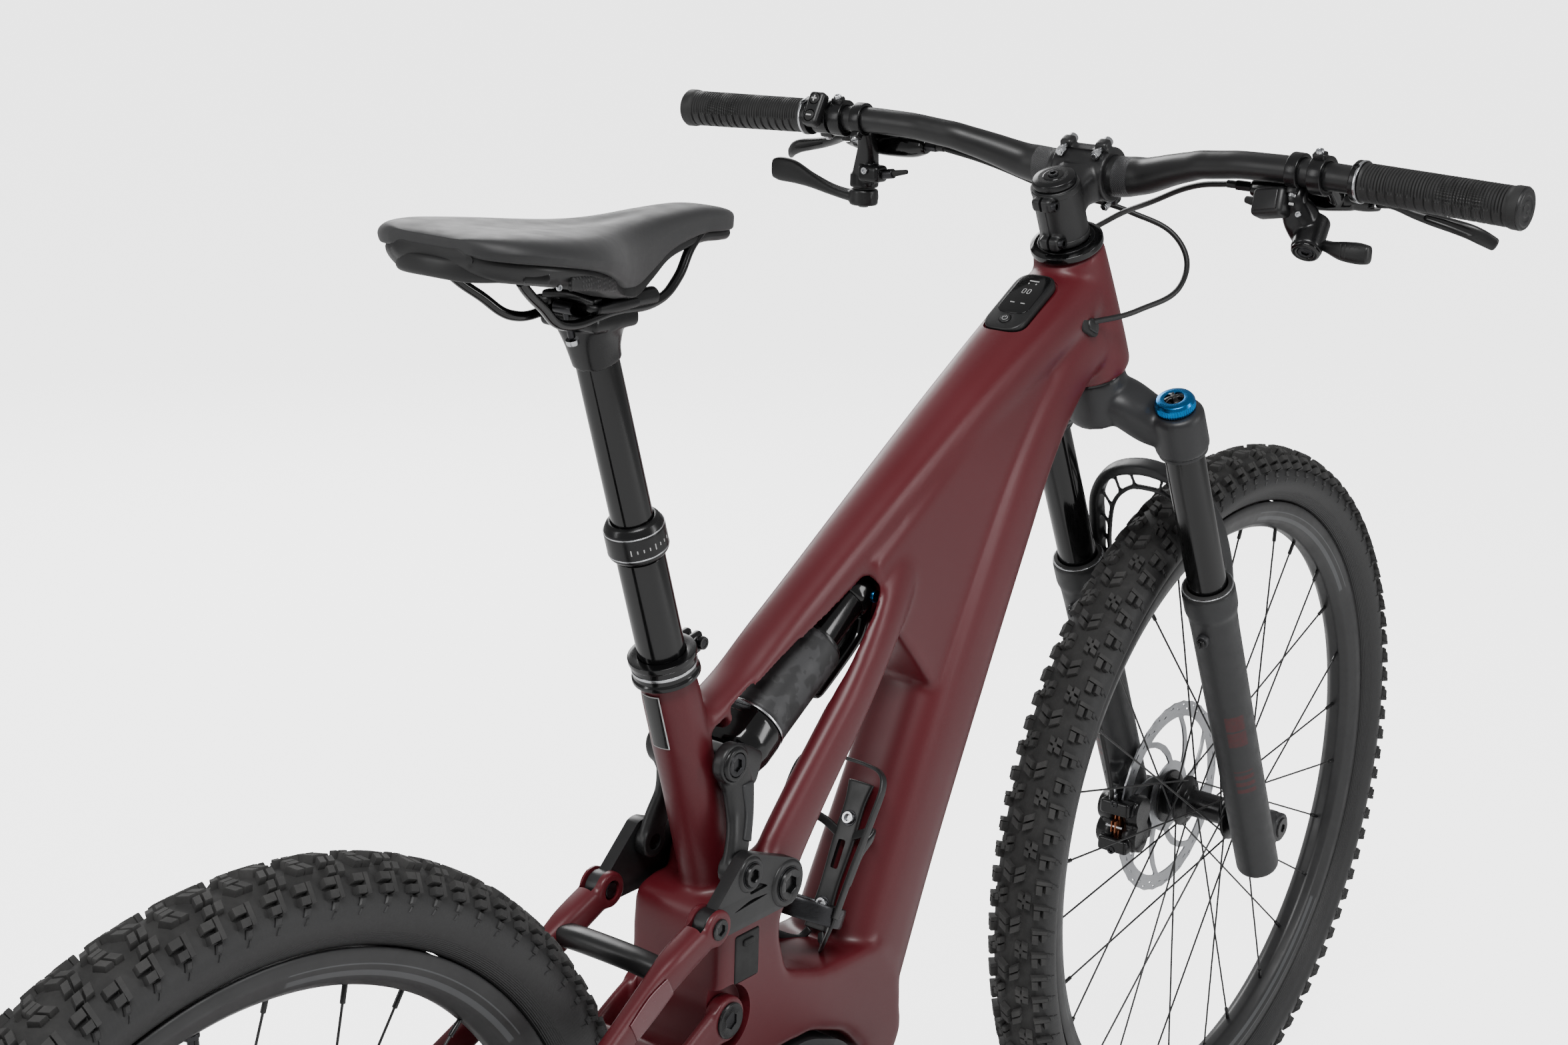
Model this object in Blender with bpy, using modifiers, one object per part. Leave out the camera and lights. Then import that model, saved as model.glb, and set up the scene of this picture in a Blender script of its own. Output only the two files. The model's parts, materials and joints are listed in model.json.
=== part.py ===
"""Full-suspension mountain bike with a mid motor, in metres, built up from named pieces.

X points forward, Y to the rider's left and Z up. The origin is on the ground, halfway between
the two ends of the bike. Helper functions take millimetres, counted from a point on the ground
straight below the crank axle, and write metres; the root joint moves everything to the origin.
"""

import math

import bmesh
import bpy
from mathutils import Matrix, Vector

MM = 0.001
RIGHT = -1
LEFT = 1
SIDES = (RIGHT, LEFT)
Y_AXIS = Vector((0, 1, 0))

# Wheels
CRANK_AXLE = Vector((0, 0, 350))
REAR_AXLE = Vector((-441, 0, 356))
FRONT_AXLE = Vector((822, 0, 373))
REAR_TYRE_RADIUS = 356
FRONT_TYRE_RADIUS = 373
REAR_RIM_RADIUS = 299
FRONT_RIM_RADIUS = 318
ROTOR_RADIUS = 100
WHEEL_STEPS = 28
SPOKES = 28

# Steering: a 64.5 degree head angle, measured along and ahead of the steering axis
STEER_FOOT = Vector((782, 0, 354.1))
STEER_UP = Vector((-0.4305, 0, 0.9026)).normalized()
STEER_AHEAD = Vector((0.9026, 0, 0.4305)).normalized()
HEAD_BOTTOM = 574
HEAD_TOP = 699
CROWN_TOP = 571
LEG_SIDE = 69
LEG_AHEAD = 14
STANCHION_RADIUS = 18
WIPER_HEIGHT = 334
CROWN_LOW = 492
STEM_CENTRE = 742
STEM_REACH = 50
BAR_RADIUS = 17.5
BAR_ROOM = BAR_RADIUS + 0.8
HEAD_PITCH = 25.5

# Seatpost
POST_FOOT = Vector((-43, 0, 753))
POST_UP = Vector((-0.31, 0, 0.951)).normalized()
POST_AHEAD = Vector((0.951, 0, 0.31)).normalized()
POST_RADIUS = 17.45
POST_UPPER_RADIUS = 15
POST_COLLAR = 114
POST_HEAD = 256
RAIL_SPREAD = 22
RAIL_CLAMP = POST_FOOT + POST_UP * (POST_HEAD + 19) + POST_AHEAD * 2

# Rear suspension pivots, seen from the side
MAIN_PIVOT = Vector((-13, 0, 470.7))
HORST_PIVOT = Vector((-377, 0, 285.8))
ROCKER_PIVOT = Vector((38.6, 0, 566.4))
STAY_PIVOT = Vector((-47.5, 0, 560.6))
YOKE_PIVOT = Vector((-6, 0, 588))
SHOCK_EYE = Vector((204.2, 0, 764.4))
SHOCK_AXIS = Vector((0.9063, 0, 0.4226)).normalized()
SHOCK_UP = Vector((-0.4226, 0, 0.9063)).normalized()
CAN_DROP = -6
CAN_RADIUS = 23

# Drivetrain
CHAIN_LINE = -52
CHAINRING_RADIUS = 68
CRANK_LENGTH = 165
COG_LINE = -41.6
COG_RADIUS = 49
GUIDE_PULLEY = Vector((-424, 0, 246))
TENSION_PULLEY = Vector((-446, 0, 156))
PULLEY_RADIUS = 21
HUB_END = {"front": 54.8, "rear": 73.8}
ROTOR_LINE = {"front": 44, "rear": 58}

# Frame openings: the motor's bay is an outline of (forward, up) points
MOTOR_BAY = [(-64, 352), (-58, 388), (-30, 414), (20, 420), (95, 418), (140, 400), (168, 372), (170, 300)]
DISPLAY_CENTRE = Vector((411, 0, 944.5))
DISPLAY_PITCH = 30
DOOR_CENTRE = Vector((8, -44, 515))

# Controls on the bar
LEVER_PIVOT = Vector((522, 262, 1048))
SHIFT_PIVOT = Vector((482, -218, 1017))
DROPPER_PIVOT = Vector((496, 224, 1020))
REMOTE_FACE = Vector((-0.883, 0, 0.469))
REMOTE_UP = Vector((0.469, 0, 0.883))
REMOTE_PAD = Vector((453, 249.5, 1079))
BUTTON_SPREAD = 8

# From the point below the crank axle to the origin
TO_ORIGIN = Vector((-199, 0, 0))

COLLECTION = "mountain_bike"
JOINTS = {}

FINISHES = {
    "frame_paint": ((0.13, 0.022, 0.03, 1), 0.0, 0.42),
    "gloss_black": ((0.012, 0.012, 0.013, 1), 0.0, 0.14),
    "satin_black": ((0.02, 0.02, 0.021, 1), 0.0, 0.42),
    "charcoal": ((0.035, 0.037, 0.04, 1), 0.0, 0.45),
    "rubber": ((0.03, 0.03, 0.03, 1), 0.0, 0.8),
    "steel": ((0.62, 0.63, 0.65, 1), 1.0, 0.3),
    "dark_metal": ((0.12, 0.12, 0.125, 1), 1.0, 0.35),
    "blue_anodised": ((0.02, 0.18, 0.5, 1), 1.0, 0.3),
    "saddle_cover": ((0.05, 0.05, 0.052, 1), 0.0, 0.6),
}


def clear_scene():
    for obj in list(bpy.data.objects):
        bpy.data.objects.remove(obj, do_unlink=True)


def steer(along, ahead=0.0, side=0.0):
    """A point given along the steering axis, ahead of it, and to the left of it."""
    return STEER_FOOT + STEER_UP * along + STEER_AHEAD * ahead + Y_AXIS * side


def post(along, ahead=0.0, side=0.0):
    """A point given along the seatpost from the clamp, ahead of it, and to the left of it."""
    return POST_FOOT + POST_UP * along + POST_AHEAD * ahead + Y_AXIS * side


def shock(back, up=0.0, side=0.0):
    """A point given behind the front shock eye, above the shock axis, and to the left of it."""
    return SHOCK_EYE - SHOCK_AXIS * back + SHOCK_UP * up + Y_AXIS * side


def at(x, y, z):
    return Vector((x, y, z))


# ---------------------------------------------------------------- solid helpers


def link_mesh(name, mesh):
    solid = bpy.data.objects.new(name, mesh)
    bpy.data.collections[COLLECTION].objects.link(solid)
    return solid


def bake(solid, weld=0.000005):
    """The object with its modifiers, or its curve, turned into a plain mesh with faces out."""
    graph = bpy.context.evaluated_depsgraph_get()
    mesh = bpy.data.meshes.new_from_object(solid.evaluated_get(graph))
    name = solid.name
    matrix = solid.matrix_basis.copy()
    bpy.data.objects.remove(solid, do_unlink=True)
    bm = bmesh.new()
    bm.from_mesh(mesh)
    bmesh.ops.remove_doubles(bm, verts=bm.verts, dist=weld)
    bmesh.ops.recalc_face_normals(bm, faces=bm.faces)
    bm.to_mesh(mesh)
    bm.free()
    mesh.transform(matrix)
    return link_mesh(name, mesh)


def oval(centre, across, up, half_across, half_up, power=2.0, count=12):
    """A ring of points on a rounded outline; a power above 2 makes it squarer."""
    ring = []
    for i in range(count):
        angle = 2 * math.pi * (i + 0.5) / count
        c = math.cos(angle)
        s = math.sin(angle)
        a = math.copysign(abs(c) ** (2 / power), c) * half_across
        b = math.copysign(abs(s) ** (2 / power), s) * half_up
        ring.append(centre + across * a + up * b)
    return ring


def loft(name, rings, closed=False):
    """A skin through rings of the same number of points."""
    bm = bmesh.new()
    rows = [[bm.verts.new(point * MM) for point in ring] for ring in rings]
    pairs = list(zip(rows, rows[1:]))
    if closed:
        pairs.append((rows[-1], rows[0]))
    count = len(rings[0])
    for low, high in pairs:
        for i in range(count):
            j = (i + 1) % count
            bm.faces.new((low[i], low[j], high[j], high[i]))
    if not closed:
        bm.faces.new(list(reversed(rows[0])))
        bm.faces.new(rows[-1])
    bmesh.ops.recalc_face_normals(bm, faces=bm.faces)
    mesh = bpy.data.meshes.new(name)
    bm.to_mesh(mesh)
    bm.free()
    return link_mesh(name, mesh)


def swept(name, stations, reference=Y_AXIS, power=2.0, count=10):
    """A skin along stations of (point, half size along the reference, half size across it)."""
    rings = []
    for i, (point, half_ref, half_other) in enumerate(stations):
        before = stations[max(i - 1, 0)][0]
        after = stations[min(i + 1, len(stations) - 1)][0]
        tangent = (after - before).normalized()
        across = (reference - tangent * reference.dot(tangent)).normalized()
        rings.append(oval(point, across, tangent.cross(across), half_ref, half_other, power, count))
    return loft(name, rings)


def rod(name, start, end, radius, end_radius=None, count=10):
    """A straight round bar or cone."""
    axis = (end - start).normalized()
    across = axis.orthogonal().normalized()
    up = axis.cross(across)
    far = radius if end_radius is None else end_radius
    return loft(
        name,
        [oval(start, across, up, radius, radius, 2, count), oval(end, across, up, far, far, 2, count)],
    )


def pin(name, centre, radius, near, far, count=12):
    """A round bar across the bike, between two distances to the left."""
    low = centre.copy()
    low.y = near
    high = centre.copy()
    high.y = far
    return rod(name, low, high, radius, count=count)


def hose(name, points, radius):
    """A smooth tube through the points."""
    curve = bpy.data.curves.new(name, "CURVE")
    curve.dimensions = "3D"
    curve.bevel_depth = radius * MM
    curve.bevel_resolution = 0
    curve.resolution_u = 2
    curve.use_fill_caps = True
    spline = curve.splines.new("BEZIER")
    spline.bezier_points.add(len(points) - 1)
    for knot, point in zip(spline.bezier_points, points):
        knot.co = point * MM
        knot.handle_left_type = "AUTO"
        knot.handle_right_type = "AUTO"
    return bake(link_mesh(name, curve))


def turned(name, centre, axis, profile, steps=18):
    """A profile of (radius, distance along the axis) turned right round the axis."""
    mesh = bpy.data.meshes.new(name)
    points = [(radius * MM, 0, along * MM) for radius, along in profile]
    ends = [(i, (i + 1) % len(points)) for i in range(len(points))]
    edges = [(i, j) for i, j in ends if points[i][0] > 0 or points[j][0] > 0]
    mesh.from_pydata(points, edges, [])
    solid = link_mesh(name, mesh)
    screw = solid.modifiers.new("turn", "SCREW")
    screw.steps = steps
    screw.render_steps = steps
    screw.use_merge_vertices = True
    screw.merge_threshold = 0.00001
    turn = Vector((0, 0, 1)).rotation_difference(axis.normalized()).to_matrix().to_4x4()
    solid.matrix_basis = Matrix.Translation(centre * MM) @ turn
    return bake(solid)


def ring(name, centre, axis, inner, outer, low, high, steps=16):
    profile = [(outer, high), (outer, low), (inner, low), (inner, high)]
    return turned(name, centre, axis, profile, steps)


def circle(x, z, radius, count=14, start=0.0):
    step = 2 * math.pi / count
    return [
        (x + radius * math.cos(start + step * i), z + radius * math.sin(start + step * i))
        for i in range(count)
    ]


def plate(name, outlines, near, far, round_edge=0.0):
    """Flat outlines seen from the side, filled and given a thickness; inner ones are holes."""
    curve = bpy.data.curves.new(name, "CURVE")
    curve.dimensions = "2D"
    curve.fill_mode = "BOTH"
    curve.extrude = abs(far - near) / 2 * MM
    for outline in outlines:
        spline = curve.splines.new("POLY")
        spline.points.add(len(outline) - 1)
        for knot, (x, z) in zip(spline.points, outline):
            knot.co = (x * MM, z * MM, 0, 1)
        spline.use_cyclic_u = True
    solid = link_mesh(name, curve)
    solid.matrix_basis = Matrix.Translation((0, (near + far) / 2 * MM, 0)) @ Matrix.Rotation(
        math.pi / 2, 4, "X"
    )
    solid = bake(solid)
    if round_edge:
        bevel(solid, round_edge)
        solid = bake(solid)
    return solid


def block(name, centre, size, pitch=0.0, round_edge=0.0):
    """A box; the pitch tips its forward end up, in degrees."""
    bm = bmesh.new()
    bmesh.ops.create_cube(bm, size=1)
    mesh = bpy.data.meshes.new(name)
    bm.to_mesh(mesh)
    bm.free()
    mesh.transform(Matrix.Diagonal((size[0] * MM, size[1] * MM, size[2] * MM, 1)))
    mesh.transform(Matrix.Rotation(-math.radians(pitch), 4, "Y"))
    mesh.transform(Matrix.Translation(centre * MM))
    solid = link_mesh(name, mesh)
    if round_edge:
        bevel(solid, round_edge)
        solid = bake(solid)
    return solid


def bevel(solid, width, segments=1):
    edge = solid.modifiers.new("edge", "BEVEL")
    edge.width = width * MM
    edge.segments = segments
    edge.limit_method = "ANGLE"
    edge.angle_limit = math.radians(40)


def boolean(solid, operation, others):
    for other in others:
        step = solid.modifiers.new(operation.lower(), "BOOLEAN")
        step.operation = operation
        step.solver = "EXACT"
        step.object = other
    solid = bake(solid, 0.0000002)
    thin(solid, 0.0003)
    for other in others:
        bpy.data.objects.remove(other, do_unlink=True)
    return solid


def thin(solid, angle):
    """Merges faces that lie in one plane."""
    bm = bmesh.new()
    bm.from_mesh(solid.data)
    bmesh.ops.dissolve_limit(bm, angle_limit=angle, verts=bm.verts, edges=bm.edges, delimit=set())
    bm.to_mesh(solid.data)
    bm.free()


def join(solid, others):
    return boolean(solid, "UNION", others)


def cut(solid, others):
    return boolean(solid, "DIFFERENCE", others)


def mirrored(solid, name):
    """A second piece on the other side of the bike."""
    mesh = solid.data.copy()
    mesh.transform(Matrix.Diagonal((1, -1, 1, 1)))
    mesh.flip_normals()
    return link_mesh(name, mesh)


# ---------------------------------------------------------------- placing


def add_joint(name, origin, parent=None):
    empty = bpy.data.objects.new("joint_" + name, None)
    empty.empty_display_size = 0.02
    bpy.data.collections[COLLECTION].objects.link(empty)
    JOINTS[name] = (empty, origin)
    if parent:
        holder, holder_origin = JOINTS[parent]
        empty.parent = holder
        empty.location = (origin - holder_origin) * MM
    else:
        empty.location = (origin + TO_ORIGIN) * MM


def place(solid, finish, joint):
    """Gives a piece its material and hangs it on its joint, keeping where it is in the world."""
    colour, metallic, roughness = FINISHES[finish]
    material = bpy.data.materials.new(solid.name)
    material.use_nodes = True
    shader = material.node_tree.nodes["Principled BSDF"]
    shader.inputs["Base Color"].default_value = colour
    shader.inputs["Metallic"].default_value = metallic
    shader.inputs["Roughness"].default_value = roughness
    solid.data.materials.clear()
    solid.data.materials.append(material)
    solid.data.polygons.foreach_set("material_index", [0] * len(solid.data.polygons))
    solid.data.polygons.foreach_set("use_smooth", [True] * len(solid.data.polygons))
    solid.data.set_sharp_from_angle(angle=math.radians(32))
    empty, origin = JOINTS[joint]
    solid.data.transform(Matrix.Translation(-origin * MM))
    solid.parent = empty
    return solid


# ---------------------------------------------------------------- frame


def make_head_tube():
    stations = [(HEAD_BOTTOM, 34), (600, 34), (640, 33), (680, 31.5), (HEAD_TOP, 30.5)]
    return swept("head_tube", [(steer(along), radius, radius) for along, radius in stations], count=14)


def make_top_tube():
    stations = [
        (at(-34, 0, 674), 17, 12),
        (at(4, 0, 693), 19, 14),
        (at(43, 0, 708), 21, 17),
        (at(81, 0, 730), 22, 19),
        (at(132, 0, 759), 23, 21),
        (at(240, 0, 820), 27, 25),
        (at(341, 0, 875), 31, 29),
        (at(430, 0, 921), 34, 32),
        (at(480, 0, 942), 33, 31),
        (at(505, 0, 950), 28, 26),
    ]
    return swept("top_tube", stations, power=2.5, count=14)


def make_down_tube():
    stations = [
        (at(520, 0, 916), 30, 34),
        (at(470, 0, 895), 33, 38),
        (at(430, 0, 860), 35, 39),
        (at(397, 0, 816), 36, 41),
        (at(369, 0, 768), 37, 43),
        (at(322, 0, 681), 38, 44.5),
        (at(245, 0, 533), 40, 46.5),
        (at(193, 0, 428), 43, 48),
        (at(172, 0, 385), 44, 48),
    ]
    return swept("down_tube", stations, power=2.8, count=14)


def make_side_arm():
    """The arm past the right of the shock, from the top tube down to the rocker pivot."""
    stations = [
        (at(222, -22, 766), 9, 22),
        (at(188, -29, 726), 11, 19),
        (at(150, -33, 683), 11.5, 17),
        (at(115, -34, 650), 11, 17),
        (at(80, -34, 614), 11, 17),
        (at(50, -34, 575), 11, 20),
        (at(45, -33, 540), 11, 24),
    ]
    return swept("side_arm", stations, power=2.6, count=12)


def make_seat_tube():
    sizes = [
        (0, 19.9, 19.9), (-18, 19.9, 19.9), (-19, 22, 22), (-60, 21.5, 22), (-120, 21, 23), (-200, 22, 26),
        (-235, 24, 28),
    ]
    return swept("seat_tube", [(post(along), wide, deep) for along, wide, deep in sizes], count=14)


def make_motor_web():
    """The wide lower part of the frame, between the seat tube and the down tube."""
    rear = [(-18, 556), (-22, 540), (-22, 500), (-26, 486), (-24, 462), (-22, 440), (-56, 400), (-76, 352)]
    front = [(196, 330), (222, 372), (216, 420), (186, 462), (108, 466), (62, 482), (50, 520), (58, 545)]
    return plate("motor_web", [rear + MOTOR_BAY + front + [(10, 562)]], -44, 44, round_edge=8)


def make_gusset():
    """The web between the two tubes, in front of the shock."""
    outline = [
        (172, 775), (200, 724), (232, 690), (276, 640), (330, 700), (400, 820), (430, 880), (400, 895),
        (300, 850),
    ]
    return plate("gusset", [outline], -30, 30, round_edge=10)


def make_left_mount():
    """The left ear that carries the rocker, opposite the side arm."""
    ear = plate("left_mount", [circle(ROCKER_PIVOT.x, ROCKER_PIVOT.z, 19)], 18, 45.5, round_edge=2)
    rib = plate("rib", [[(10, 530), (62, 530), (58, 560), (20, 565)]], 18, 44.0)
    return join(ear, [rib])


def make_shock_pin():
    return pin("shock_pin", SHOCK_EYE, 5, -27, 27, count=12)


def make_shock_tunnel():
    """Room for the shock, and for how far it swings up as the wheel rises."""
    stations = [
        (shock(214, -10), 37, 31), (shock(196, -10), 37, 31), (shock(188, CAN_DROP), 26, 34),
        (shock(60, CAN_DROP), 26, 28), (shock(-12, -4), 23, 23), (shock(-20, -4), 14, 14),
    ]
    return swept("shock_tunnel", stations, power=2.6, count=16)


def make_main_frame():
    frame = make_down_tube()
    frame = join(frame, [make_top_tube(), make_head_tube()])
    frame = join(frame, [make_gusset()])
    frame = join(frame, [make_motor_web(), make_seat_tube()])
    boss = pin("boss", ROCKER_PIVOT, 19, -45.5, -20)
    frame = join(frame, [make_side_arm(), make_left_mount(), boss])
    frame = cut(frame, [make_shock_tunnel()])
    frame = join(frame, [make_shock_pin()])
    steerer_bore = rod("steerer_bore", steer(560), steer(720), 16, count=14)
    post_bore = rod("post_bore", post(-190), post(20), POST_RADIUS + 0.8, count=14)
    pivot_room = [
        pin("pivot_room_right", MAIN_PIVOT, 27, -60, -33.5, 18),
        pin("pivot_room_left", MAIN_PIVOT, 27, 33.5, 60, 18),
    ]
    pivot_bores = [
        pin("main_bore", MAIN_PIVOT, 9.4, -60, 60, 16),
        pin("rocker_bore_right", ROCKER_PIVOT, 8.4, -60, -30, 16),
        pin("rocker_bore_left", ROCKER_PIVOT, 8.4, 30, 60, 16),
    ]
    display_pocket = block("display_pocket", DISPLAY_CENTRE, (73, 37.8, 10), DISPLAY_PITCH, 3)
    door_pocket = block("door_pocket", DOOR_CENTRE, (28.8, 8, 38.8))
    frame = cut(frame, [steerer_bore, post_bore, display_pocket, door_pocket])
    frame = cut(frame, pivot_room)
    frame = cut(frame, pivot_bores)
    frame.name = "main_frame"
    place(frame, "frame_paint", "frame")


def make_frame_fittings():
    bore = POST_RADIUS + 0.35
    profile = [(25.5, 3), (25.5, -16.5), (20.3, -16.5), (20.3, 0.3), (bore, 0.3), (bore, 3)]
    clamp = turned("seat_clamp", post(0), POST_UP, profile, 24)
    lug = block("lug", post(-7, 29, 0), (11, 22, 12), 18, 2)
    lug = cut(lug, [rod("lug_room", post(-30), post(20), 22, count=16)])
    place(join(clamp, [lug]), "gloss_black", "frame")

    cup = ring("headset_cup", steer(0), STEER_UP, 15.2, 31, HEAD_TOP + 0.3, HEAD_TOP + 8, 18)
    place(cup, "gloss_black", "frame")

    motor = plate("motor_unit", [inset(MOTOR_BAY + [(150, 306), (60, 296), (-30, 300)], 1.0)], -43, 43, 6)
    covers = [
        turned("cover_" + str(side), CRANK_AXLE, Y_AXIS * side, [(34, 46), (38, 42), (0, 42), (0, 46)], 24)
        for side in SIDES
    ]
    motor = join(motor, covers)
    motor = cut(motor, [pin("spindle_room", CRANK_AXLE, 12.8, -60, 60, 16)])
    place(motor, "charcoal", "frame")

    slope = math.radians(DISPLAY_PITCH)
    up = at(-math.sin(slope), 0, math.cos(slope))
    along = at(math.cos(slope), 0, math.sin(slope))
    display = block("display_unit", DISPLAY_CENTRE + up * 1.0, (72, 37, 7), DISPLAY_PITCH, 2.5)
    button_at = DISPLAY_CENTRE + up * 3.6 - along * 24
    display = cut(display, [rod("button_room", button_at, button_at + up * 6, 5.4, count=20)])
    place(display, "gloss_black", "frame")
    button = rod("power_button", button_at + up * 1.2, button_at + up * 3.2, 5, count=20)
    place(button, "satin_black", "power_button")

    door = block("charge_door", DOOR_CENTRE + at(0, 1, 0), (28, 4, 38), 0, 1)
    place(door, "rubber", "charge_door")


def inset(outline, distance):
    """The outline shrunk towards its middle by about the distance."""
    middle_x = sum(x for x, z in outline) / len(outline)
    middle_z = sum(z for x, z in outline) / len(outline)
    shrunk = []
    for x, z in outline:
        reach = math.hypot(x - middle_x, z - middle_z)
        scale = (reach - 2.5 * distance) / reach
        shrunk.append((middle_x + (x - middle_x) * scale, middle_z + (z - middle_z) * scale))
    return shrunk


# ---------------------------------------------------------------- seatpost and saddle


def make_seatpost():
    collar = POST_COLLAR
    profile = [(16, collar), (22, collar - 2), (22, collar - 28), (POST_RADIUS, collar - 30)]
    profile += [(POST_RADIUS, -180), (15.3, -180), (15.3, collar)]
    place(turned("seatpost_tube", post(0), POST_UP, profile, 18), "gloss_black", "frame")

    stanchion = rod("dropper_stanchion", post(-40), post(POST_HEAD - 10), POST_UPPER_RADIUS, count=20)
    stations = [
        (post(POST_HEAD - 14), 16.5, 16.5),
        (post(POST_HEAD - 2), 18, 18),
        (post(POST_HEAD + 8, 2), 26, 20),
    ]
    head = swept("post_head", stations, count=20)
    cradle = block("cradle", post(POST_HEAD + 12, 2), (46, 50, 14), 3, 3)
    grooves = []
    for side in SIDES:
        tail = RAIL_CLAMP + at(-60, RAIL_SPREAD * side, -3)
        nose = RAIL_CLAMP + at(60, RAIL_SPREAD * side, 3)
        grooves.append(rod("groove", tail, nose, 3.9, count=12))
    stanchion = join(stanchion, [head, cradle])
    place(cut(stanchion, grooves), "gloss_black", "seatpost")

    rails = [rail_half(side) for side in SIDES]
    rails = join(rails[0], [rails[1], block("rail_nose", at(-28, 0, 1056), (16, 44, 8), -20, 2)])
    rails = join(rails, [block("rail_tail", at(-222, 0, 1050), (14, 78, 10), 0, 2)])
    rails.name = "saddle_rails"
    place(rails, "satin_black", "seatpost")
    place(make_saddle(), "saddle_cover", "seatpost")


def rail_half(side):
    points = [
        at(-30, 15 * side, 1055),
        at(-62, 20 * side, 1026),
        RAIL_CLAMP + at(48, RAIL_SPREAD * side, 2.4),
        RAIL_CLAMP + at(-48, RAIL_SPREAD * side, -2.4),
        at(-205, 27 * side, 1030),
        at(-222, 32 * side, 1046),
    ]
    return swept("rail", [(point, 3.5, 3.5) for point in points], count=10)


def make_saddle():
    """The padded cover and its shell: sections across the saddle from the tail to the nose."""
    sections = [
        (-272, 34, 1079, 8),
        (-262, 56, 1080, 12),
        (-236, 70, 1079, 16),
        (-200, 72, 1076, 17),
        (-160, 60, 1073, 16),
        (-115, 40, 1072, 15),
        (-70, 27, 1073, 14),
        (-30, 21, 1073, 13),
        (2, 18, 1068, 11),
        (14, 10, 1064, 7),
    ]
    rings = []
    for x, half, top, depth in sections:
        section = []
        for t in (-1.0, -0.8, -0.5, 0.0, 0.5, 0.8, 1.0):
            section.append(at(x, half * t, top - 0.32 * half * abs(t) ** 2.6))
        for t in (0.94, 0.6, 0.0, -0.6, -0.94):
            thickness = depth * (1 - 0.5 * t * t)
            section.append(at(x, half * t, top - 0.32 * half * abs(t) ** 2.6 - thickness))
        rings.append(section)
    rail_rooms = [
        block("nose_room", at(-28, 0, 1055), (24, 52, 14), -20),
        block("tail_room", at(-222, 0, 1048), (17, 81, 16)),
    ]
    return cut(loft("saddle", rings), rail_rooms)


# ---------------------------------------------------------------- fork and steering


def make_fork_crown():
    hub = rod("fork_crown", steer(528), steer(CROWN_TOP), 30, 27, 16)
    tube = [(14.3, 762), (14.3, CROWN_TOP - 10), (12, CROWN_TOP - 10), (12, 762)]
    parts = [turned("steerer", steer(0), STEER_UP, tube, 14)]
    for side in SIDES:
        shoulder = [
            (steer(546, 0, 0), 24, 19),
            (steer(537, 4, 24 * side), 24, 20),
            (steer(512, 10, 48 * side), 22, 18),
            (steer(510, LEG_AHEAD, (LEG_SIDE - 4) * side), 22, 19),
        ]
        parts.append(swept("shoulder", shoulder, STEER_AHEAD, 2.4, 14))
        leg = steer(0, LEG_AHEAD, LEG_SIDE * side)
        top = 533 if side == RIGHT else 540
        cap = [(0, top), (20, top), (23.5, top - 4), (24, CROWN_LOW + 2), (22, CROWN_LOW), (0, CROWN_LOW)]
        parts.append(turned("leg_top", leg, STEER_UP, cap, 14))
        tube = [(0, 500), (STANCHION_RADIUS, 500), (STANCHION_RADIUS, 190), (0, 190)]
        parts.append(turned("stanchion", leg, STEER_UP, tube, 14))
    place(join(hub, parts), "charcoal", "steering")


def make_damper_knob():
    leg = steer(0, LEG_AHEAD, LEG_SIDE * RIGHT)
    profile = [(0, 546), (10, 546), (15.5, 545), (18, 542.5), (18, 535), (17, 533.4), (0, 533.4)]
    place(turned("damper_knob", leg, STEER_UP, profile, 20), "blue_anodised", "damper_knob")


def make_fork_lowers():
    parts = []
    for side in SIDES:
        leg = steer(0, LEG_AHEAD, LEG_SIDE * side)
        profile = [(0, WIPER_HEIGHT), (21.5, WIPER_HEIGHT), (24.5, WIPER_HEIGHT - 5)]
        profile += [(24.5, WIPER_HEIGHT - 24), (22.4, WIPER_HEIGHT - 50), (20, 20), (20, -22)]
        profile += [(12, -34), (0, -34)]
        parts.append(turned("leg", leg, STEER_UP, profile, 14))
        line = (LEG_SIDE + 1) * side
        lug = [(steer(6, 22, line), 14, 24), (steer(0, 44, line), 14, 17), (steer(-2, 62, line), 11, 8)]
        parts.append(swept("lug", lug, power=2.6, count=16))
    lowers = parts[0]
    lowers.name = "fork_lowers"
    arch = [
        (steer(298, 32, -LEG_SIDE), 9, 11),
        (steer(336, 50, -66), 9, 11),
        (steer(384, 54, -57), 9, 12),
        (steer(416, 54, -34), 9, 13),
        (steer(426, 54, 0), 9, 13),
        (steer(416, 54, 34), 9, 13),
        (steer(384, 54, 57), 9, 12),
        (steer(336, 50, 66), 9, 11),
        (steer(298, 32, LEG_SIDE), 9, 11),
    ]
    parts.append(swept("arch", arch, STEER_AHEAD, 2.6, 8))
    post_mount = [
        block("mount", steer(along, -12, 60), (20, 16, 16), HEAD_PITCH, 2) for along in (6, 78)
    ]
    axle = pin("axle", FRONT_AXLE, 7.2, -76, 76, 16)
    lowers = join(lowers, parts[1:] + post_mount + [axle])
    bores = []
    for side in SIDES:
        foot = steer(24.5, LEG_AHEAD, LEG_SIDE * side)
        bores.append(rod("bore", foot, steer(340, LEG_AHEAD, LEG_SIDE * side), 18.9, count=14))
    place(cut(lowers, bores), "charcoal", "fork_lower")
    make_caliper("front_caliper", FRONT_AXLE, 180, 38, 58, 44, "fork_lower")


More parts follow.
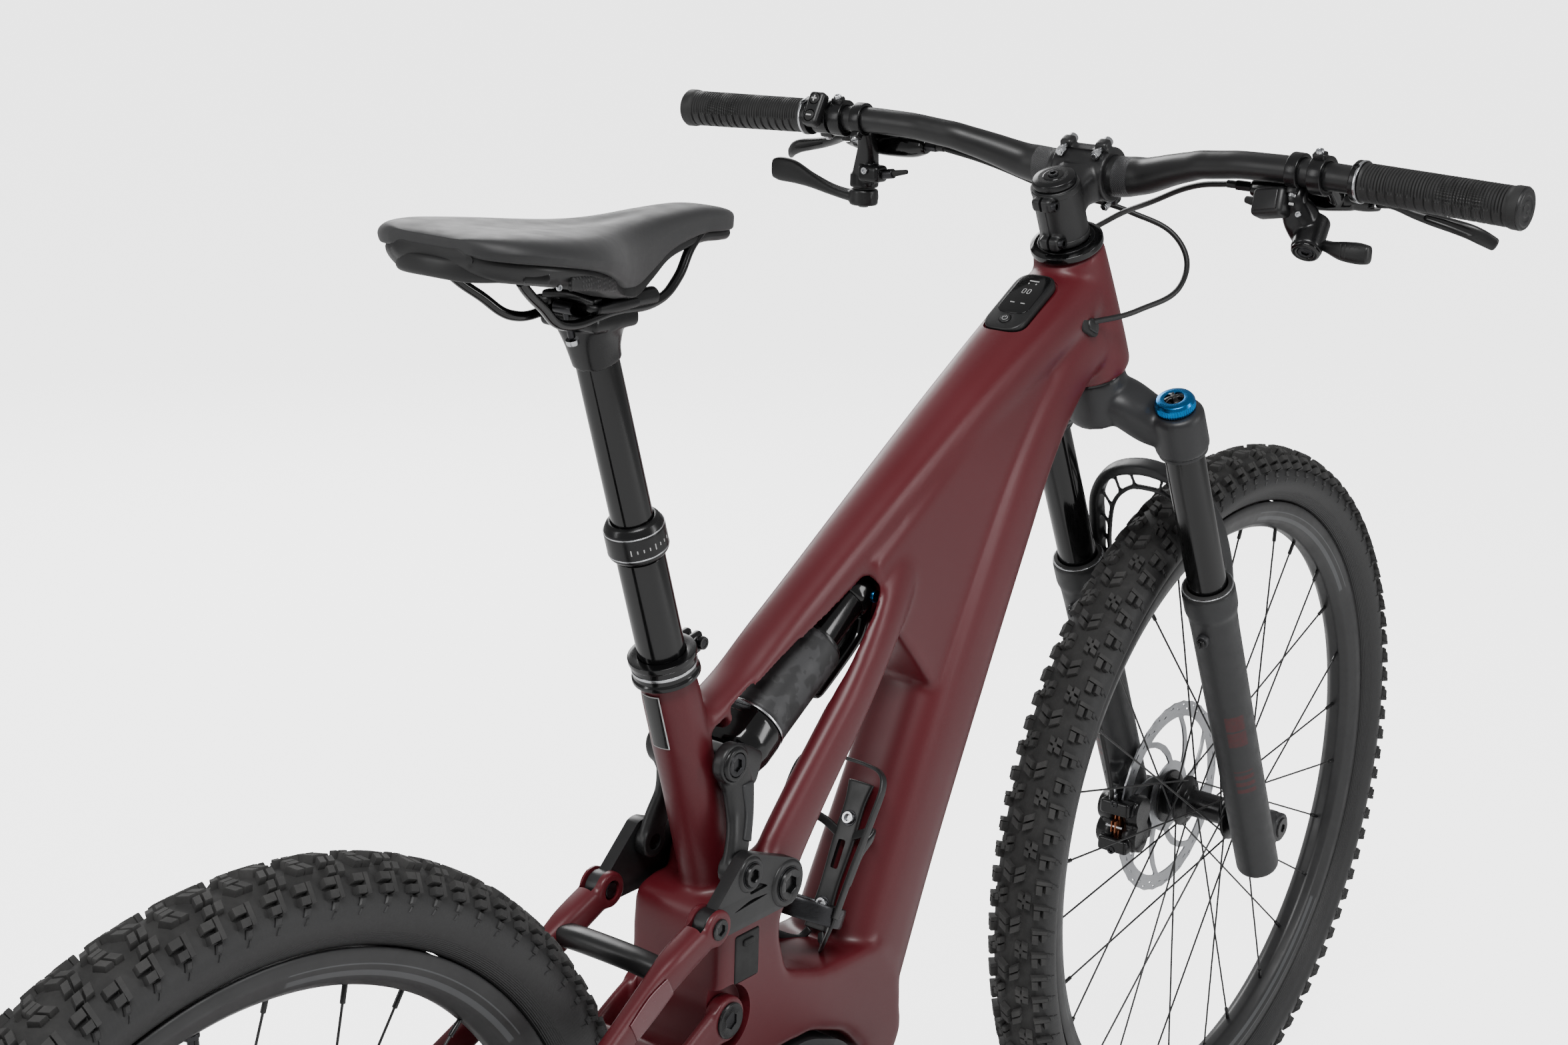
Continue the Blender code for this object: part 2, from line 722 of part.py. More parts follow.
def make_caliper(name, axle, bearing, width, length, line, joint):
    """A two-sided brake caliper over the rotor's edge, at a bearing round the axle in degrees."""
    angle = math.radians(bearing)
    out = at(math.cos(angle), 0, math.sin(angle))
    centre = axle + out * (ROTOR_RADIUS - 12) + at(0, line, 0)
    body = block(name, centre, (38, width, length), bearing, 5)
    slot = block("slot", centre, (90, 6, 2 * length), bearing)
    bridge = block("bridge", centre + out * 20.5, (13, width - 6, length * 0.8), bearing, 2)
    place(join(cut(body, [slot]), [bridge]), "gloss_black", joint)


def make_stem():
    bar = bar_centre()
    stem = ring("stem", steer(0), STEER_UP, 14.6, 20.5, 708, 762, 16)
    stations = [
        (steer(STEM_CENTRE, 12), 19, 17),
        (steer(STEM_CENTRE, 30), 22, 16),
        (bar - STEER_AHEAD * 6, 25, 17),
    ]
    body = swept("stem_body", stations, power=3.0, count=12)
    pinch = block("pinch", steer(STEM_CENTRE, -21), (12, 18, 36), HEAD_PITCH, 3)
    steerer_room = rod("steerer_room", steer(700), steer(770), 14.8, count=16)
    stem = join(stem, [body, half_clamp("bar_seat", 30), pinch] + clamp_ears(-6, 11))
    stem = cut(stem, [pin("bar_room", bar, BAR_ROOM, -40, 40, 16), steerer_room])
    place(stem, "satin_black", "steering")

    face = join(half_clamp("stem_faceplate", -29.6), clamp_ears(5.6, 9))
    face = cut(face, [pin("bar_room", bar, BAR_ROOM, -40, 40, 16)])
    place(face, "satin_black", "steering")

    cap = [(0, 770), (14, 770), (18.5, 768), (18.5, 762.4), (0, 762.4)]
    place(turned("stem_cap", steer(0), STEER_UP, cap, 28), "satin_black", "steering")


def half_clamp(name, cutter_ahead):
    """Half of the round clamp about the bar, left after a block ahead of it or behind it is cut away."""
    cutter = block("cutter", bar_centre() + STEER_AHEAD * cutter_ahead, (60, 70, 70), HEAD_PITCH)
    return cut(pin(name, bar_centre(), 24, -26, 26, 16), [cutter])


def clamp_ears(ahead, thickness):
    """The lugs above and below the bar that carry the clamp bolts."""
    ears = []
    for up in (-27, 27):
        centre = bar_centre() + STEER_UP * up + STEER_AHEAD * ahead
        ears.append(block("ear", centre, (thickness, 47, 10), HEAD_PITCH, 2))
    return ears


def bar_centre():
    return steer(STEM_CENTRE, STEM_REACH)


def bar_point(side_distance, side):
    """The middle of the bar at a distance out from the stem."""
    knots = [
        (0, 507.7, 1045.3), (34, 507.7, 1045.3), (62, 502, 1050), (90, 492, 1059), (120, 481, 1067),
        (160, 474, 1072), (200, 471, 1073), (262, 468, 1071), (400, 463, 1066),
    ]
    for (y0, x0, z0), (y1, x1, z1) in zip(knots, knots[1:]):
        if side_distance <= y1:
            t = (side_distance - y0) / (y1 - y0)
            return at(x0 + (x1 - x0) * t, side_distance * side, z0 + (z1 - z0) * t)
    return at(knots[-1][1], side_distance * side, knots[-1][2])


def bar_direction(side):
    return (bar_point(400, side) - bar_point(262, side)).normalized()


def make_bar():
    reach = [0, 28, 46, 62, 80, 100, 122, 160, 200, 262, 396]
    radii = [17.5, 17.5, 16.5, 15, 13.6, 12.4, 11.6, 11.2, 11.1, 11.1, 11.1]
    stations = [(bar_point(y, RIGHT), r, r) for y, r in reversed(list(zip(reach, radii)))]
    stations += [(bar_point(y, LEFT), r, r) for y, r in zip(reach[1:], radii[1:])]
    place(swept("handlebar", stations, at(1, 0, 0), count=10), "satin_black", "steering")


def along_bar(name, side, near, far, radius):
    """A sleeve round the bar between two distances out."""
    start = bar_point(near, side)
    axis = (bar_point(far, side) - start).normalized()
    return ring(name, start, axis, 11.5, radius, 0, far - near, 24)


def make_grips():
    for side, name in zip(SIDES, ("grip_right", "grip_left")):
        start = bar_point(262, side)
        profile = [(11.5, 0), (16.5, 0), (16.5, 7), (15.2, 9), (15.6, 20), (15.8, 128)]
        profile += [(16.6, 132), (16.6, 138), (14, 141), (0, 141), (0, 137), (11.5, 137)]
        place(turned(name, start, bar_direction(side), profile, 12), "rubber", "steering")


def lever_pivot(side):
    return at(LEVER_PIVOT.x, LEVER_PIVOT.y * side, LEVER_PIVOT.z)


def make_brake(side, tag):
    """A clamp with its reservoir and the fork for the lever, and the lever itself."""
    pivot = lever_pivot(side)
    reservoir = [
        (at(496, 158 * side, 1052), 7, 7),
        (at(500, 176 * side, 1051), 10, 10),
        (at(506, 222 * side, 1050), 11, 11),
        (at(510, 244 * side, 1050), 9, 9),
    ]
    neck = [(bar_point(232, side) + at(12, 0, -5), 7, 7), (at(504, 232 * side, 1052), 8, 7)]
    fork = [(at(508, 238 * side, 1050), 8, 7), (at(517, 250 * side, 1048), 7, 6), (pivot, 7, 6)]
    clamp = along_bar("brake_clamp_" + tag, side, 226, 238, 16.5)
    clamp = join(
        clamp,
        [
            swept("reservoir", reservoir, at(1, 0, 0), 2.4, 10),
            swept("neck", neck, at(0, 0, 1), 2.4, 12),
            swept("fork", fork, at(0, 0, 1), 2.4, 12),
        ],
    )
    slot = block("slot", pivot + at(2, 0, 0), (22, 24, 7.4))
    place(cut(clamp, [slot]), "gloss_black", "steering")

    lever = [
        (pivot + at(0, -5 * side, 0), 3, 5),
        (pivot + at(3, 8 * side, -1), 3.2, 6),
        (at(531, 285 * side, 1041), 4, 5),
        (at(541, 312 * side, 1034), 5, 3.4),
        (at(541, 338 * side, 1028), 6, 3.2),
        (at(548, 352 * side, 1026), 5, 3),
    ]
    lever = swept("brake_lever_" + tag, lever, at(0, 0, 1), 2.4, 12)
    place(lever, "dark_metal", "brake_lever_" + tag)


def make_shifter():
    body = [
        (bar_point(211, RIGHT) + at(0, 0, -13), 8, 6),
        (at(470, -212, 1046), 14, 9),
        (at(474, -216, 1034), 17, 12),
        (at(480, -218, 1022), 15, 9),
    ]
    clamp = along_bar("shifter", RIGHT, 206, 216, 15.5)
    shifter = join(clamp, [swept("shifter_body", body, at(1, 0, 0), 2.6, 12)])
    place(shifter, "satin_black", "steering")

    lever = [
        (SHIFT_PIVOT + at(8, 4, 0), 3, 7),
        (SHIFT_PIVOT + at(0, -4, 0), 3, 8),
        (SHIFT_PIVOT + at(-8, -22, -3), 3, 6),
        (SHIFT_PIVOT + at(-14, -44, -6), 6, 9),
        (SHIFT_PIVOT + at(-15, -58, -6), 6, 8),
    ]
    place(swept("shift_lever", lever, at(0, 0, 1), 2.6, 12), "satin_black", "shift_lever")


def make_remote():
    """The two-button remote beside the left grip."""
    pad = block("pad", REMOTE_PAD, (12, 15, 30), -28, 2)
    remote = join(along_bar("remote", LEFT, 242, 257, 15), [pad])
    rooms = [remote_button("room", up, 5.5, -2.4, 3) for up in (BUTTON_SPREAD, -BUTTON_SPREAD)]
    bar_bore = rod("bar_bore", bar_point(238, LEFT), bar_point(260, LEFT), 11.6, count=16)
    place(cut(remote, rooms + [bar_bore]), "satin_black", "steering")
    for name, up in (("plus_button", BUTTON_SPREAD), ("minus_button", -BUTTON_SPREAD)):
        place(remote_button(name, up, 5, -1.4, 1.2), "rubber", name)


def make_dropper_control():
    arm = [
        (bar_point(211, LEFT) + at(4, 0, -13), 7, 6),
        (at(486, 214, 1040), 8, 7),
        (at(496, 220, 1030), 8, 6),
    ]
    mount = along_bar("dropper_mount", LEFT, 206, 216, 15.5)
    place(join(mount, [swept("arm", arm, at(1, 0, 0), 2.4, 12)]), "satin_black", "steering")

    lever = [
        (DROPPER_PIVOT + at(4, -6, 0), 3, 8),
        (DROPPER_PIVOT + at(0, 10, 0), 3, 8),
        (DROPPER_PIVOT + at(2, 40, -2), 3.4, 8),
        (DROPPER_PIVOT + at(6, 78, -6), 4, 10),
        (DROPPER_PIVOT + at(8, 104, -9), 4, 9),
    ]
    place(swept("dropper_lever", lever, at(0, 0, 1), 2.6, 12), "satin_black", "dropper_lever")


def make_hoses():
    for side, name in zip(SIDES, ("hose_right", "hose_left")):
        points = [
            at(492, 150 * side, 1052),
            at(505, 110 * side, 1048),
            at(566, 66 * side, 1000),
            at(560, 58 * side, 962),
            at(500, 50 * side, 936),
        ]
        place(hose(name, points, 2.5), "satin_black", "steering")


def make_controls():
    for side, tag in zip(SIDES, ("right", "left")):
        make_brake(side, tag)
    make_shifter()
    make_remote()
    make_dropper_control()
    make_hoses()


def remote_button(name, up, radius, low, high):
    """A round button, or the room for one, on the rear face of the remote."""
    face = REMOTE_PAD + REMOTE_FACE * 6 + REMOTE_UP * up
    return rod(name, face + REMOTE_FACE * low, face + REMOTE_FACE * high, radius, count=14)


# ---------------------------------------------------------------- wheels


def make_wheel(end, axle, tyre_radius, rim_radius, half, flanges, joint):
    """Tyre, rim, and a hub with its spokes, on one axle."""
    middle = tyre_radius - half
    outer = [
        (rim_radius + 0.4, 15), (rim_radius + 10, 26), (middle + 2, half), (tyre_radius - 10, half - 11),
        (tyre_radius, 0),
    ]
    inner = [(rim_radius + 0.4, 11), (middle, half - 4), (tyre_radius - 9, 0)]
    profile = [(r, -w) for r, w in outer] + [(r, w) for r, w in reversed(outer[:-1])]
    profile += [(r, w) for r, w in inner] + [(r, -w) for r, w in reversed(inner[:-1])]
    tyre = turned(end + "_tyre", axle, Y_AXIS, profile, WHEEL_STEPS)
    place(tyre, "rubber", joint)

    rim_half = [(rim_radius, 18), (rim_radius - 9, 17.6), (rim_radius - 28, 7)]
    well = [(rim_radius - 6, 10), (rim_radius, 15.5)]
    profile = [(r, w) for r, w in rim_half] + [(r, -w) for r, w in reversed(rim_half)]
    profile += [(r, -w) for r, w in reversed(well)] + [(r, w) for r, w in well]
    place(turned(end + "_rim", axle, Y_AXIS, profile, WHEEL_STEPS), "satin_black", joint)

    right, left, flange = flanges
    hub = turned(end + "_hub", axle, Y_AXIS, hub_profile(end, right, left, flange), 12)
    spokes = [spoke(i, axle, flange - 3, rim_radius - 32, right, left) for i in range(SPOKES)]
    place(join(hub, spokes), "gloss_black", joint)
    rotor(end, axle, joint)


def hub_profile(end, right, left, flange):
    """Half of a hub's section, from its right end over both flanges to its left end."""
    hub_end = HUB_END[end]
    rotor_seat = ROTOR_LINE[end] - 1.4
    if end == "front":
        profile = [(8, -hub_end), (8.9, -hub_end), (8.9, right - 6), (13, right - 6)]
    else:
        profile = [(8, right - 1.6)]
    profile += [(flange, right - 1.6), (flange, right + 1.6), (13, right + 5), (13, left - 5)]
    profile += [(flange, left - 1.6), (flange, left + 1.6), (18, left + 5), (18, rotor_seat)]
    return profile + [(8.9, rotor_seat), (8.9, hub_end), (8, hub_end)]


def spoke(index, axle, flange, rim, right, left):
    """One crossed spoke, from a hub flange to just under the rim."""
    side = index % 2
    flange_at = (left, right)[side]
    trailing = 1 if (index // 2) % 2 else -1
    turn = 2 * math.pi / SPOKES
    rim_angle = turn * (index + 0.5)
    hub_angle = rim_angle + trailing * turn * 5.2
    offset = 1.7 * trailing
    start = axle + at(flange * math.cos(hub_angle), flange_at + offset, flange * math.sin(hub_angle))
    end = axle + at(rim * math.cos(rim_angle), 0.12 * flange_at + offset, rim * math.sin(rim_angle))
    return rod("spoke", start, end, 1.3, count=3)


def rotor(end, axle, joint):
    """A slotted disc brake rotor."""
    x = axle.x
    z = axle.z
    outlines = [circle(x, z, ROTOR_RADIUS, 32), circle(x, z, 9.2, 16)]
    for index in range(8):
        middle = 2 * math.pi * index / 8
        window = []
        for radius, spread in ((34, 0.20), (56, 0.27), (82, 0.33)):
            window.append((radius, middle - spread + 0.004 * radius))
        for radius, spread in ((82, 0.0), (82, 0.33), (56, 0.27), (34, 0.20)):
            window.append((radius, middle + spread + 0.004 * radius))
        outlines.append([(x + r * math.cos(a), z + r * math.sin(a)) for r, a in window])
    line = ROTOR_LINE[end]
    place(plate(end + "_rotor", outlines, line - 1, line + 1), "steel", joint)


def make_cassette():
    radii = [101, 85, 70, 57, 49, 38, 30, 22]
    profile = [(6.6, -22), (radii[0], -22)]
    for index, radius in enumerate(radii):
        line = -24 - 5 * index
        profile.append((radius, line))
        if index + 1 < len(radii):
            profile.append((radii[index + 1] - 0.1, line - 0.2))
    profile += [(9, -61), (9, -73.8), (6.6, -73.8)]
    place(turned("cassette", REAR_AXLE, Y_AXIS, profile, 18), "dark_metal", "cassette")


# ---------------------------------------------------------------- rear suspension


def make_chainstays():
    path = [
        (at(-14, 40.2, 470.2), 5.6, 16),
        (at(-42, 41, 458), 4.9, 16),
        (at(-150, 41, 402), 4.8, 13.5),
        (at(-200, 47, 376), 6.5, 14),
        (at(-310, 65, 318), 6, 14),
        (at(-348, 68.5, 300), 5, 14),
        (at(-378, 68.5, 285.3), 5, 12.4),
    ]
    left = swept("stay", path, Y_AXIS, 2.8, 10)
    left = join(left, [pin("ear", MAIN_PIVOT, 18, 34, 46), pin("tip", HORST_PIVOT, 14, 63.2, 73.8)])
    right = mirrored(left, "right")
    bridge = block("bridge", at(-66, 0, 450), (18, 88, 22), 20, 4)
    axle = pin("axle", MAIN_PIVOT, 9, -47, 47, 16)
    stays = join(left, [right, bridge, axle])
    stays = cut(stays, [pin("bore", HORST_PIVOT, 6.4, -90, 90, 16)])
    stays.name = "chainstays"
    place(stays, "frame_paint", "swingarm")


def make_seatstays():
    path = [
        (at(-52, 51, 557.5), 11, 12),
        (at(-84, 51, 544), 10.5, 13),
        (at(-112, 52, 529), 7.5, 13),
        (at(-250, 66, 456), 7, 12),
        (at(-350, 73, 404), 6.5, 12),
        (at(-441, 77.7, 357), 3.4, 17),
    ]
    plate_outline = [(-464, 350), (-458, 376), (-430, 384), (-404, 366), (-366, 300), (-362, 284)]
    plate_outline += [(-370, 272), (-386, 272), (-452, 334)]
    dropout = plate("dropout", [plate_outline], 74.3, 81)
    ear = pin("ear", STAY_PIVOT, 14, 40, 62)
    horst_pin = pin("horst_pin", HORST_PIVOT, 6, 62.5, 76, 16)
    left = join(swept("stay", path, Y_AXIS, 2.8, 10), [dropout, ear, horst_pin])
    right = mirrored(left, "right")
    bends = [(-94, -47, 540), (-98, -22, 544), (-98, 22, 544), (-94, 47, 540)]
    bridge = swept("bridge", [(at(*bend), 8, 10) for bend in bends], at(0, 0, 1), 2.6, 14)
    axle = pin("axle", REAR_AXLE, 6, -76, 76, 16)
    stays = join(left, [right, bridge, axle])
    slots = []
    for side in SIDES:
        slots.append(pin("slot", STAY_PIVOT, 18, *sorted((45.6 * side, 56.4 * side)), 18))
        slots.append(pin("hole", STAY_PIVOT, 7.9, *sorted((30 * side, 70 * side)), 14))
    hanger_outline = [(-450, 345), (-470, 330), (-464, 306), (-448, 308), (-436, 340)]
    stays = join(cut(stays, slots), [plate("hanger", [hanger_outline], -81, -75)])
    stays.name = "seatstays"
    place(stays, "frame_paint", "seatstay")
    make_caliper("rear_caliper", REAR_AXLE, 2, 26, 34, ROTOR_LINE["rear"], "seatstay")


def make_derailleur():
    body = [
        (at(-456, -68.5, 316), 6, 11),
        (at(-452, -66, 300), 8, 13),
        (at(-446, -66, 276), 9, 12),
        (at(-432, -62, 256), 8, 13),
        (at(-425, -60, 246), 6, 13),
    ]
    place(swept("derailleur", body, Y_AXIS, 2.6, 14), "satin_black", "seatstay")

    upper = circle(GUIDE_PULLEY.x, GUIDE_PULLEY.z, 15, 12, 0.1)
    lower = circle(TENSION_PULLEY.x, TENSION_PULLEY.z, 15, 12, 0.1)
    outline = upper[0:7] + lower[6:12]
    outer = plate("derailleur_cage", [outline], COG_LINE - 8.6, COG_LINE - 6)
    parts = [plate("inner", [outline], COG_LINE + 6, COG_LINE + 8)]
    for centre, reach in ((GUIDE_PULLEY, 12), (TENSION_PULLEY, 7)):
        parts.append(pin("pulley", centre, PULLEY_RADIUS, COG_LINE - 1.6, COG_LINE + 1.6, 14))
        parts.append(pin("hub", centre, 6, COG_LINE - reach, COG_LINE + 7, 12))
    place(join(outer, parts), "satin_black", "derailleur_cage")


def make_rocker():
    outline = []
    steps = 5
    corners = [(STAY_PIVOT, 12, 75, 275), (ROCKER_PIVOT, 19, 290, 430), (YOKE_PIVOT, 15, 70, 120)]
    for centre, radius, start, stop in corners:
        for i in range(steps + 1):
            angle = math.radians(start + (stop - start) * i / steps)
            outline.append((centre.x + radius * math.cos(angle), centre.z + radius * math.sin(angle)))
    left = plate("rocker_left", [outline], 46, 56, 1)
    pins = [
        pin("rocker_pin", ROCKER_PIVOT, 8, 32, 58.5, 12),
        pin("yoke_pin", YOKE_PIVOT, 6, 35.5, 58, 10),
        pin("stay_pin", STAY_PIVOT, 6, 41, 61, 10),
    ]
    left = join(left, pins)
    right = mirrored(left, "rocker_right")
    place(left, "satin_black", "rocker")
    place(right, "satin_black", "rocker")


def make_shock():
    axis = -SHOCK_AXIS
    eye = shock(0, CAN_DROP)
    profile = [(19, 84), (CAN_RADIUS, 86), (CAN_RADIUS, 166), (CAN_RADIUS + 0.8, 168)]
    profile += [(CAN_RADIUS + 0.8, 198), (20, 203), (0, 203), (0, 196), (18.4, 196), (18.4, 84)]
    place(turned("shock_can", eye, axis, profile, 20), "charcoal", "shock")

    shaft = turned("shock_damper", eye, axis, [(0, 158), (18, 158), (18, 36), (0, 36)], 20)
    head = turned("head", eye, axis, [(0, 36), (20.5, 36), (20.5, 14), (12, 2), (0, 2)], 20)
    eyelet = pin("eyelet", SHOCK_EYE, 13, -13, 13, 20)
    shaft = join(shaft, [head, eyelet])
    shaft = cut(shaft, [pin("eye_bore", SHOCK_EYE, 7.6, -30, 30, 16)])
    place(shaft, "gloss_black", "shock_damper")

    yoke = swept("shock_yoke", [(shock(203.4, -8), 30, 17), (shock(213, -8), 33, 17)], Y_AXIS, 3.0, 14)
    arms = []
    for side in SIDES:
        path = [
            (shock(206, -10, 29 * side), 5, 12),
            (shock(222, -3, 30 * side), 5.6, 13),
            (at(5, 31 * side, 652), 5.6, 12),
            (at(2, 34 * side, 628), 5.4, 10),
            (at(-3, 38.5 * side, 606), 5.4, 10),
            (at(-6, 39.8 * side, 588), 5.6, 11),
        ]
        arms.append(swept("arm", path, Y_AXIS, 2.8, 10))
        arms.append(pin("end", YOKE_PIVOT, 12, *sorted((34.2 * side, 45.4 * side)), 14))
        arms.append(pin("bolt", shock(223, -2.3), 9, *sorted((25 * side, 38 * side)), 12))
    yoke = join(yoke, arms)
    tube_room = rod("tube_room", post(-250), post(0), 24, count=18)
    yoke = cut(yoke, [pin("bore", YOKE_PIVOT, 6.4, -60, 60, 12), tube_room])
    place(yoke, "satin_black", "shock")


# ---------------------------------------------------------------- drivetrain


def make_cranks():
    for side, tag in zip(SIDES, ("right", "left")):
        reach = -side
        pedal_at = CRANK_AXLE + at(CRANK_LENGTH * reach, 0, 0)
        path = [
            (CRANK_AXLE + at(0, 68 * side, 0), 7, 19),
            (CRANK_AXLE + at(40 * reach, 68.5 * side, 0), 7, 14.5),
            (CRANK_AXLE + at(120 * reach, 70 * side, 0), 6.5, 12.5),
            (pedal_at + at(0, 71 * side, 0), 6.5, 12.5),
            (pedal_at + at(12 * reach, 71 * side, 0), 5.5, 7),
        ]
        hub = pin("crank_" + tag, CRANK_AXLE, 21, *sorted((58.3 * side, 76 * side)), 20)
        parts = [swept("arm", path, Y_AXIS, 3.0, 16)]
        parts.append(pin("pedal_axle", pedal_at, 6, *sorted((70 * side, 168 * side)), 16))
        if side == RIGHT:
            parts.append(pin("spindle", CRANK_AXLE, 12, -70, 58, 16))
        place(join(hub, parts), "satin_black", "crankset")
        make_pedal(side, tag, pedal_at)


def make_chainring():
    x = CRANK_AXLE.x
    z = CRANK_AXLE.z
    outlines = [circle(x, z, CHAINRING_RADIUS, 32), circle(x, z, 12.4, 16)]
    for index in range(5):
        middle = 2 * math.pi * (index + 0.5) / 5
        window = [(34, -0.38), (52, -0.46), (54, 0), (52, 0.46), (34, 0.38)]
        outlines.append([(x + r * math.cos(middle + a), z + r * math.sin(middle + a)) for r, a in window])
    place(plate("chainring", outlines, CHAIN_LINE - 1.8, CHAIN_LINE + 1.8), "dark_metal", "crankset")


def make_pedal(side, tag, centre):
    body = block("pedal_" + tag, centre + at(0, 127.5 * side, 0), (96, 97, 16), 0, 4)
    rooms = [block("room", centre + at(26 * fore, 128 * side, 0), (24, 68, 40)) for fore in (-1, 1)]
    rooms.append(pin("bore", centre, 6.5, *sorted((59 * side, 172 * side)), 16))
    place(cut(body, rooms), "satin_black", "pedal_" + tag)


def chain_path():
    """Points along the chain, with its distance to the left, over and round each wheel in turn."""
    wheels = [
        (CRANK_AXLE, CHAINRING_RADIUS + 5, 1, CHAIN_LINE),
        (REAR_AXLE, COG_RADIUS + 5, 1, COG_LINE),
        (GUIDE_PULLEY, PULLEY_RADIUS + 5, -1, COG_LINE),
        (TENSION_PULLEY, PULLEY_RADIUS + 5, 1, COG_LINE),
    ]
    headings = []
    for (c0, r0, turn0, y0), (c1, r1, turn1, y1) in zip(wheels, wheels[1:] + wheels[:1]):
        step = c1 - c0
        reach = math.hypot(step.x, step.z)
        headings.append(math.atan2(step.z, step.x) + math.asin((turn0 * r0 - turn1 * r1) / reach))
    path = []
    for index, (centre, radius, turn, line) in enumerate(wheels):
        start = headings[index - 1]
        stop = headings[index]
        sweep = (stop - start) * turn % (2 * math.pi)
        steps = max(2, int(sweep / 0.26))
        for k in range(steps + 1):
            heading = start + turn * sweep * k / steps
            normal = at(math.sin(heading), 0, -math.cos(heading))
            path.append((centre + normal * (radius * turn) + at(0, line, 0), normal))
    return path


def make_chain():
    corners = [(-3.8, -2), (3.8, -2), (3.8, 2), (-3.8, 2)]
    rings = []
    for point, normal in chain_path():
        rings.append([point + normal * out + Y_AXIS * side for out, side in corners])
    place(loft("chain", rings, closed=True), "dark_metal", "frame")


def make_bottle_cage():
    along = at(0.455, 0, 0.89)
    out = at(-0.89, 0, 0.455)
    foot = at(174, 0, 500)

    def cage(up, away, side):
        return foot + along * up + out * away + Y_AXIS * side

    base = swept("bottle_cage", [(cage(-34, 4, 0), 11, 2), (cage(84, 4, 0), 11, 2)], Y_AXIS, 4.0, 12)
    hoop = ring("hoop", cage(-30, 42, 0), along, 36.5, 39.5, 0, 14, 16)
    wings = []
    for side in SIDES:
        places = [(78, 4, 4), (80, 12, 32), (66, 34, 39), (10, 44, 39), (-22, 44, 38.2)]
        path = [(cage(up, away, out * side), 6, 1.6) for up, away, out in places]
        wings.append(swept("wing", path, along, 3.0, 10))
    place(join(base, [hoop] + wings), "satin_black", "frame")


# ---------------------------------------------------------------- the whole bike


def add_joints():
    add_joint("frame", at(0, 0, 0))
    add_joint("charge_door", DOOR_CENTRE + at(0, -1, -19), "frame")
    add_joint("power_button", DISPLAY_CENTRE, "frame")
    add_joint("seatpost", POST_FOOT, "frame")
    add_joint("steering", steer(HEAD_TOP), "frame")
    add_joint("fork_lower", steer(WIPER_HEIGHT), "steering")
    add_joint("front_wheel", FRONT_AXLE, "fork_lower")
    add_joint("damper_knob", steer(533, LEG_AHEAD, -LEG_SIDE), "steering")
    for side, tag in zip(SIDES, ("right", "left")):
        add_joint("brake_lever_" + tag, lever_pivot(side), "steering")
    add_joint("shift_lever", SHIFT_PIVOT, "steering")
    add_joint("dropper_lever", DROPPER_PIVOT, "steering")
    add_joint("plus_button", bar_point(249.5, LEFT), "steering")
    add_joint("minus_button", bar_point(249.5, LEFT), "steering")
    add_joint("swingarm", MAIN_PIVOT, "frame")
    add_joint("seatstay", HORST_PIVOT, "swingarm")
    add_joint("rear_wheel", REAR_AXLE, "seatstay")
    add_joint("cassette", REAR_AXLE, "seatstay")
    add_joint("derailleur_cage", GUIDE_PULLEY, "seatstay")
    add_joint("rocker", ROCKER_PIVOT, "frame")
    add_joint("shock", YOKE_PIVOT, "rocker")
    add_joint("shock_damper", SHOCK_EYE, "shock")
    add_joint("crankset", CRANK_AXLE, "frame")
    for side, tag in zip(SIDES, ("right", "left")):
        add_joint("pedal_" + tag, CRANK_AXLE + at(-CRANK_LENGTH * side, 0, 0), "crankset")


def main():
    clear_scene()
    pieces = bpy.data.collections.new(COLLECTION)
    bpy.context.scene.collection.children.link(pieces)
    add_joints()
    make_main_frame()
    make_frame_fittings()
    make_seatpost()
    make_fork_crown()
    make_damper_knob()
    make_fork_lowers()
    make_stem()
    make_bar()
    make_grips()
    make_controls()
    make_wheel("front", FRONT_AXLE, FRONT_TYRE_RADIUS, FRONT_RIM_RADIUS, 33, (-30, 24, 26), "front_wheel")
    make_wheel("rear", REAR_AXLE, REAR_TYRE_RADIUS, REAR_RIM_RADIUS, 32, (-15, 32, 27), "rear_wheel")
    make_cassette()
    make_chainstays()
    make_seatstays()
    make_derailleur()
    make_rocker()
    make_shock()
    make_cranks()
    make_chainring()
    make_chain()
    make_bottle_cage()


main()
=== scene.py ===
import json
import math

import bmesh
import bpy
from mathutils import Matrix, Vector


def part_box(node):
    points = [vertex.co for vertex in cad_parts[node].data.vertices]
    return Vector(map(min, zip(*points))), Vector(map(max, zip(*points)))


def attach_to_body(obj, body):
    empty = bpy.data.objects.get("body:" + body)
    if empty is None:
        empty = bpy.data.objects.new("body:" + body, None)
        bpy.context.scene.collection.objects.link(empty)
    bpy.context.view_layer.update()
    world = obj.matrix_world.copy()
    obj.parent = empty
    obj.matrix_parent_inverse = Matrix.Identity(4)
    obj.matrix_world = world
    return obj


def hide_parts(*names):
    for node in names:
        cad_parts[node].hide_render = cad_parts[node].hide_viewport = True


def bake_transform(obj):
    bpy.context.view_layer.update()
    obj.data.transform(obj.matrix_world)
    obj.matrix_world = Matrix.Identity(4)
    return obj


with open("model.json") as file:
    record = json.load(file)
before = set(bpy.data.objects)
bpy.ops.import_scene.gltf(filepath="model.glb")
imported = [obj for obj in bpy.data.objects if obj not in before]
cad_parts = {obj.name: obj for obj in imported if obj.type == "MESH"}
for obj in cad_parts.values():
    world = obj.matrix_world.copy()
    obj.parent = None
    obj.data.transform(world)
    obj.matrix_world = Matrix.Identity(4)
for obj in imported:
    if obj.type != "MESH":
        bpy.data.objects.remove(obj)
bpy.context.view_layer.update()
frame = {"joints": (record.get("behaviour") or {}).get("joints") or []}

MM = 0.001
SIDES = (-1, 1)
TAGS = ("right", "left")
Y_AXIS = Vector((0, 1, 0))
X_AXIS = Vector((1, 0, 0))
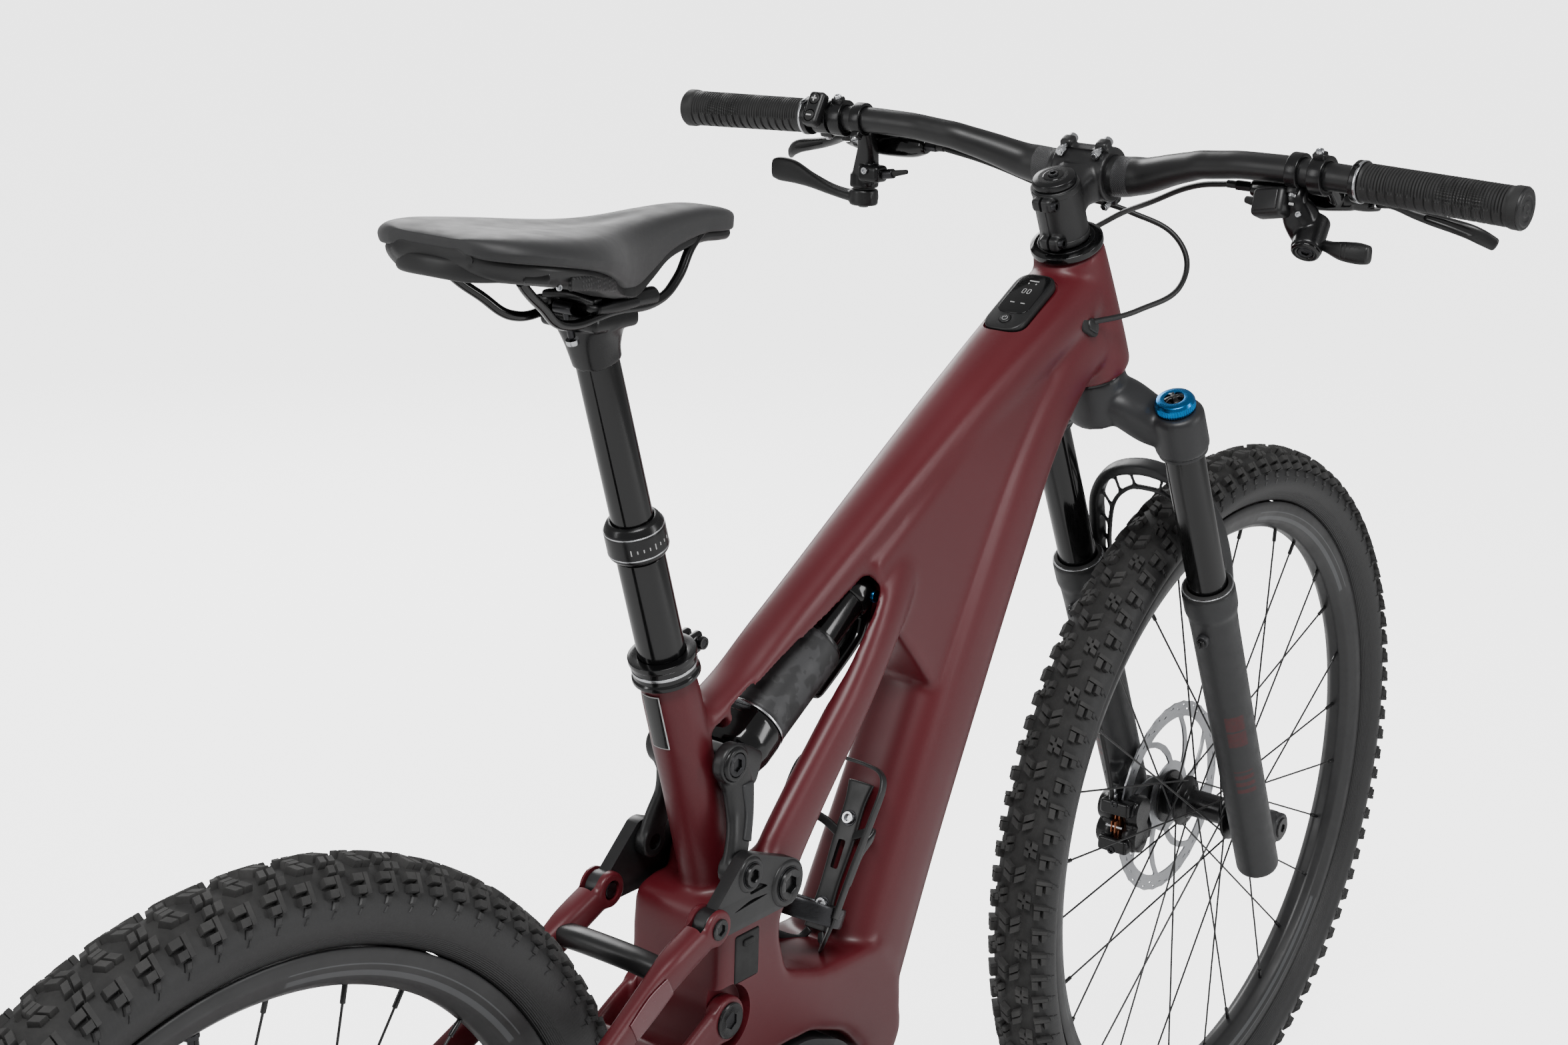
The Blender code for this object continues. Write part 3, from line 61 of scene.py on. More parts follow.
Z_AXIS = Vector((0, 0, 1))

HINGE = {joint["name"]: Vector(joint["pos_m"]) for joint in frame["joints"] if "pos_m" in joint}
AXIS = {joint["name"]: Vector(joint["axis"]).normalized() for joint in frame["joints"]}

CRANK = HINGE["crank_spin"]
GROUND = Vector((CRANK.x, 0, 0))
STEER_UP = AXIS["steering"]
STEER_AHEAD = Vector((STEER_UP.z, 0, -STEER_UP.x))
HEAD_TOP = 699
STEER_FOOT = HINGE["steering"] - STEER_UP * HEAD_TOP * MM
HEAD_PITCH = math.degrees(math.atan2(STEER_AHEAD.z, STEER_AHEAD.x))
POST_UP = AXIS["seatpost_drop"]
POST_AHEAD = Vector((POST_UP.z, 0, -POST_UP.x))
SHOCK_AXIS = -AXIS["shock_stroke"]
SHOCK_UP = Vector((-SHOCK_AXIS.z, 0, SHOCK_AXIS.x))
LEG_SIDE = 69
LEG_AHEAD = 14


def at(x, y, z):
    """A point in millimetres from the ground under the crank axle."""
    return GROUND + Vector((x, y, z)) * MM


SHOCK_EYE = at(204.2, 0, 764.4)
DISPLAY_MIDDLE = at(411, 0, 944.5)
POST_COLLAR = at(-43, 0, 753)


def steer(along, ahead=0.0, side=0.0):
    """A point by its distance up the steering axis from the fork's foot, ahead of it and to the left."""
    return STEER_FOOT + (STEER_UP * along + STEER_AHEAD * ahead + Y_AXIS * side) * MM


def leg_at(side, along=0):
    """A point on the middle of the left (1) or right (-1) fork leg."""
    return steer(along, LEG_AHEAD, LEG_SIDE * side)


def post(along, ahead=0.0, side=0.0):
    """A point by its distance up the seat post from the collar, ahead of it and to the left."""
    return POST_COLLAR + (POST_UP * along + POST_AHEAD * ahead + Y_AXIS * side) * MM


def shock(back, up=0.0, side=0.0):
    """A point by its distance back along the shock's sliding axis, above it and to the left."""
    return SHOCK_EYE + (SHOCK_UP * up - SHOCK_AXIS * back + Y_AXIS * side) * MM


def across(point, side):
    """The same place seen from the side, at another distance to the left."""
    return Vector((point.x, side * MM, point.z))


# ---------------------------------------------------------------- materials


class Look:
    """A material and its node tree, with short calls to add nodes and to join them."""

    def __init__(self, name, colour, metallic=0.0, roughness=0.5):
        self.material = bpy.data.materials.new(name)
        self.material.use_nodes = True
        self.tree = self.material.node_tree
        self.shader = self.tree.nodes["Principled BSDF"]
        self.place = self.add("ShaderNodeTexCoord").outputs["Object"]
        self.bumps = None
        self.set(Metallic=metallic, Roughness=roughness)
        self.feed(self.shader.inputs["Base Color"], (*colour, 1))

    def add(self, kind, inputs=None, **settings):
        node = self.tree.nodes.new(kind)
        for key, value in settings.items():
            setattr(node, key, value)
        for key, value in (inputs or {}).items():
            self.feed(node.inputs[key], value)
        return node

    def feed(self, socket, value):
        if isinstance(value, bpy.types.NodeSocket):
            self.tree.links.new(value, socket)
        else:
            socket.default_value = value

    def set(self, **inputs):
        for key, value in inputs.items():
            self.feed(self.shader.inputs[key.replace("_", " ")], value)

    def math(self, operation, first, second=0.0, clamp=False):
        node = self.add("ShaderNodeMath", {0: first, 1: second}, operation=operation, use_clamp=clamp)
        return node.outputs[0]

    def noise(self, scale, detail=3.0, stretch=(1, 1, 1), roughness=0.55):
        place = self.add("ShaderNodeMapping", {"Vector": self.place, "Scale": stretch}).outputs[0]
        inputs = {"Vector": place, "Scale": scale, "Detail": detail, "Roughness": roughness}
        return self.add("ShaderNodeTexNoise", inputs).outputs["Fac"]

    def band(self, value, low, high, to_low=0.0, to_high=1.0):
        """The value, spread from one range to another and held inside it."""
        inputs = {0: value, 1: low, 2: high, 3: to_low, 4: to_high}
        return self.add("ShaderNodeMapRange", inputs, clamp=True).outputs[0]

    def window(self, value, low, high, soft):
        """One inside the range, zero outside it."""
        rise = self.band(value, low - soft, low + soft)
        fall = self.band(value, high - soft, high + soft, 1.0, 0.0)
        return self.math("MULTIPLY", rise, fall)

    def mix(self, share, first, second):
        node = self.add("ShaderNodeMix", data_type="RGBA")
        for index, value in ((0, share), (6, first), (7, second)):
            if isinstance(value, tuple):
                value = (*value, 1)
            self.feed(node.inputs[index], value)
        return node.outputs[2]

    def along(self, direction, origin=Vector()):
        """How far a point is along a direction, in metres."""
        offset = self.add("ShaderNodeVectorMath", {0: self.place, 1: tuple(origin)}, operation="SUBTRACT")
        inputs = {0: offset.outputs[0], 1: tuple(direction)}
        return self.add("ShaderNodeVectorMath", inputs, operation="DOT_PRODUCT").outputs["Value"]

    def polar(self, axle):
        """The distance from an axle across the bike, and the angle round it."""
        x = self.along(X_AXIS, axle)
        z = self.along(Z_AXIS, axle)
        radius = self.math("SQRT", self.math("ADD", self.math("MULTIPLY", x, x),
                                             self.math("MULTIPLY", z, z)))
        return radius, self.math("ARCTAN2", z, x)

    def bump(self, height, strength, distance):
        inputs = {"Height": height, "Strength": strength, "Distance": distance * MM}
        node = self.add("ShaderNodeBump", inputs)
        if self.bumps is not None:
            self.feed(node.inputs["Normal"], self.bumps)
        self.bumps = node.outputs[0]
        self.feed(self.shader.inputs["Normal"], self.bumps)

    def edges(self, low=0.52, high=0.6):
        """High along the outer edges of a shape."""
        return self.band(self.add("ShaderNodeNewGeometry").outputs["Pointiness"], low, high)


def moulded(name, colour, roughness=0.5, grain=900.0, depth=0.06, metallic=0.0, wear=0.25):
    """A plain solid finish: colour drift, fine grain and slightly lighter edges."""
    look = Look(name, colour, metallic)
    pale = tuple(min(1.0, c * 1.5 + 0.012) for c in colour)
    dark = tuple(c * 0.82 for c in colour)
    drift = look.mix(look.noise(24, 4), dark, tuple(c * 1.12 for c in colour))
    worn = look.math("MULTIPLY", look.edges(), wear)
    look.set(Base_Color=look.mix(worn, drift, pale))
    look.set(Roughness=look.band(look.noise(60, 5), 0.3, 0.7, roughness * 0.88, min(1.0, roughness * 1.12)))
    look.bump(look.noise(grain, 2), 0.35, depth)
    return look.material


def gloss(name, colour, roughness=0.12):
    """Polished black with very faint smears."""
    look = Look(name, colour)
    look.set(Roughness=look.band(look.noise(14, 6, (1, 1, 1), 0.7), 0.35, 0.75, roughness * 0.7,
                                 roughness * 1.9))
    look.set(Specular_IOR_Level=0.42, Coat_Weight=0.15, Coat_Roughness=0.05)
    look.bump(look.noise(70, 2), 0.05, 0.1)
    return look.material


def frame_paint():
    """Satin maroon with a fine flake, darker towards the bottom as painted shade, and a little paler on the
    edges.
    """
    look = Look("maroon_paint", (0.09, 0.006, 0.011))
    drift = look.mix(look.band(look.noise(3.5, 2), 0.35, 0.65), (0.082, 0.0048, 0.009),
                     (0.098, 0.0066, 0.012))
    # Painted shade: below 0.45 m the paint is mixed partly towards a darker maroon, fading out by 0.95 m.
    height = look.band(look.along(Z_AXIS), 0.45, 0.95)
    drift = look.mix(height, look.mix(0.45, drift, (0.055, 0.002, 0.005)), drift)
    flake = look.band(look.noise(2600, 1), 0.55, 0.75)
    drift = look.mix(look.math("MULTIPLY", flake, 0.18), drift, (0.2, 0.03, 0.04))
    look.set(Base_Color=look.mix(look.math("MULTIPLY", look.edges(0.5, 0.56), 0.3), drift,
                                 (0.14, 0.02, 0.028)))
    look.set(Roughness=look.band(look.noise(9, 3), 0.3, 0.7, 0.36, 0.46))
    look.set(Specular_IOR_Level=0.4, Coat_Weight=0.1, Coat_Roughness=0.25)
    look.bump(look.noise(420, 2), 0.04, 0.08)
    return look.material


def tyre_rubber(name, axle, rim_radius, tyre_radius, painted_light_tone=1.0):
    """Dusty tread, and a smoother sidewall with fine moulded rings."""
    look = Look(name, (0.03, 0.03, 0.03))
    radius, angle = look.polar(axle)
    tread = look.band(radius, (tyre_radius - 26) * MM, (tyre_radius - 8) * MM)
    dust = look.band(look.noise(42, 6, (1, 1, 1), 0.7), 0.42, 0.72)
    side = look.mix(look.noise(30, 4), (0.010, 0.010, 0.0105), (0.018, 0.018, 0.0185))
    # Painted light: the tread's colour is scaled by the tone; make_tyre gives the knobs a brighter copy for
    # their lit tops and the carcass a darker copy as shade between them. The dust mottling is the rubber's
    # own.
    top = look.mix(dust, (0.011 * painted_light_tone, 0.0108 * painted_light_tone, 0.0106 * painted_light_tone),
                   (0.021 * painted_light_tone, 0.0205 * painted_light_tone, 0.02 * painted_light_tone))
    look.set(Base_Color=look.mix(tread, side, top))
    look.set(Roughness=look.mix(tread, (0.52, 0.52, 0.52), (0.82, 0.82, 0.82)))
    rings = look.math("SINE", look.math("MULTIPLY", radius, 5200.0))
    seat = look.window(radius, (rim_radius + 2) * MM, (rim_radius + 12) * MM, 0.001)
    look.bump(look.math("MULTIPLY", rings, seat), 0.5, 0.25)
    hairs = look.math("SINE", look.math("MULTIPLY", angle, 700.0))
    look.bump(look.math("MULTIPLY", hairs, look.math("SUBTRACT", 1.0, tread)), 0.12, 0.1)
    look.bump(look.noise(320, 5), 0.5, 0.22)
    return look.material


def rim_carbon(axle, rim_radius):
    """Matte carbon with a faint paler marking that repeats round the rim."""
    look = Look("rim_carbon_" + str(rim_radius), (0.02, 0.02, 0.021))
    radius, angle = look.polar(axle)
    turns = look.math("FRACT", look.math("MULTIPLY", angle, 3 / (2 * math.pi)))
    dash = look.window(turns, 0.3, 0.7, 0.002)
    line = look.window(radius, (rim_radius - 19) * MM, (rim_radius - 15) * MM, 0.0002)
    second = look.window(radius, (rim_radius - 11) * MM, (rim_radius - 10) * MM, 0.0002)
    mark = look.math("MULTIPLY", dash, look.math("MAXIMUM", line, second))
    weave = look.mix(look.noise(140, 4), (0.008, 0.008, 0.0085), (0.015, 0.015, 0.016))
    look.set(Base_Color=look.mix(look.math("MULTIPLY", mark, 0.55), weave, (0.1, 0.105, 0.11)))
    look.set(Roughness=look.band(look.noise(30, 4), 0.3, 0.7, 0.3, 0.46))
    look.bump(look.noise(160, 3), 0.12, 0.12)
    return look.material


def brushed(name, axle, colour):
    """Metal brushed in rings round an axle."""
    look = Look(name, colour, 1.0)
    radius = look.polar(axle)[0]
    inputs = {"Vector": look.add("ShaderNodeCombineXYZ", {0: radius, 1: 0.0, 2: 0.0}).outputs[0],
              "Scale": 3200.0}
    rings = look.add("ShaderNodeTexNoise", inputs).outputs["Fac"]
    look.set(Base_Color=look.mix(rings, tuple(c * 0.8 for c in colour), colour))
    look.set(Roughness=look.band(rings, 0.3, 0.7, 0.224, 0.42))
    look.bump(rings, 0.2, 0.05)
    return look.material


def metal(name, colour, roughness=0.3):
    """Bare metal with uneven, slightly worn roughness."""
    look = Look(name, colour, 1.0)
    drift = look.noise(40, 4)
    look.set(Base_Color=look.mix(drift, tuple(c * 0.78 for c in colour), colour))
    look.set(Roughness=look.band(look.noise(220, 3, (1, 1, 6)), 0.3, 0.7, roughness * 0.8, roughness * 1.3))
    look.bump(look.noise(700, 2), 0.12, 0.04)
    return look.material


def fork_leg_finish():
    """Satin charcoal with two faint dark-red blocks on the outer rear of the legs."""
    look = Look("fork_leg", (0.016, 0.0165, 0.018))
    height = look.along(STEER_UP, STEER_FOOT)
    outward = look.math("ABSOLUTE", look.along(Y_AXIS))
    face = look.window(outward, 0.0745, 0.0885, 0.0005)
    upper = look.window(height, 0.150, 0.188, 0.0006)
    gap = look.window(height, 0.168, 0.170, 0.0004)
    lower = look.window(height, 0.088, 0.118, 0.0006)
    stripes = look.math("GREATER_THAN", look.math("SINE", look.math("MULTIPLY", height, 700.0)), -0.2)
    blocks = look.math("MAXIMUM", look.math("SUBTRACT", upper, gap), look.math("MULTIPLY", lower, stripes))
    worn = look.band(look.noise(300, 3), 0.2, 0.6, 0.3, 0.7)
    mark = look.math("MULTIPLY", look.math("MULTIPLY", blocks, face), worn)
    drift = look.mix(look.noise(18, 4), (0.013, 0.0135, 0.0145), (0.018, 0.0185, 0.02))
    drift = look.mix(look.math("MULTIPLY", look.edges(), 0.2), drift, (0.04, 0.04, 0.043))
    look.set(Base_Color=look.mix(mark, drift, (0.075, 0.004, 0.006)))
    look.set(Roughness=look.band(look.noise(80, 4), 0.3, 0.7, 0.38, 0.5))
    look.bump(look.noise(1300, 2), 0.25, 0.05)
    return look.material


M = {
    "paint": frame_paint(),
    "gloss": gloss("gloss_black", (0.003, 0.003, 0.0032)),
    "anodised_black": moulded("anodised_black", (0.006, 0.006, 0.0065), 0.26, 1400, 0.03, 0.2, 0.5),
    "satin": moulded("satin_black", (0.007, 0.007, 0.0073), 0.38, 1300, 0.04),
    "cast": moulded("cast_black", (0.009, 0.009, 0.0095), 0.4, 900, 0.08, 0.0, 0.4),
    "charcoal": moulded("charcoal", (0.016, 0.0165, 0.018), 0.42, 1300, 0.05, 0.0, 0.25),
    "leg": fork_leg_finish(),
    "plastic": moulded("black_plastic", (0.007, 0.007, 0.0073), 0.42, 1100, 0.06),
    "rubber": moulded("black_rubber", (0.009, 0.009, 0.009), 0.66, 700, 0.12),
    "dark_metal": metal("dark_metal", (0.05, 0.05, 0.053), 0.32),
    "silver": metal("silver", (0.62, 0.63, 0.65), 0.24),
    "bronze": metal("brake_pad_copper", (0.42, 0.16, 0.08), 0.4),
    "blue": metal("blue_anodised", (0.01, 0.2, 0.52), 0.26),
    "film": gloss("clear_film", (0.11, 0.03, 0.036), 0.22),
    "white": moulded("pale_print", (0.5, 0.5, 0.5), 0.5, 1200, 0.02, 0.0, 0.0),
}


# ---------------------------------------------------------------- shapes


def new(name, mesh):
    """A new object in the scene, holding a mesh."""
    piece = bpy.data.objects.new(name, mesh)
    bpy.context.scene.collection.objects.link(piece)
    return piece


def from_bmesh(name, bm):
    """A new object made from a bmesh, with its normals set outwards."""
    bmesh.ops.recalc_face_normals(bm, faces=bm.faces)
    mesh = bpy.data.meshes.new(name)
    bm.to_mesh(mesh)
    bm.free()
    return new(name, mesh)


def baked(piece):
    """Applies the modifiers, or turns a curve into a mesh, with the place kept in the mesh."""
    graph = bpy.context.evaluated_depsgraph_get()
    mesh = bpy.data.meshes.new_from_object(piece.evaluated_get(graph))
    mesh.transform(piece.matrix_basis)
    name = piece.name
    bpy.data.objects.remove(piece, do_unlink=True)
    return new(name, mesh)


def paint(piece, material, angle=34):
    """Gives the piece one material and smooth shading that breaks at sharp edges."""
    piece.data.materials.clear()
    piece.data.materials.append(M[material] if isinstance(material, str) else material)
    count = len(piece.data.polygons)
    piece.data.polygons.foreach_set("material_index", [0] * count)
    piece.data.polygons.foreach_set("use_smooth", [True] * count)
    piece.data.set_sharp_from_angle(angle=math.radians(angle))
    return piece


def merge(name, parts):
    """One piece from several, each keeping its material."""
    bm = bmesh.new()
    materials = []
    for part in parts:
        mesh = part.data
        slots = []
        for material in mesh.materials:
            if material not in materials:
                materials.append(material)
            slots.append(materials.index(material))
        for polygon in mesh.polygons:
            polygon.material_index = slots[polygon.material_index] if slots else 0
        bm.from_mesh(mesh)
        bpy.data.objects.remove(part, do_unlink=True)
    mesh = bpy.data.meshes.new(name)
    bm.to_mesh(mesh)
    bm.free()
    for material in materials:
        mesh.materials.append(material)
    return new(name, mesh)


def attach(piece, body, *nodes, slot=None):
    """Hangs a finished piece on its body, in place of CAD nodes."""
    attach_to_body(piece, body)
    if nodes:
        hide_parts(*nodes)
    return piece


def refined(stations, per):
    """The stations with points between them on a smooth curve."""
    rows = [list(station[0]) + list(station[1:]) for station in stations]
    last = len(rows) - 1
    dense = []
    for i in range(last):
        rows4 = zip(rows[max(i - 1, 0)], rows[i], rows[i + 1], rows[min(i + 2, last)])
        terms = [(2 * b, c - a, 2 * a - 5 * b + 4 * c - d, 3 * b - a - 3 * c + d) for a, b, c, d in rows4]
        for k in range(per):
            t = k / per
            dense.append([0.5 * (p + q * t + r * t * t + s * t ** 3) for p, q, r, s in terms])
    dense.append(rows[-1])
    return [(Vector(row[:3]), *row[3:]) for row in dense]


def oval(centre, first, second, a, b, power, count):
    ring = []
    for i in range(count):
        angle = 2 * math.pi * i / count
        c = math.cos(angle)
        s = math.sin(angle)
        u = math.copysign(abs(c) ** (2 / power), c) * a
        v = math.copysign(abs(s) ** (2 / power), s) * b
        ring.append(centre + (first * u + second * v) * MM)
    return ring


def loft(name, rings):
    """A skin over rings of points, closed at both ends."""
    bm = bmesh.new()
    rows = [[bm.verts.new(point) for point in ring] for ring in rings]
    count = len(rows[0])
    for low, high in zip(rows, rows[1:]):
        for i in range(count):
            j = (i + 1) % count
            bm.faces.new((low[i], low[j], high[j], high[i]))
    bm.faces.new(list(reversed(rows[0])))
    bm.faces.new(rows[-1])
    return from_bmesh(name, bm)


def swept(name, stations, reference=Y_AXIS, power=2.0, count=32, per=8, dome=0.0):
    """A skin through (point, half size along the reference, half size across it), with domed ends."""
    dense = refined(stations, per)
    rings = []
    frames = []
    for i, (point, a, b) in enumerate(dense):
        tangent = (dense[min(i + 1, len(dense) - 1)][0] - dense[max(i - 1, 0)][0]).normalized()
        first = (reference - tangent * reference.dot(tangent)).normalized()
        second = tangent.cross(first)
        frames.append((point, tangent, first, second, a, b))
        rings.append(oval(point, first, second, a, b, power, count))
    if dome:
        steps = 4
        for end, sign in ((0, -1), (-1, 1)):
            point, tangent, first, second, a, b = frames[end]
            caps = []
            for k in range(1, steps + 1):
                angle = 0.5 * math.pi * k / steps
                share = max(0.04, math.cos(angle))
                centre = point + tangent * (sign * dome * math.sin(angle) * MM)
                caps.append(oval(centre, first, second, a * share, b * share, power, count))
            rings = rings + caps if sign > 0 else list(reversed(caps)) + rings
    return loft(name, rings)


def cut_corner(before, corner, after, back, on, steps):
    """Flat points on a curve that cuts a corner, between given distances along its two sides."""
    start = corner + (before - corner).normalized() * back
    stop = corner + (after - corner).normalized() * on
    curve = []
    for k in range(steps + 1):
        t = k / steps
        point = start * (1 - t) ** 2 + corner * 2 * t * (1 - t) + stop * t * t
        curve.append((point.x, point.y))
    return curve


def softened(profile, radius):
    """The outline with its corners rounded, apart from those on the axis."""
    result = []
    count = len(profile)
    for i, (r, w) in enumerate(profile):
        if r < 1e-6:
            result.append((r, w))
            continue
        before = Vector(profile[i - 1])
        after = Vector(profile[(i + 1) % count])
        corner = Vector((r, w))
        back = min(radius, 0.45 * (before - corner).length)
        on = min(radius, 0.45 * (after - corner).length)
        if back < 1e-4 or on < 1e-4:
            result.append((r, w))
            continue
        result += cut_corner(before, corner, after, back, on, 3)
    return result


def basis(axis):
    """Two directions square to an axis; the first is across the bike where it can be."""
    first = Y_AXIS if abs(axis.y) < 0.9 else X_AXIS
    first = (first - axis * first.dot(axis)).normalized()
    return first, axis.cross(first)


def turned(name, centre, axis, profile, steps=64, soft=0.7, shape=None):
    """A closed outline of (radius, distance along) turned round an axis. The shape function, if
    given, changes the radius from the angle and the distance along."""
    outline = softened(profile, soft) if soft else profile
    axis = axis.normalized()
    first, second = basis(axis)
    bm = bmesh.new()
    rows = []
    for radius, along in outline:
        row = []
        for i in range(1 if radius < 1e-6 else steps):
            angle = 2 * math.pi * i / steps
            r = shape(radius, angle, along) if shape else radius
            out = first * math.cos(angle) + second * math.sin(angle)
            row.append(bm.verts.new(centre + (out * r + axis * along) * MM))
        rows.append(row)
    for low, high in zip(rows, rows[1:] + rows[:1]):
        if len(low) == 1 and len(high) == 1:
            continue
        for i in range(steps):
            j = (i + 1) % steps
            corners = [low[i % len(low)], low[j % len(low)], high[j % len(high)], high[i % len(high)]]
            bm.faces.new(list(dict.fromkeys(corners)))
    return from_bmesh(name, bm)


def rod(name, start, end, radius, steps=32, soft=0.5, tip=None):
    """A round bar with softened ends."""
    length = (end - start).length / MM
    far = radius if tip is None else tip
    profile = [(0, 0), (radius, 0), (far, length), (0, length)]
    return turned(name, start, (end - start).normalized(), profile, steps, soft)


def pin(name, centre, radius, near, far, steps=40, soft=0.5):
    """A round bar across the bike, between two distances to the left."""
    return rod(name, across(centre, near), across(centre, far), radius, steps, soft)


def hose(name, points, radius, per=10):
    curve = bpy.data.curves.new(name, "CURVE")
    curve.dimensions = "3D"
    curve.bevel_depth = radius * MM
    curve.bevel_resolution = 4
    curve.resolution_u = per
    curve.use_fill_caps = True
    spline = curve.splines.new("BEZIER")
    spline.bezier_points.add(len(points) - 1)
    for knot, point in zip(spline.bezier_points, points):
        knot.co = point
        knot.handle_left_type = "AUTO"
        knot.handle_right_type = "AUTO"
    return baked(new(name, curve))


def plate(name, outlines, near, far, edge=0.8, segments=2):
    """Outlines of (forward, up) millimetres, filled between two distances to the left."""
    curve = bpy.data.curves.new(name, "CURVE")
    curve.dimensions = "2D"
    curve.fill_mode = "BOTH"
    curve.extrude = abs(far - near) / 2 * MM
    for outline in outlines:
        spline = curve.splines.new("POLY")
        spline.points.add(len(outline) - 1)
        for knot, (x, z) in zip(spline.points, outline):
            knot.co = (x * MM, z * MM, 0, 1)
        spline.use_cyclic_u = True
    piece = new(name, curve)
    stand = Matrix.Rotation(math.pi / 2, 4, "X")
    piece.matrix_basis = Matrix.Translation(GROUND + Y_AXIS * (near + far) / 2 * MM) @ stand
    return bevelled(baked(piece), edge, segments, weld=True)


def bevelled(piece, width, segments=2, weld=False):
    if weld:
        bm = bmesh.new()
        bm.from_mesh(piece.data)
        bmesh.ops.remove_doubles(bm, verts=bm.verts, dist=0.00001)
        bm.to_mesh(piece.data)
        bm.free()
    if not width:
        return piece
    edge = piece.modifiers.new("edge", "BEVEL")
    edge.width = width * MM
    edge.segments = segments
    edge.limit_method = "ANGLE"
    edge.angle_limit = math.radians(40)
    return baked(piece)


def block(name, centre, size, pitch=0.0, edge=1.5, segments=3, turn=None):
    """A rounded box. The pitch tips its forward end up; turn gives other axes as a matrix."""
    bm = bmesh.new()
    bmesh.ops.create_cube(bm, size=1)
    bmesh.ops.scale(bm, vec=Vector(size) * MM, verts=bm.verts)
    piece = bevelled(from_bmesh(name, bm), edge, segments)
    spin = turn or Matrix.Rotation(-math.radians(pitch), 4, "Y")
    piece.data.transform(Matrix.Translation(centre) @ spin)
    return piece


def axes(first, second):
    """A turn matrix whose X runs along the first direction and Z near the second."""
    x = first.normalized()
    y = second.cross(x).normalized()
    z = x.cross(y)
    return Matrix((x, y, z)).transposed().to_4x4()


def rounded(outline, radius, steps=5):
    """A flat outline with its corners rounded."""
    result = []
    count = len(outline)
    for i, corner in enumerate(outline):
        corner = Vector(corner)
        before = Vector(outline[i - 1])
        after = Vector(outline[(i + 1) % count])
        back = min(radius, 0.48 * (before - corner).length)
        on = min(radius, 0.48 * (after - corner).length)
        result += cut_corner(before, corner, after, back, on, steps)
    return result


def circle(x, z, radius, count=48, start=0.0, stop=360.0):
    """Flat points on an arc, counter-clockwise, with the angles in degrees."""
    full = stop - start >= 360
    result = []
    for i in range(count):
        angle = math.radians(start + (stop - start) * i / (count if full else count - 1))
        result.append((x + radius * math.cos(angle), z + radius * math.sin(angle)))
    return result


def fused(name, parts, voxel=1.2, rounds=4):
    """Overlapping shapes melted into one, with soft inner corners."""
    piece = merge(name, parts)
    piece.data.materials.clear()
    melt = piece.modifiers.new("melt", "REMESH")
    melt.mode = "VOXEL"
    melt.voxel_size = voxel * MM
    piece = baked(piece)
    if rounds:
        ease = piece.modifiers.new("ease", "SMOOTH")
        ease.factor = 0.5
        ease.iterations = rounds
        piece = baked(piece)
    return piece


def drilled(piece, cutters):
    """The piece less the cutters."""
    for cutter in cutters:
        step = piece.modifiers.new("drill", "BOOLEAN")
        step.operation = "DIFFERENCE"
        step.solver = "MANIFOLD"
        step.object = cutter
    before = piece.name
    piece = baked(piece)
    if not piece.data.vertices:
        raise RuntimeError("nothing is left of " + before)
    for cutter in cutters:
        bpy.data.objects.remove(cutter, do_unlink=True)
    return piece


def bolt(name, centre, axis, radius, height, material="anodised_black", socket=0.5):
    """A round bolt head with a hexagon socket."""
    axis = axis.normalized()
    steps = 36
    depth = height * 0.75

    def hexagon(radius, angle):
        turn = (angle + math.pi / 6) % (math.pi / 3) - math.pi / 6
        return radius / math.cos(turn)

    first, second = basis(axis)
    levels = [
        (radius, 0, False), (radius, height * 0.7, False), (radius * 0.93, height, False),
        (radius * socket * 1.2, height, False), (radius * socket, height - 0.15 * depth, True),
        (radius * socket, height - depth, True),
    ]
    rings = []
    for r, along, six in levels:
        ring = []
        for i in range(steps):
            angle = 2 * math.pi * i / steps
            reach = hexagon(r, angle) if six else r
            out = first * math.cos(angle) + second * math.sin(angle)
            ring.append(centre + (out * reach + axis * along) * MM)
        rings.append(ring)
    return paint(loft(name, rings), material, 28)


# ---------------------------------------------------------------- frame


def tube_stations(rows):
    return [(at(x, y, z), wide, deep) for x, y, z, wide, deep in rows]


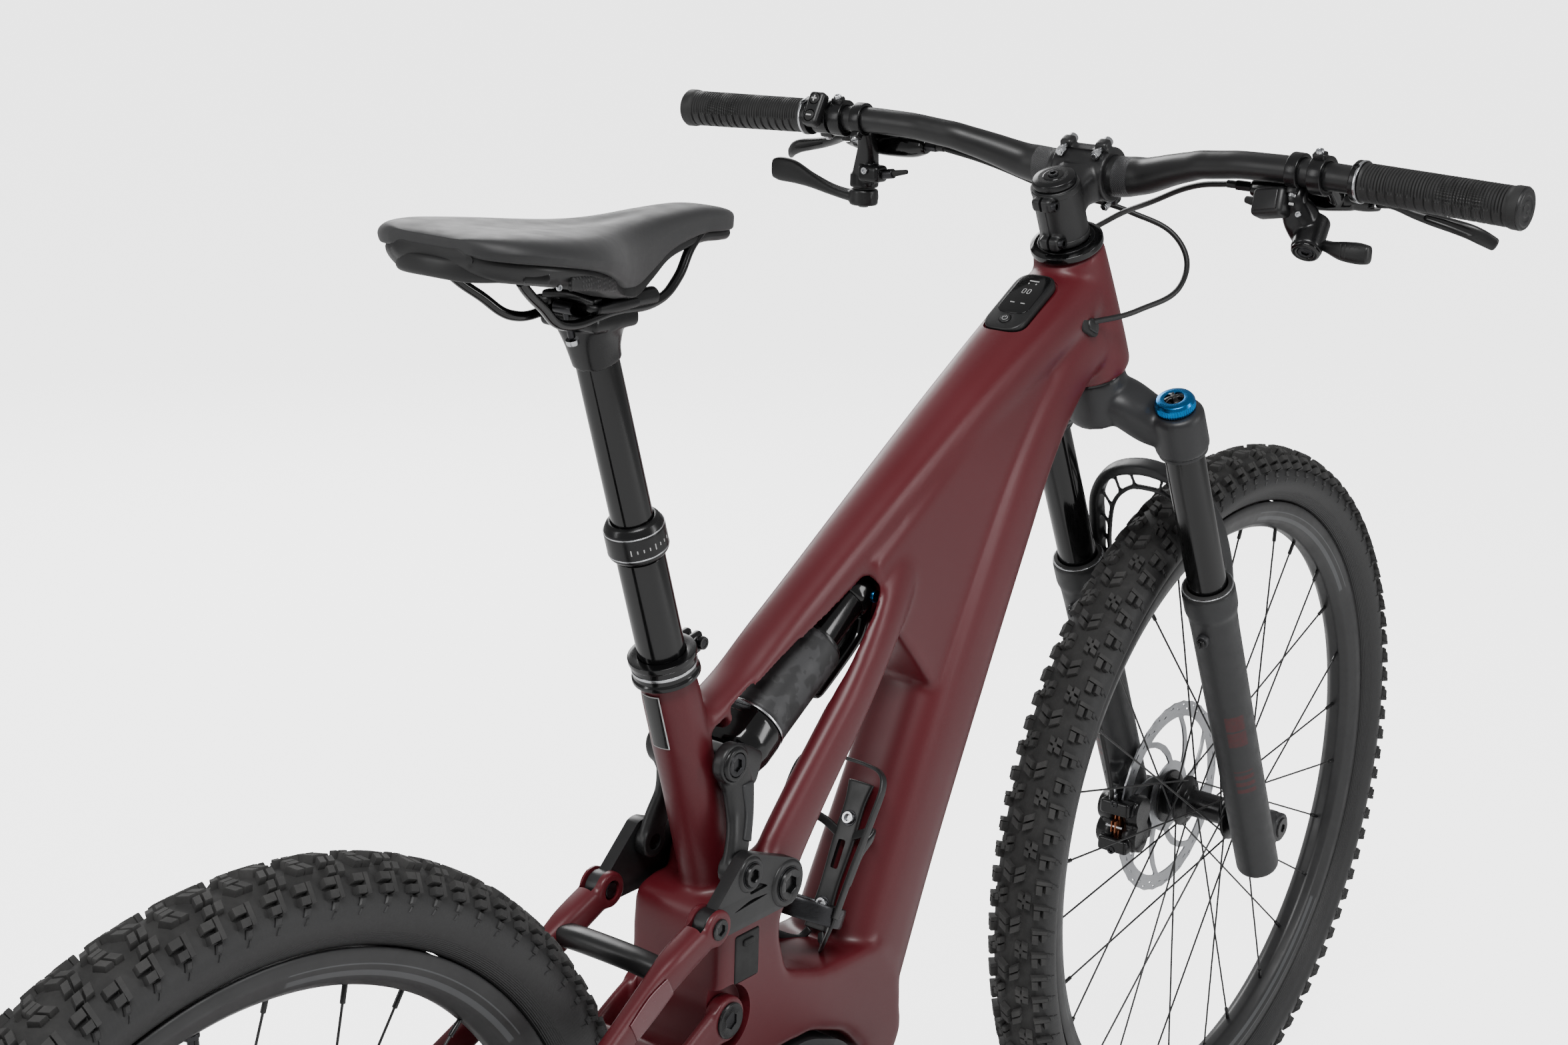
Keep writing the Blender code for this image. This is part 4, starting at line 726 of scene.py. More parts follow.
def frame_solids():
    """The frame's tubes and webs, as overlapping shapes still to be melted together."""
    head = [(574, 34, 34), (600, 34, 34), (640, 33, 33), (680, 31.5, 31.5), (HEAD_TOP, 30.5, 30.5)]
    top = [
        (-34, 0, 674, 17, 12), (4, 0, 693, 19, 14), (43, 0, 708, 21, 17), (81, 0, 730, 22, 19),
        (132, 0, 759, 23, 21), (240, 0, 820, 27, 25), (341, 0, 875, 31, 29), (430, 0, 921, 34, 32),
        (480, 0, 942, 33, 31), (505, 0, 950, 28, 26),
    ]
    down = [
        (520, 0, 916, 30, 34), (470, 0, 895, 33, 38), (430, 0, 860, 35, 39), (397, 0, 816, 36, 41),
        (369, 0, 768, 37, 43), (322, 0, 681, 38, 44.5), (245, 0, 533, 40, 46.5), (193, 0, 428, 43, 48),
        (172, 0, 385, 44, 48),
    ]
    arm = [
        (222, -22, 766, 9, 24), (188, -29, 726, 11, 21), (150, -33, 683, 11.5, 20),
        (117, -34, 648, 11.5, 21.5), (83, -34, 611, 11.5, 23.5), (53, -34, 573, 11, 26),
        (46, -33, 540, 11, 27),
    ]
    seat = [
        (0, 19.9, 19.9), (-18, 19.9, 19.9), (-30, 21.5, 21.5), (-60, 21.5, 22), (-120, 21, 23),
        (-200, 22, 26), (-235, 24, 28),
    ]
    bay = [(-64, 352), (-58, 388), (-30, 414), (20, 420), (95, 418), (140, 400), (168, 372), (170, 300)]
    rear = [(-18, 556), (-22, 540), (-22, 500), (-26, 486), (-24, 462), (-22, 440), (-56, 400), (-76, 352)]
    front = [(196, 330), (222, 372), (216, 420), (186, 462), (108, 466), (62, 482), (50, 520), (58, 545)]
    gusset = [
        (172, 775), (200, 724), (232, 690), (276, 640), (330, 700), (400, 820), (430, 880), (400, 895),
        (300, 850),
    ]
    rocker = HINGE["rocker_pivot"]
    x, z = (rocker.x - GROUND.x) / MM, rocker.z / MM
    return [
        swept("head_tube", [(steer(s), w, d) for s, w, d in head], count=64),
        swept("top_tube", tube_stations(top), power=2.5, count=64),
        swept("down_tube", tube_stations(down), power=2.8, count=64),
        swept("arm", tube_stations(arm), power=2.5, count=48),
        swept("seat_tube", [(post(s), w, d) for s, w, d in seat], count=48),
        plate("web", [rounded(rear + bay + front + [(10, 562)], 9)], -44, 44, 8, 4),
        plate("gusset", [rounded(gusset, 12)], -30, 30, 10, 4),
        plate("ear", [circle(x, z, 19)], 18, 45.5, 2),
        plate("rib", [[(10, 530), (62, 530), (58, 560), (20, 565)]], 18, 44, 4),
        pin("boss", rocker, 19, -45.5, -20, soft=2),
    ]


def shock_tunnel():
    stations = [
        (shock(224, -22), 37, 45), (shock(196, -22), 37, 45), (shock(188, -20), 30, 49),
        (shock(60, -14), 30, 40), (shock(-12, -6), 24, 26), (shock(-22, -4), 14, 14),
    ]
    return swept("tunnel", stations, power=2.6, count=48, per=4)


def display_axes():
    slope = math.radians(30)
    along = Vector((math.cos(slope), 0, math.sin(slope)))
    return along, Vector((-along.z, 0, along.x))


def make_frame():
    """The main frame: one smoothed shell with the shock's tunnel, the bores and the rooms cut out."""
    shell = fused("frame_shell", frame_solids(), voxel=2.6, rounds=14)
    shell = drilled(shell, [shock_tunnel()])
    shell = fused("frame_shell", [shell], voxel=2.2, rounds=8)
    main = HINGE["rear_suspension"]
    rocker = HINGE["rocker_pivot"]
    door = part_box("charge_door")
    middle = (door[0] + door[1]) / 2
    along, up = display_axes()
    cutters = [
        rod("steerer_bore", steer(560), steer(720), 24),
        rod("post_bore", post(-190), post(20), 17.9),
        pin("pivot_right", main, 27, -62, -33.5),
        pin("pivot_left", main, 27, 33.5, 62),
        pin("main_bore", main, 9.4, -62, 62),
        pin("rocker_right", rocker, 8.6, -62, -30),
        pin("rocker_left", rocker, 8.6, 30, 62),
        block("door_room", Vector((middle.x, -44 * MM, middle.z)), (29, 8, 39), 0, 2.5),
        rounded_slab("display_room", DISPLAY_MIDDLE + up * MM, along, up, 77, 40.5, 9, 17),
    ]
    shell = drilled(shell, cutters)
    shock_bolt = pin("bolt", SHOCK_EYE, 5, -27, 27)
    piece = merge("main_frame_shell", [paint(shell, "paint", 38), paint(shock_bolt, "dark_metal")])
    attach(piece, "frame", "main_frame")


def rounded_slab(name, centre, along, up, length, width, thickness, corner, edge=1.0):
    """A flat slab with round corners, lying square to the up direction."""
    half = (length / 2, width / 2)
    outline = rounded([(-half[0], -half[1]), (half[0], -half[1]), (half[0], half[1]), (-half[0], half[1])],
                      corner, 8)
    side = up.cross(along)
    rings = []
    for level in (-0.5, 0.5):
        rings.append([centre + (along * x + side * y + up * level * thickness) * MM for x, y in outline])
    return bevelled(loft(name, rings), edge, 3)


def ring_of(name, centre, axis, inner, outer, low, high, material, soft=0.5, steps=64):
    """A flat-sided ring about an axis, in one material."""
    profile = [(outer, high), (outer, low), (inner, low), (inner, high)]
    return paint(turned(name, centre, axis, profile, steps, soft), material)


def make_display():
    """The display on the top tube with its white marks, and the cap and sign of its power button."""
    along, up = display_axes()
    centre = DISPLAY_MIDDLE + up * MM
    side = up.cross(along)
    body = rounded_slab("body", centre - up * 0.4 * MM, along, up, 73, 37, 7.2, 15, 1.6)
    glass = rounded_slab("glass", centre + along * 9 * MM + up * 3.3 * MM, along, up, 50, 29, 0.9, 9, 0.4)
    switch = centre - along * 24 * MM
    body = drilled(body, [rod("room", switch + up * 2.6 * MM, switch + up * 9 * MM, 5.5)])
    parts = [paint(body, "plastic"), paint(glass, "gloss")]
    top = centre + up * 3.8 * MM
    marks = [(26, 0, 9, 1.2), (22.5, -3.5, 1, 1.6), (22.5, 3.5, 1, 1.6), (-3, -5, 4, 1), (-3, 5, 4, 1)]
    for digit in (-2.4, 2.4):
        marks += [(15.2, digit, 2.2, 0.6), (9.8, digit, 2.2, 0.6)]
        marks += [(12.5, digit - 1.3, 0.6, 4.6), (12.5, digit + 1.3, 0.6, 4.6)]
    for ahead, left, wide, deep in marks:
        place = top + (along * ahead + side * left) * MM
        mark = block("mark", place, (deep, wide, 0.15), 30, 0.05, 1)
        parts.append(paint(mark, "white"))
    attach(merge("display", parts), "frame", "display_unit")

    button_at = switch + up * 3.9 * MM
    cap = turned("cap", button_at, up, [(0, 0.3), (4.2, 0.2), (4.9, -0.4), (4.9, -2.2), (0, -2.2)], 48, 0.3)
    arc = [(2.3 * math.sin(a), 2.3 * math.cos(a)) for a in [math.radians(35 + 29 * k) for k in range(11)]]
    arc = hose("arc", [button_at + (along * y + side * x + up * 0.28) * MM for x, y in arc], 0.22, 3)
    stroke = hose("stroke", [button_at + (along * y + up * 0.28) * MM for y in (0.8, 2.9)], 0.22, 2)
    parts = [paint(cap, "plastic"), paint(arc, "white"), paint(stroke, "white")]
    attach(merge("power_button_cap", parts), "power_button", "power_button")


def make_ports():
    """Rubber plugs where the hoses enter the head of the frame."""
    for side, tag in zip(SIDES, TAGS):
        centre = at(470, 31.5 * side, 924)
        out = Vector((0.34, side, 0.12)).normalized()
        along = Vector((0.9, 0, -0.42))
        plug = rounded_slab("plug", centre, along, out, 30, 17, 5, 8, 1.6)
        lip = rounded_slab("lip", centre + out * 2.6 * MM + along * 3 * MM, along, out, 17, 11, 3.2, 5, 1.2)
        attach(merge("cable_port_" + tag, [paint(plug, "rubber"), paint(lip, "plastic")]), "frame",
               slot="plastic_black")


def make_head_fittings():
    """The rings on top of the head tube, and the seat clamp with its ears and screw."""
    low = [(31.2, 7), (31.2, 2), (30.2, 0.4), (24, 0.4), (24, 8), (27.5, 8)]
    cup = paint(turned("cup", steer(HEAD_TOP), STEER_UP, low, 96, 0.6), "gloss")
    thin = ring_of("thin", steer(HEAD_TOP), STEER_UP, 20.4, 24.6, 3, 8.6, "anodised_black")
    attach(merge("headset_ring", [cup, thin]), "frame", "headset_cup")

    bore = 17.8
    collar = [(25.2, 3), (25.2, -1), (23.8, -2.2), (23.8, -12), (25.2, -13.4), (25.2, -16.5), (20.3, -16.5),
              (20.3, 0.3)]
    collar += [(bore, 0.3), (bore, 3)]
    collar = paint(turned("collar", post(0), POST_UP, collar, 96, 0.5), "gloss")
    line = ring_of("line", post(0), POST_UP, 23, 24.3, -8.4, -6.2, "silver", 0.2)
    ears = []
    for gap in (-5, 5):
        ear = block("ear", post(-7, 30, gap), (13, 7, 15),
                    math.degrees(math.atan2(POST_AHEAD.z, POST_AHEAD.x)), 2.5, 4)
        ears.append(paint(ear, "gloss"))
    screw = rod("screw", post(-7, 31.5, -12), post(-7, 31.5, 12), 3.1)
    head = bolt("head", post(-7, 31.5, -8), -Y_AXIS, 5, 4.4, "gloss")
    attach(merge("seat_collar", [collar, line, paint(screw, "dark_metal"), head] + ears), "frame",
           "seat_clamp")


def make_cage():
    """The bottle cage on the down tube: a base plate, a thin hoop, two straps, two stays and a cup band."""
    along = Vector((0.455, 0, 0.89))
    out = Vector((-0.89, 0, 0.455))
    foot = at(174, 0, 500)

    def cage(up, away, side):
        return foot + (along * up + out * away + Y_AXIS * side) * MM

    widths = ((-34, 11), (0, 8.5), (40, 10), (70, 9.5), (88, 12))
    base = swept("base", [(cage(u, 4, 0), w, 2.2) for u, w in widths], Y_AXIS, 5.0, 32, 8, 1.0)
    base = drilled(base, [block("slot", cage(28, 4, 0), (40, 7, 24), 0, 1.5, 2, axes(out, along))])
    parts = [base]
    half = [(-20, 45, 39.6), (20, 44, 41), (62, 41, 42.5), (88, 38, 41.6), (99, 36, 34), (102, 35, 18)]
    hoop = [(u, a, -s) for u, a, s in half] + [(102.4, 35, 0)] + half[::-1]
    parts.append(swept("hoop", [(cage(u, a, s), 3.8, 1.5) for u, a, s in hoop], out, 4.0, 24, 6, 0.8))
    for side in SIDES:
        strap = [(44, 4, 6), (52, 10, 24), (50, 24, 37.6), (34, 38, 40.2), (8, 43, 40.6)]
        parts.append(swept("strap", [(cage(u, a, s * side), 3.6, 1.5) for u, a, s in strap], along, 4.0, 24,
                           6, 0.8))
        stay = [(-20, 45, 39), (-38, 40, 34), (-46, 26, 24), (-46, 8, 12), (-36, 4, 6)]
        parts.append(swept("stay", [(cage(u, a, s * side), 3.0, 1.5) for u, a, s in stay], along, 4.0, 24, 6,
                           0.8))
    cup = []
    for k in range(37):
        angle = math.pi * (0.06 + 1.88 * k / 36)
        cup.append((cage(-20, 42 - 38 * math.cos(angle), 38 * math.sin(angle)), 8.0, 1.4))
    parts = [paint(part, "satin") for part in parts]
    parts.append(paint(swept("cup", cup, along, 4.0, 20, 1, 0.8), "dark_metal"))
    for up in (58, -14):
        parts.append(bolt("bolt", cage(up, 6, 0), out, 5, 3.6, "silver"))
        parts.append(ring_of("washer", cage(up, 5.6, 0), out, 2.4, 6.6, 0, 1, "dark_metal", 0.2, 40))
    attach(merge("cage", parts), "frame", "bottle_cage")


def make_seat_label():
    """The dark panel on the rear of the seat tube, with a thin pale border."""
    parts = []
    for name, reach, wide, long, material in (
        ("rim", 21.7, 15.4, 45, "white"), ("panel", 21.95, 13.8, 43.4, "gloss"),
    ):
        bm = bmesh.new()
        grid = []
        for i in range(11):
            turn = (i / 10 - 0.5) * wide / reach
            row = []
            for k in range(13):
                height = -45 + (k / 12 - 0.5) * long
                swell = 0.35 * (-30 - height) / 30
                out = reach + max(-0.35, min(0.5, swell))
                row.append(bm.verts.new(post(height, -out * math.cos(turn), out * math.sin(turn))))
            grid.append(row)
        for i in range(10):
            for k in range(12):
                bm.faces.new((grid[i][k], grid[i + 1][k], grid[i + 1][k + 1], grid[i][k + 1]))
        panel = from_bmesh(name, bm)
        thick = panel.modifiers.new("thick", "SOLIDIFY")
        thick.thickness = 0.5 * MM
        thick.offset = 0
        parts.append(paint(baked(panel), material))
    attach(merge("seat_tube_panel", parts), "frame", slot="display")


def make_motor():
    """The motor's body with its covers, screws and ribs, and the flap over the charge socket."""
    bay = [(-60, 346), (-55, 384), (-28, 409), (20, 415), (93, 413), (136, 396), (162, 370), (164, 304)]
    body = plate("motor", [rounded(bay + [(150, 300), (60, 290), (-30, 295), (-56, 320)], 12)], -43, 43, 6,
                 4)
    parts = [paint(body, "charcoal")]
    for side in SIDES:
        cover = [(13, 40), (44, 40), (44, 43.6), (38, 46), (17, 46), (13, 45)]
        parts.append(paint(turned("cover", CRANK, Y_AXIS * side, cover, 96, 1.2), "cast"))
        for x, z in ((-44, 352), (-24, 402), (60, 405), (128, 388), (148, 322), (60, 304), (-30, 308)):
            parts.append(bolt("screw", at(x, 42.5 * side, z), Y_AXIS * side, 4.2, 2.4, "dark_metal"))
        for k in range(6):
            rib = block("rib", at(84 + 9 * k, 43 * side, 345), (3, 2.6, 54 - 4 * k), 8, 1.1, 2)
            parts.append(paint(rib, "cast"))
    attach(merge("motor", parts), "frame", "motor_unit")

    low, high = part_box("charge_door")
    middle = (low + high) / 2
    size = (high - low) / MM
    flap = block("flap", middle, tuple(size), 0, 1.4, 4)
    pull = block("pull", Vector((middle.x, low.y - 0.6 * MM, high.z - 7 * MM)), (12, 2.4, 5), 0, 1.1, 3)
    hinge = rod("hinge", Vector((low.x + 3 * MM, middle.y, low.z + 2 * MM)),
                Vector((high.x - 3 * MM, middle.y, low.z + 2 * MM)), 2)
    flap = merge("charge_flap", [paint(flap, "rubber"), paint(pull, "rubber"), paint(hinge, "plastic")])
    attach(flap, "charge_door", "charge_door")


# ---------------------------------------------------------------- tyres and wheels

# FLANGES holds the places of a hub's right and left flanges and their radius; ROTOR_LINE and HUB_END are
# distances from the middle of the wheel.
AXLES = {"front": HINGE["front_wheel_spin"], "rear": HINGE["rear_wheel_spin"]}
RIM_RADIUS = {"front": 318, "rear": 299}
TYRE_RADIUS = {"front": 373, "rear": 356}
HALF_WIDTH = {"front": 33, "rear": 32}
SPOKES = 28
FLANGES = {"front": (-30, 24, 26), "rear": (-15, 32, 27)}
ROTOR_LINE = {"front": 44, "rear": 58}
HUB_END = {"front": 54.8, "rear": 73.8}
KNOB_HEIGHT = {"front": 5.8, "rear": 5.2}


class Tread:
    """Places rubber blocks on the crown of one tyre."""

    def __init__(self, end):
        self.axle = AXLES[end]
        self.tyre = TYRE_RADIUS[end]
        self.wide = HALF_WIDTH[end] - 3
        self.crown = 27 if end == "front" else 26
        self.middle = self.tyre - KNOB_HEIGHT[end] - self.crown
        self.bm = bmesh.new()

    def point(self, turn, lean, height):
        """A point at an angle round the wheel, an angle over the tyre's section and a height above it."""
        y = self.wide * math.sin(lean)
        r = self.middle + self.crown * math.cos(lean)
        normal = Vector((math.sin(lean) / self.wide, math.cos(lean) / self.crown)).normalized()
        y += normal.x * height
        r += normal.y * height
        return self.axle + Vector((r * math.cos(turn), y, r * math.sin(turn))) * MM

    def knob(self, place, lean, long, wide, height, skew=0.0, taper=0.84):
        """A block with chamfered edges; place is the distance round the tread in millimetres."""
        layers = []
        for level, share in ((-1.2, 1.1), (height - 0.9, 0.98), (height, taper)):
            row = []
            for u, v in ((-1, -1), (1, -1), (1, 1), (-1, 1)):
                along = place + (u * long * share + skew * v * share) / 2
                over = math.radians(lean) + v * wide * share / 2 / (self.crown + 2)
                row.append(self.bm.verts.new(self.point(along / self.tyre, over, level)))
            layers.append(row)
        for low, high in zip(layers, layers[1:]):
            for i in range(4):
                j = (i + 1) % 4
                self.bm.faces.new((low[i], low[j], high[j], high[i]))
        self.bm.faces.new(layers[-1])
        self.bm.faces.new(list(reversed(layers[0])))

    def siped(self, place, lean, long, wide, height, skew=0.0, cut=1.1):
        """A knob split in two by a narrow cut across the rolling direction."""
        half = (long - cut) / 2
        for sign in (-1, 1):
            self.knob(place + sign * (half + cut) / 2, lean, half, wide, height, skew, 0.88)

    def carcass(self, rim):
        profile = []
        for k in range(41):
            lean = math.radians(-122 + 244 * k / 40)
            y = self.wide * math.sin(lean)
            r = self.middle + self.crown * math.cos(lean)
            if abs(lean) > math.pi / 2:
                low = (abs(lean) - math.pi / 2) / math.radians(32)
                r = self.middle - (self.middle - rim - 1.0) * low ** 1.15
                y = math.copysign(self.wide - (self.wide - 15.4) * low ** 2.0, lean)
            profile.append((r, y))
        inner = [(r - 3.2 if abs(y) < 15 else r, y * 0.86) for r, y in reversed(profile)]
        return turned("carcass", self.axle, Y_AXIS, profile + inner, 180, 0)


def side_knobs(tread, place, side, lean, height):
    """One knob at the edge of the tread: a spine with two fingers, and a low rib on the sidewall."""
    tread.knob(place - 5.2, lean * side, 4.0, 13.5, height, 2 * side, 0.92)
    tread.knob(place + 1.6, (lean - 7.6) * side, 9.2, 5.0, height, 1 * side, 0.92)
    tread.knob(place + 1.2, (lean + 7.2) * side, 8.0, 4.8, height - 0.3, 1 * side, 0.9)
    tread.knob(place - 1.0, (lean + 21) * side, 5.6, 5.4, 1.8, 2 * side, 0.6)
    tread.knob(place, (lean + 34) * side, 2.4, 6.0, 0.7, 3 * side, 0.5)


def front_tread(tread):
    pitches = 48
    height = KNOB_HEIGHT["front"]
    pitch = 2 * math.pi * tread.tyre / pitches
    for k in range(pitches):
        base = k * pitch
        for side in SIDES:
            tread.siped(base, 10.5 * side, 14.5, 7.4, height, -5 * side, 1.5)
            tread.siped(base + pitch / 2, 27.5 * side, 14, 5.0, height - 0.2, 2 * side, 1.8)
            tread.siped(base + pitch / 2, 16.5 * side, 14, 4.2, height - 0.2, 2 * side, 1.8)
            tread.knob(base + pitch / 2, 22 * side, 6, 3.4, height - 0.4)
            for step in (0.0, 0.5):
                side_knobs(tread, base + pitch * (step + 0.22), side, 51, height)


def rear_tread(tread):
    pitches = 46
    height = KNOB_HEIGHT["rear"]
    pitch = 2 * math.pi * tread.tyre / pitches
    for k in range(pitches):
        base = k * pitch
        for side in SIDES:
            tread.siped(base, 9.4 * side, 13, 7.0, height - 0.3, 4 * side, 1.4)
            tread.siped(base + pitch * 0.5, 15.5 * side, 13.5, 5.6, height - 0.1, -4 * side, 1.5)
            tread.knob(base + pitch * 0.5, 3.6 * side, 9.5, 3.4, height - 0.5)
            tread.siped(base + pitch * 0.02, 28.5 * side, 14, 6.0, height - 0.1, 3 * side, 1.6)
            for step in (0.0, 0.5):
                side_knobs(tread, base + pitch * (step + 0.22), side, 51, height)


def make_tyre(end, pattern):
    """A tyre: a smooth carcass with a block tread on it."""
    tread = Tread(end)
    pattern(tread)
    sizes = (AXLES[end], RIM_RADIUS[end], TYRE_RADIUS[end])
    # The knobs get the brighter copy of the rubber as painted light on their tops, and the carcass the
    # darker copy as painted shade in the ground between them.
    blocks = paint(from_bmesh("blocks", tread.bm), tyre_rubber(end + "_knob_rubber_painted_lit", *sizes, 2.3), 30)
    skin = paint(tread.carcass(RIM_RADIUS[end]), tyre_rubber(end + "_carcass_rubber_painted_shade", *sizes, 1.4), 60)
    attach(merge(end + "_tyre_tread", [skin, blocks]), end + "_wheel", end + "_tyre")


def make_rim(end):
    """A wheel's rim and its valve."""
    axle = AXLES[end]
    edge = RIM_RADIUS[end]
    half = [(edge + 0.2, 15.6), (edge + 0.2, 17.2), (edge - 3, 17.9), (edge - 10, 17.4), (edge - 22, 12.5),
            (edge - 28, 5.5)]
    profile = half + [(r, -w) for r, w in reversed(half)]
    profile += [(edge - 1, -15.2), (edge - 6, -10), (edge - 6, 10), (edge - 1, 15.2)]
    rim = paint(turned("rim", axle, Y_AXIS, profile, 180, 2.2), rim_carbon(axle, edge), 50)
    parts = [rim]
    turn = math.radians(97)
    out = Vector((math.cos(turn), 0, math.sin(turn)))
    foot = axle + out * (edge - 29) * MM
    parts.append(paint(rod("valve", foot, foot - out * 26 * MM, 2.6, tip=2.3), "dark_metal"))
    parts.append(paint(rod("cap", foot - out * 24 * MM, foot - out * 38 * MM, 3.1, tip=2.4), "plastic"))
    nut = turned("nut", foot, -out, [(0, -1), (6, -1), (6, 2.4), (0, 2.4)], 36, 0.4)
    parts.append(paint(nut, "dark_metal"))
    attach(merge(end + "_rim_hoop", parts), end + "_wheel", end + "_rim")


def make_hub(end):
    """A wheel's hub and its crossed spokes with their nipples."""
    axle = AXLES[end]
    right, left, flange = FLANGES[end]
    seat = ROTOR_LINE[end] - 1.4
    tip = HUB_END[end]
    if end == "front":
        shell = [(8, -tip), (11, -tip), (11, -tip + 6), (9.6, -tip + 7), (9.6, right - 9), (15, right - 7)]
    else:
        shell = [(8, right - 1.6)]
    shell += [(flange, right - 1.6), (flange, right + 1.6), (17, right + 4), (14, right + 9), (14, left - 9),
              (17, left - 5)]
    shell += [(flange, left - 1.6), (flange, left + 1.6), (19, left + 5), (19, seat), (9.6, seat),
              (9.6, tip - 7)]
    shell += [(11, tip - 6), (11, tip), (8, tip)]
    body = turned("body", axle, Y_AXIS, shell, 84, 1.2)
    parts = [paint(body, "anodised_black")]
    turn = 2 * math.pi / SPOKES
    inner = flange - 3
    outer = RIM_RADIUS[end] - 29
    for index in range(SPOKES):
        side = (left, right)[index % 2]
        trailing = 1 if (index // 2) % 2 else -1
        rim_angle = turn * (index + 0.5)
        hub_angle = rim_angle + trailing * turn * 5.2
        offset = 1.9 * trailing
        start = axle + Vector((inner * math.cos(hub_angle), side + offset, inner * math.sin(hub_angle))) * MM
        stop = axle + Vector((outer * math.cos(rim_angle), 0.12 * side, outer * math.sin(rim_angle))) * MM
        line = (stop - start).normalized()
        parts.append(paint(rod("spoke", start, stop, 0.95, 10, 0), "satin", 60))
        parts.append(paint(rod("nipple", stop - line * 12 * MM, stop + line * 2 * MM, 1.9, 14, 0.3),
                           "anodised_black"))
        head = start + Y_AXIS * (-2 * offset * MM)
        parts.append(paint(rod("head", start, head, 1.5, 12, 0.3), "silver"))
    attach(merge(end + "_hub_and_spokes", parts), end + "_wheel", end + "_hub")


def make_rotor(end):
    """A wheel's brake disc with its slots, arms, carrier and bolts."""
    axle = AXLES[end]
    x0 = (axle.x - GROUND.x) / MM
    z0 = axle.z / MM
    line = ROTOR_LINE[end]

    def around(radius, angle):
        return (x0 + radius * math.cos(angle), z0 + radius * math.sin(angle))

    edge = [around(100 - 0.9 * abs(math.sin(16 * math.pi * i / 256 * 2)), 2 * math.pi * i / 256)
            for i in range(256)]
    outlines = [edge, [around(19.4, 2 * math.pi * i / 48) for i in range(48)]]
    arms = 8
    for index in range(arms):
        start = 2 * math.pi * index / arms
        width = 2 * math.pi / arms

        def slant(radius):
            return 0.62 * (radius - 36) / 48

        low = [around(37, start + 0.10 + slant(37) + (width - 0.2) * k / 6) for k in range(7)]
        high = [around(84, start + width - 0.045 + slant(84) - (width - 0.09) * k / 8) for k in range(9)]
        up_side = [around(r, start + width - 0.045 - 0.055 * (84 - r) / 47 + slant(r)) for r in (48, 60, 72)]
        down_side = [around(r, start + 0.045 + 0.055 * (84 - r) / 47 + slant(r)) for r in (72, 60, 48)]
        outlines.append(rounded(low + up_side + high + down_side, 3, 2))
        for ring, shift, long in ((96, 0.04, 0.07), (92.5, 0.2, 0.055), (96, 0.33, 0.05), (91.5, 0.46, 0.07),
                                  (96, 0.56, 0.06), (92.5, 0.69, 0.05)):
            a = start + shift
            slot = [around(ring + 0.9, a), around(ring + 0.9, a + long), around(ring - 0.9, a + long),
                    around(ring - 0.9, a)]
            outlines.append(rounded(slot, 0.8, 3))
    disc = paint(plate("disc", outlines, line - 0.95, line + 0.95, 0.15, 1),
                 brushed(end + "_rotor_steel", axle, (0.5, 0.51, 0.53)))
    carrier = [(10.4, -3.2), (27, -3.2), (27, -1.0), (32, -0.6), (32, 1.2), (20, 1.6), (20, 3.6),
               (10.4, 3.6)]
    middle = axle + Y_AXIS * line * MM
    ring = turned("carrier", middle, Y_AXIS, carrier, 72, 0.4)
    parts = [disc, paint(ring, "anodised_black")]
    for k in range(6):
        angle = math.pi * (k + 0.5) / 3
        place = middle + Vector((24 * math.cos(angle), 1.4, 24 * math.sin(angle))) * MM
        parts.append(bolt("rotor_bolt", place, Y_AXIS, 3.4, 2.2, "dark_metal"))
    attach(merge(end + "_rotor_disc", parts), end + "_wheel", end + "_rotor")


# ---------------------------------------------------------------- fork


def make_crown():
    """The fork's crown, both stanchions, the steerer and the cap of the air leg."""
    parts = [swept("hub", [(steer(s), r, r) for s, r in ((526, 27), (534, 30), (556, 29), (571, 27))],
                   count=48)]
    for side in SIDES:
        shoulder = [
            (steer(548, 0, 0), 24, 18), (steer(540, 3, 24 * side), 23, 18),
            (steer(520, 9, 46 * side), 21.5, 18), (steer(514, LEG_AHEAD, (LEG_SIDE - 4) * side), 22, 19),
        ]
        parts.append(swept("shoulder", shoulder, STEER_AHEAD, 2.6, 40))
        top = 533 if side < 0 else 540
        cap = [(0, top), (20.5, top), (24, top - 4), (24.2, 494), (22.4, 491), (0, 491)]
        parts.append(turned("socket", leg_at(side), STEER_UP, cap, 48, 2))
    body = fused("crown", parts, 1.6, 10)
    pieces = [paint(body, "charcoal", 60)]
    for side in SIDES:
        leg = leg_at(side)
        tube = [(0, 494), (18, 494), (18, 192), (16, 190), (0, 190)]
        pieces.append(paint(turned("stanchion", leg, STEER_UP, tube, 72, 0.4), "gloss"))
        lip = [(18.2, 488.6), (22.2, 488.6), (22.2, 492), (18.2, 492)]
        pieces.append(paint(turned("lip", leg, STEER_UP, lip, 64, 0.6), "charcoal"))
    steerer = [(14.4, 762), (14.4, 561), (12, 561), (12, 762)]
    pieces.append(paint(turned("steerer", steer(0), STEER_UP, steerer, 64, 0.4), "satin"))
    race = [(14.5, 571), (27.8, 571), (27, 573.6), (14.5, 573.6)]
    pieces.append(paint(turned("race", steer(0), STEER_UP, race, 64, 0.4), "gloss"))
    air_cap = [(0, 540), (15, 540), (15, 543), (12.5, 545), (0, 545)]
    left_leg = leg_at(1)
    pieces.append(paint(turned("air_cap", left_leg, STEER_UP, air_cap, 64, 0.5), "anodised_black"))
    attach(merge("crown_and_stanchions", pieces), "steering", "fork_crown")


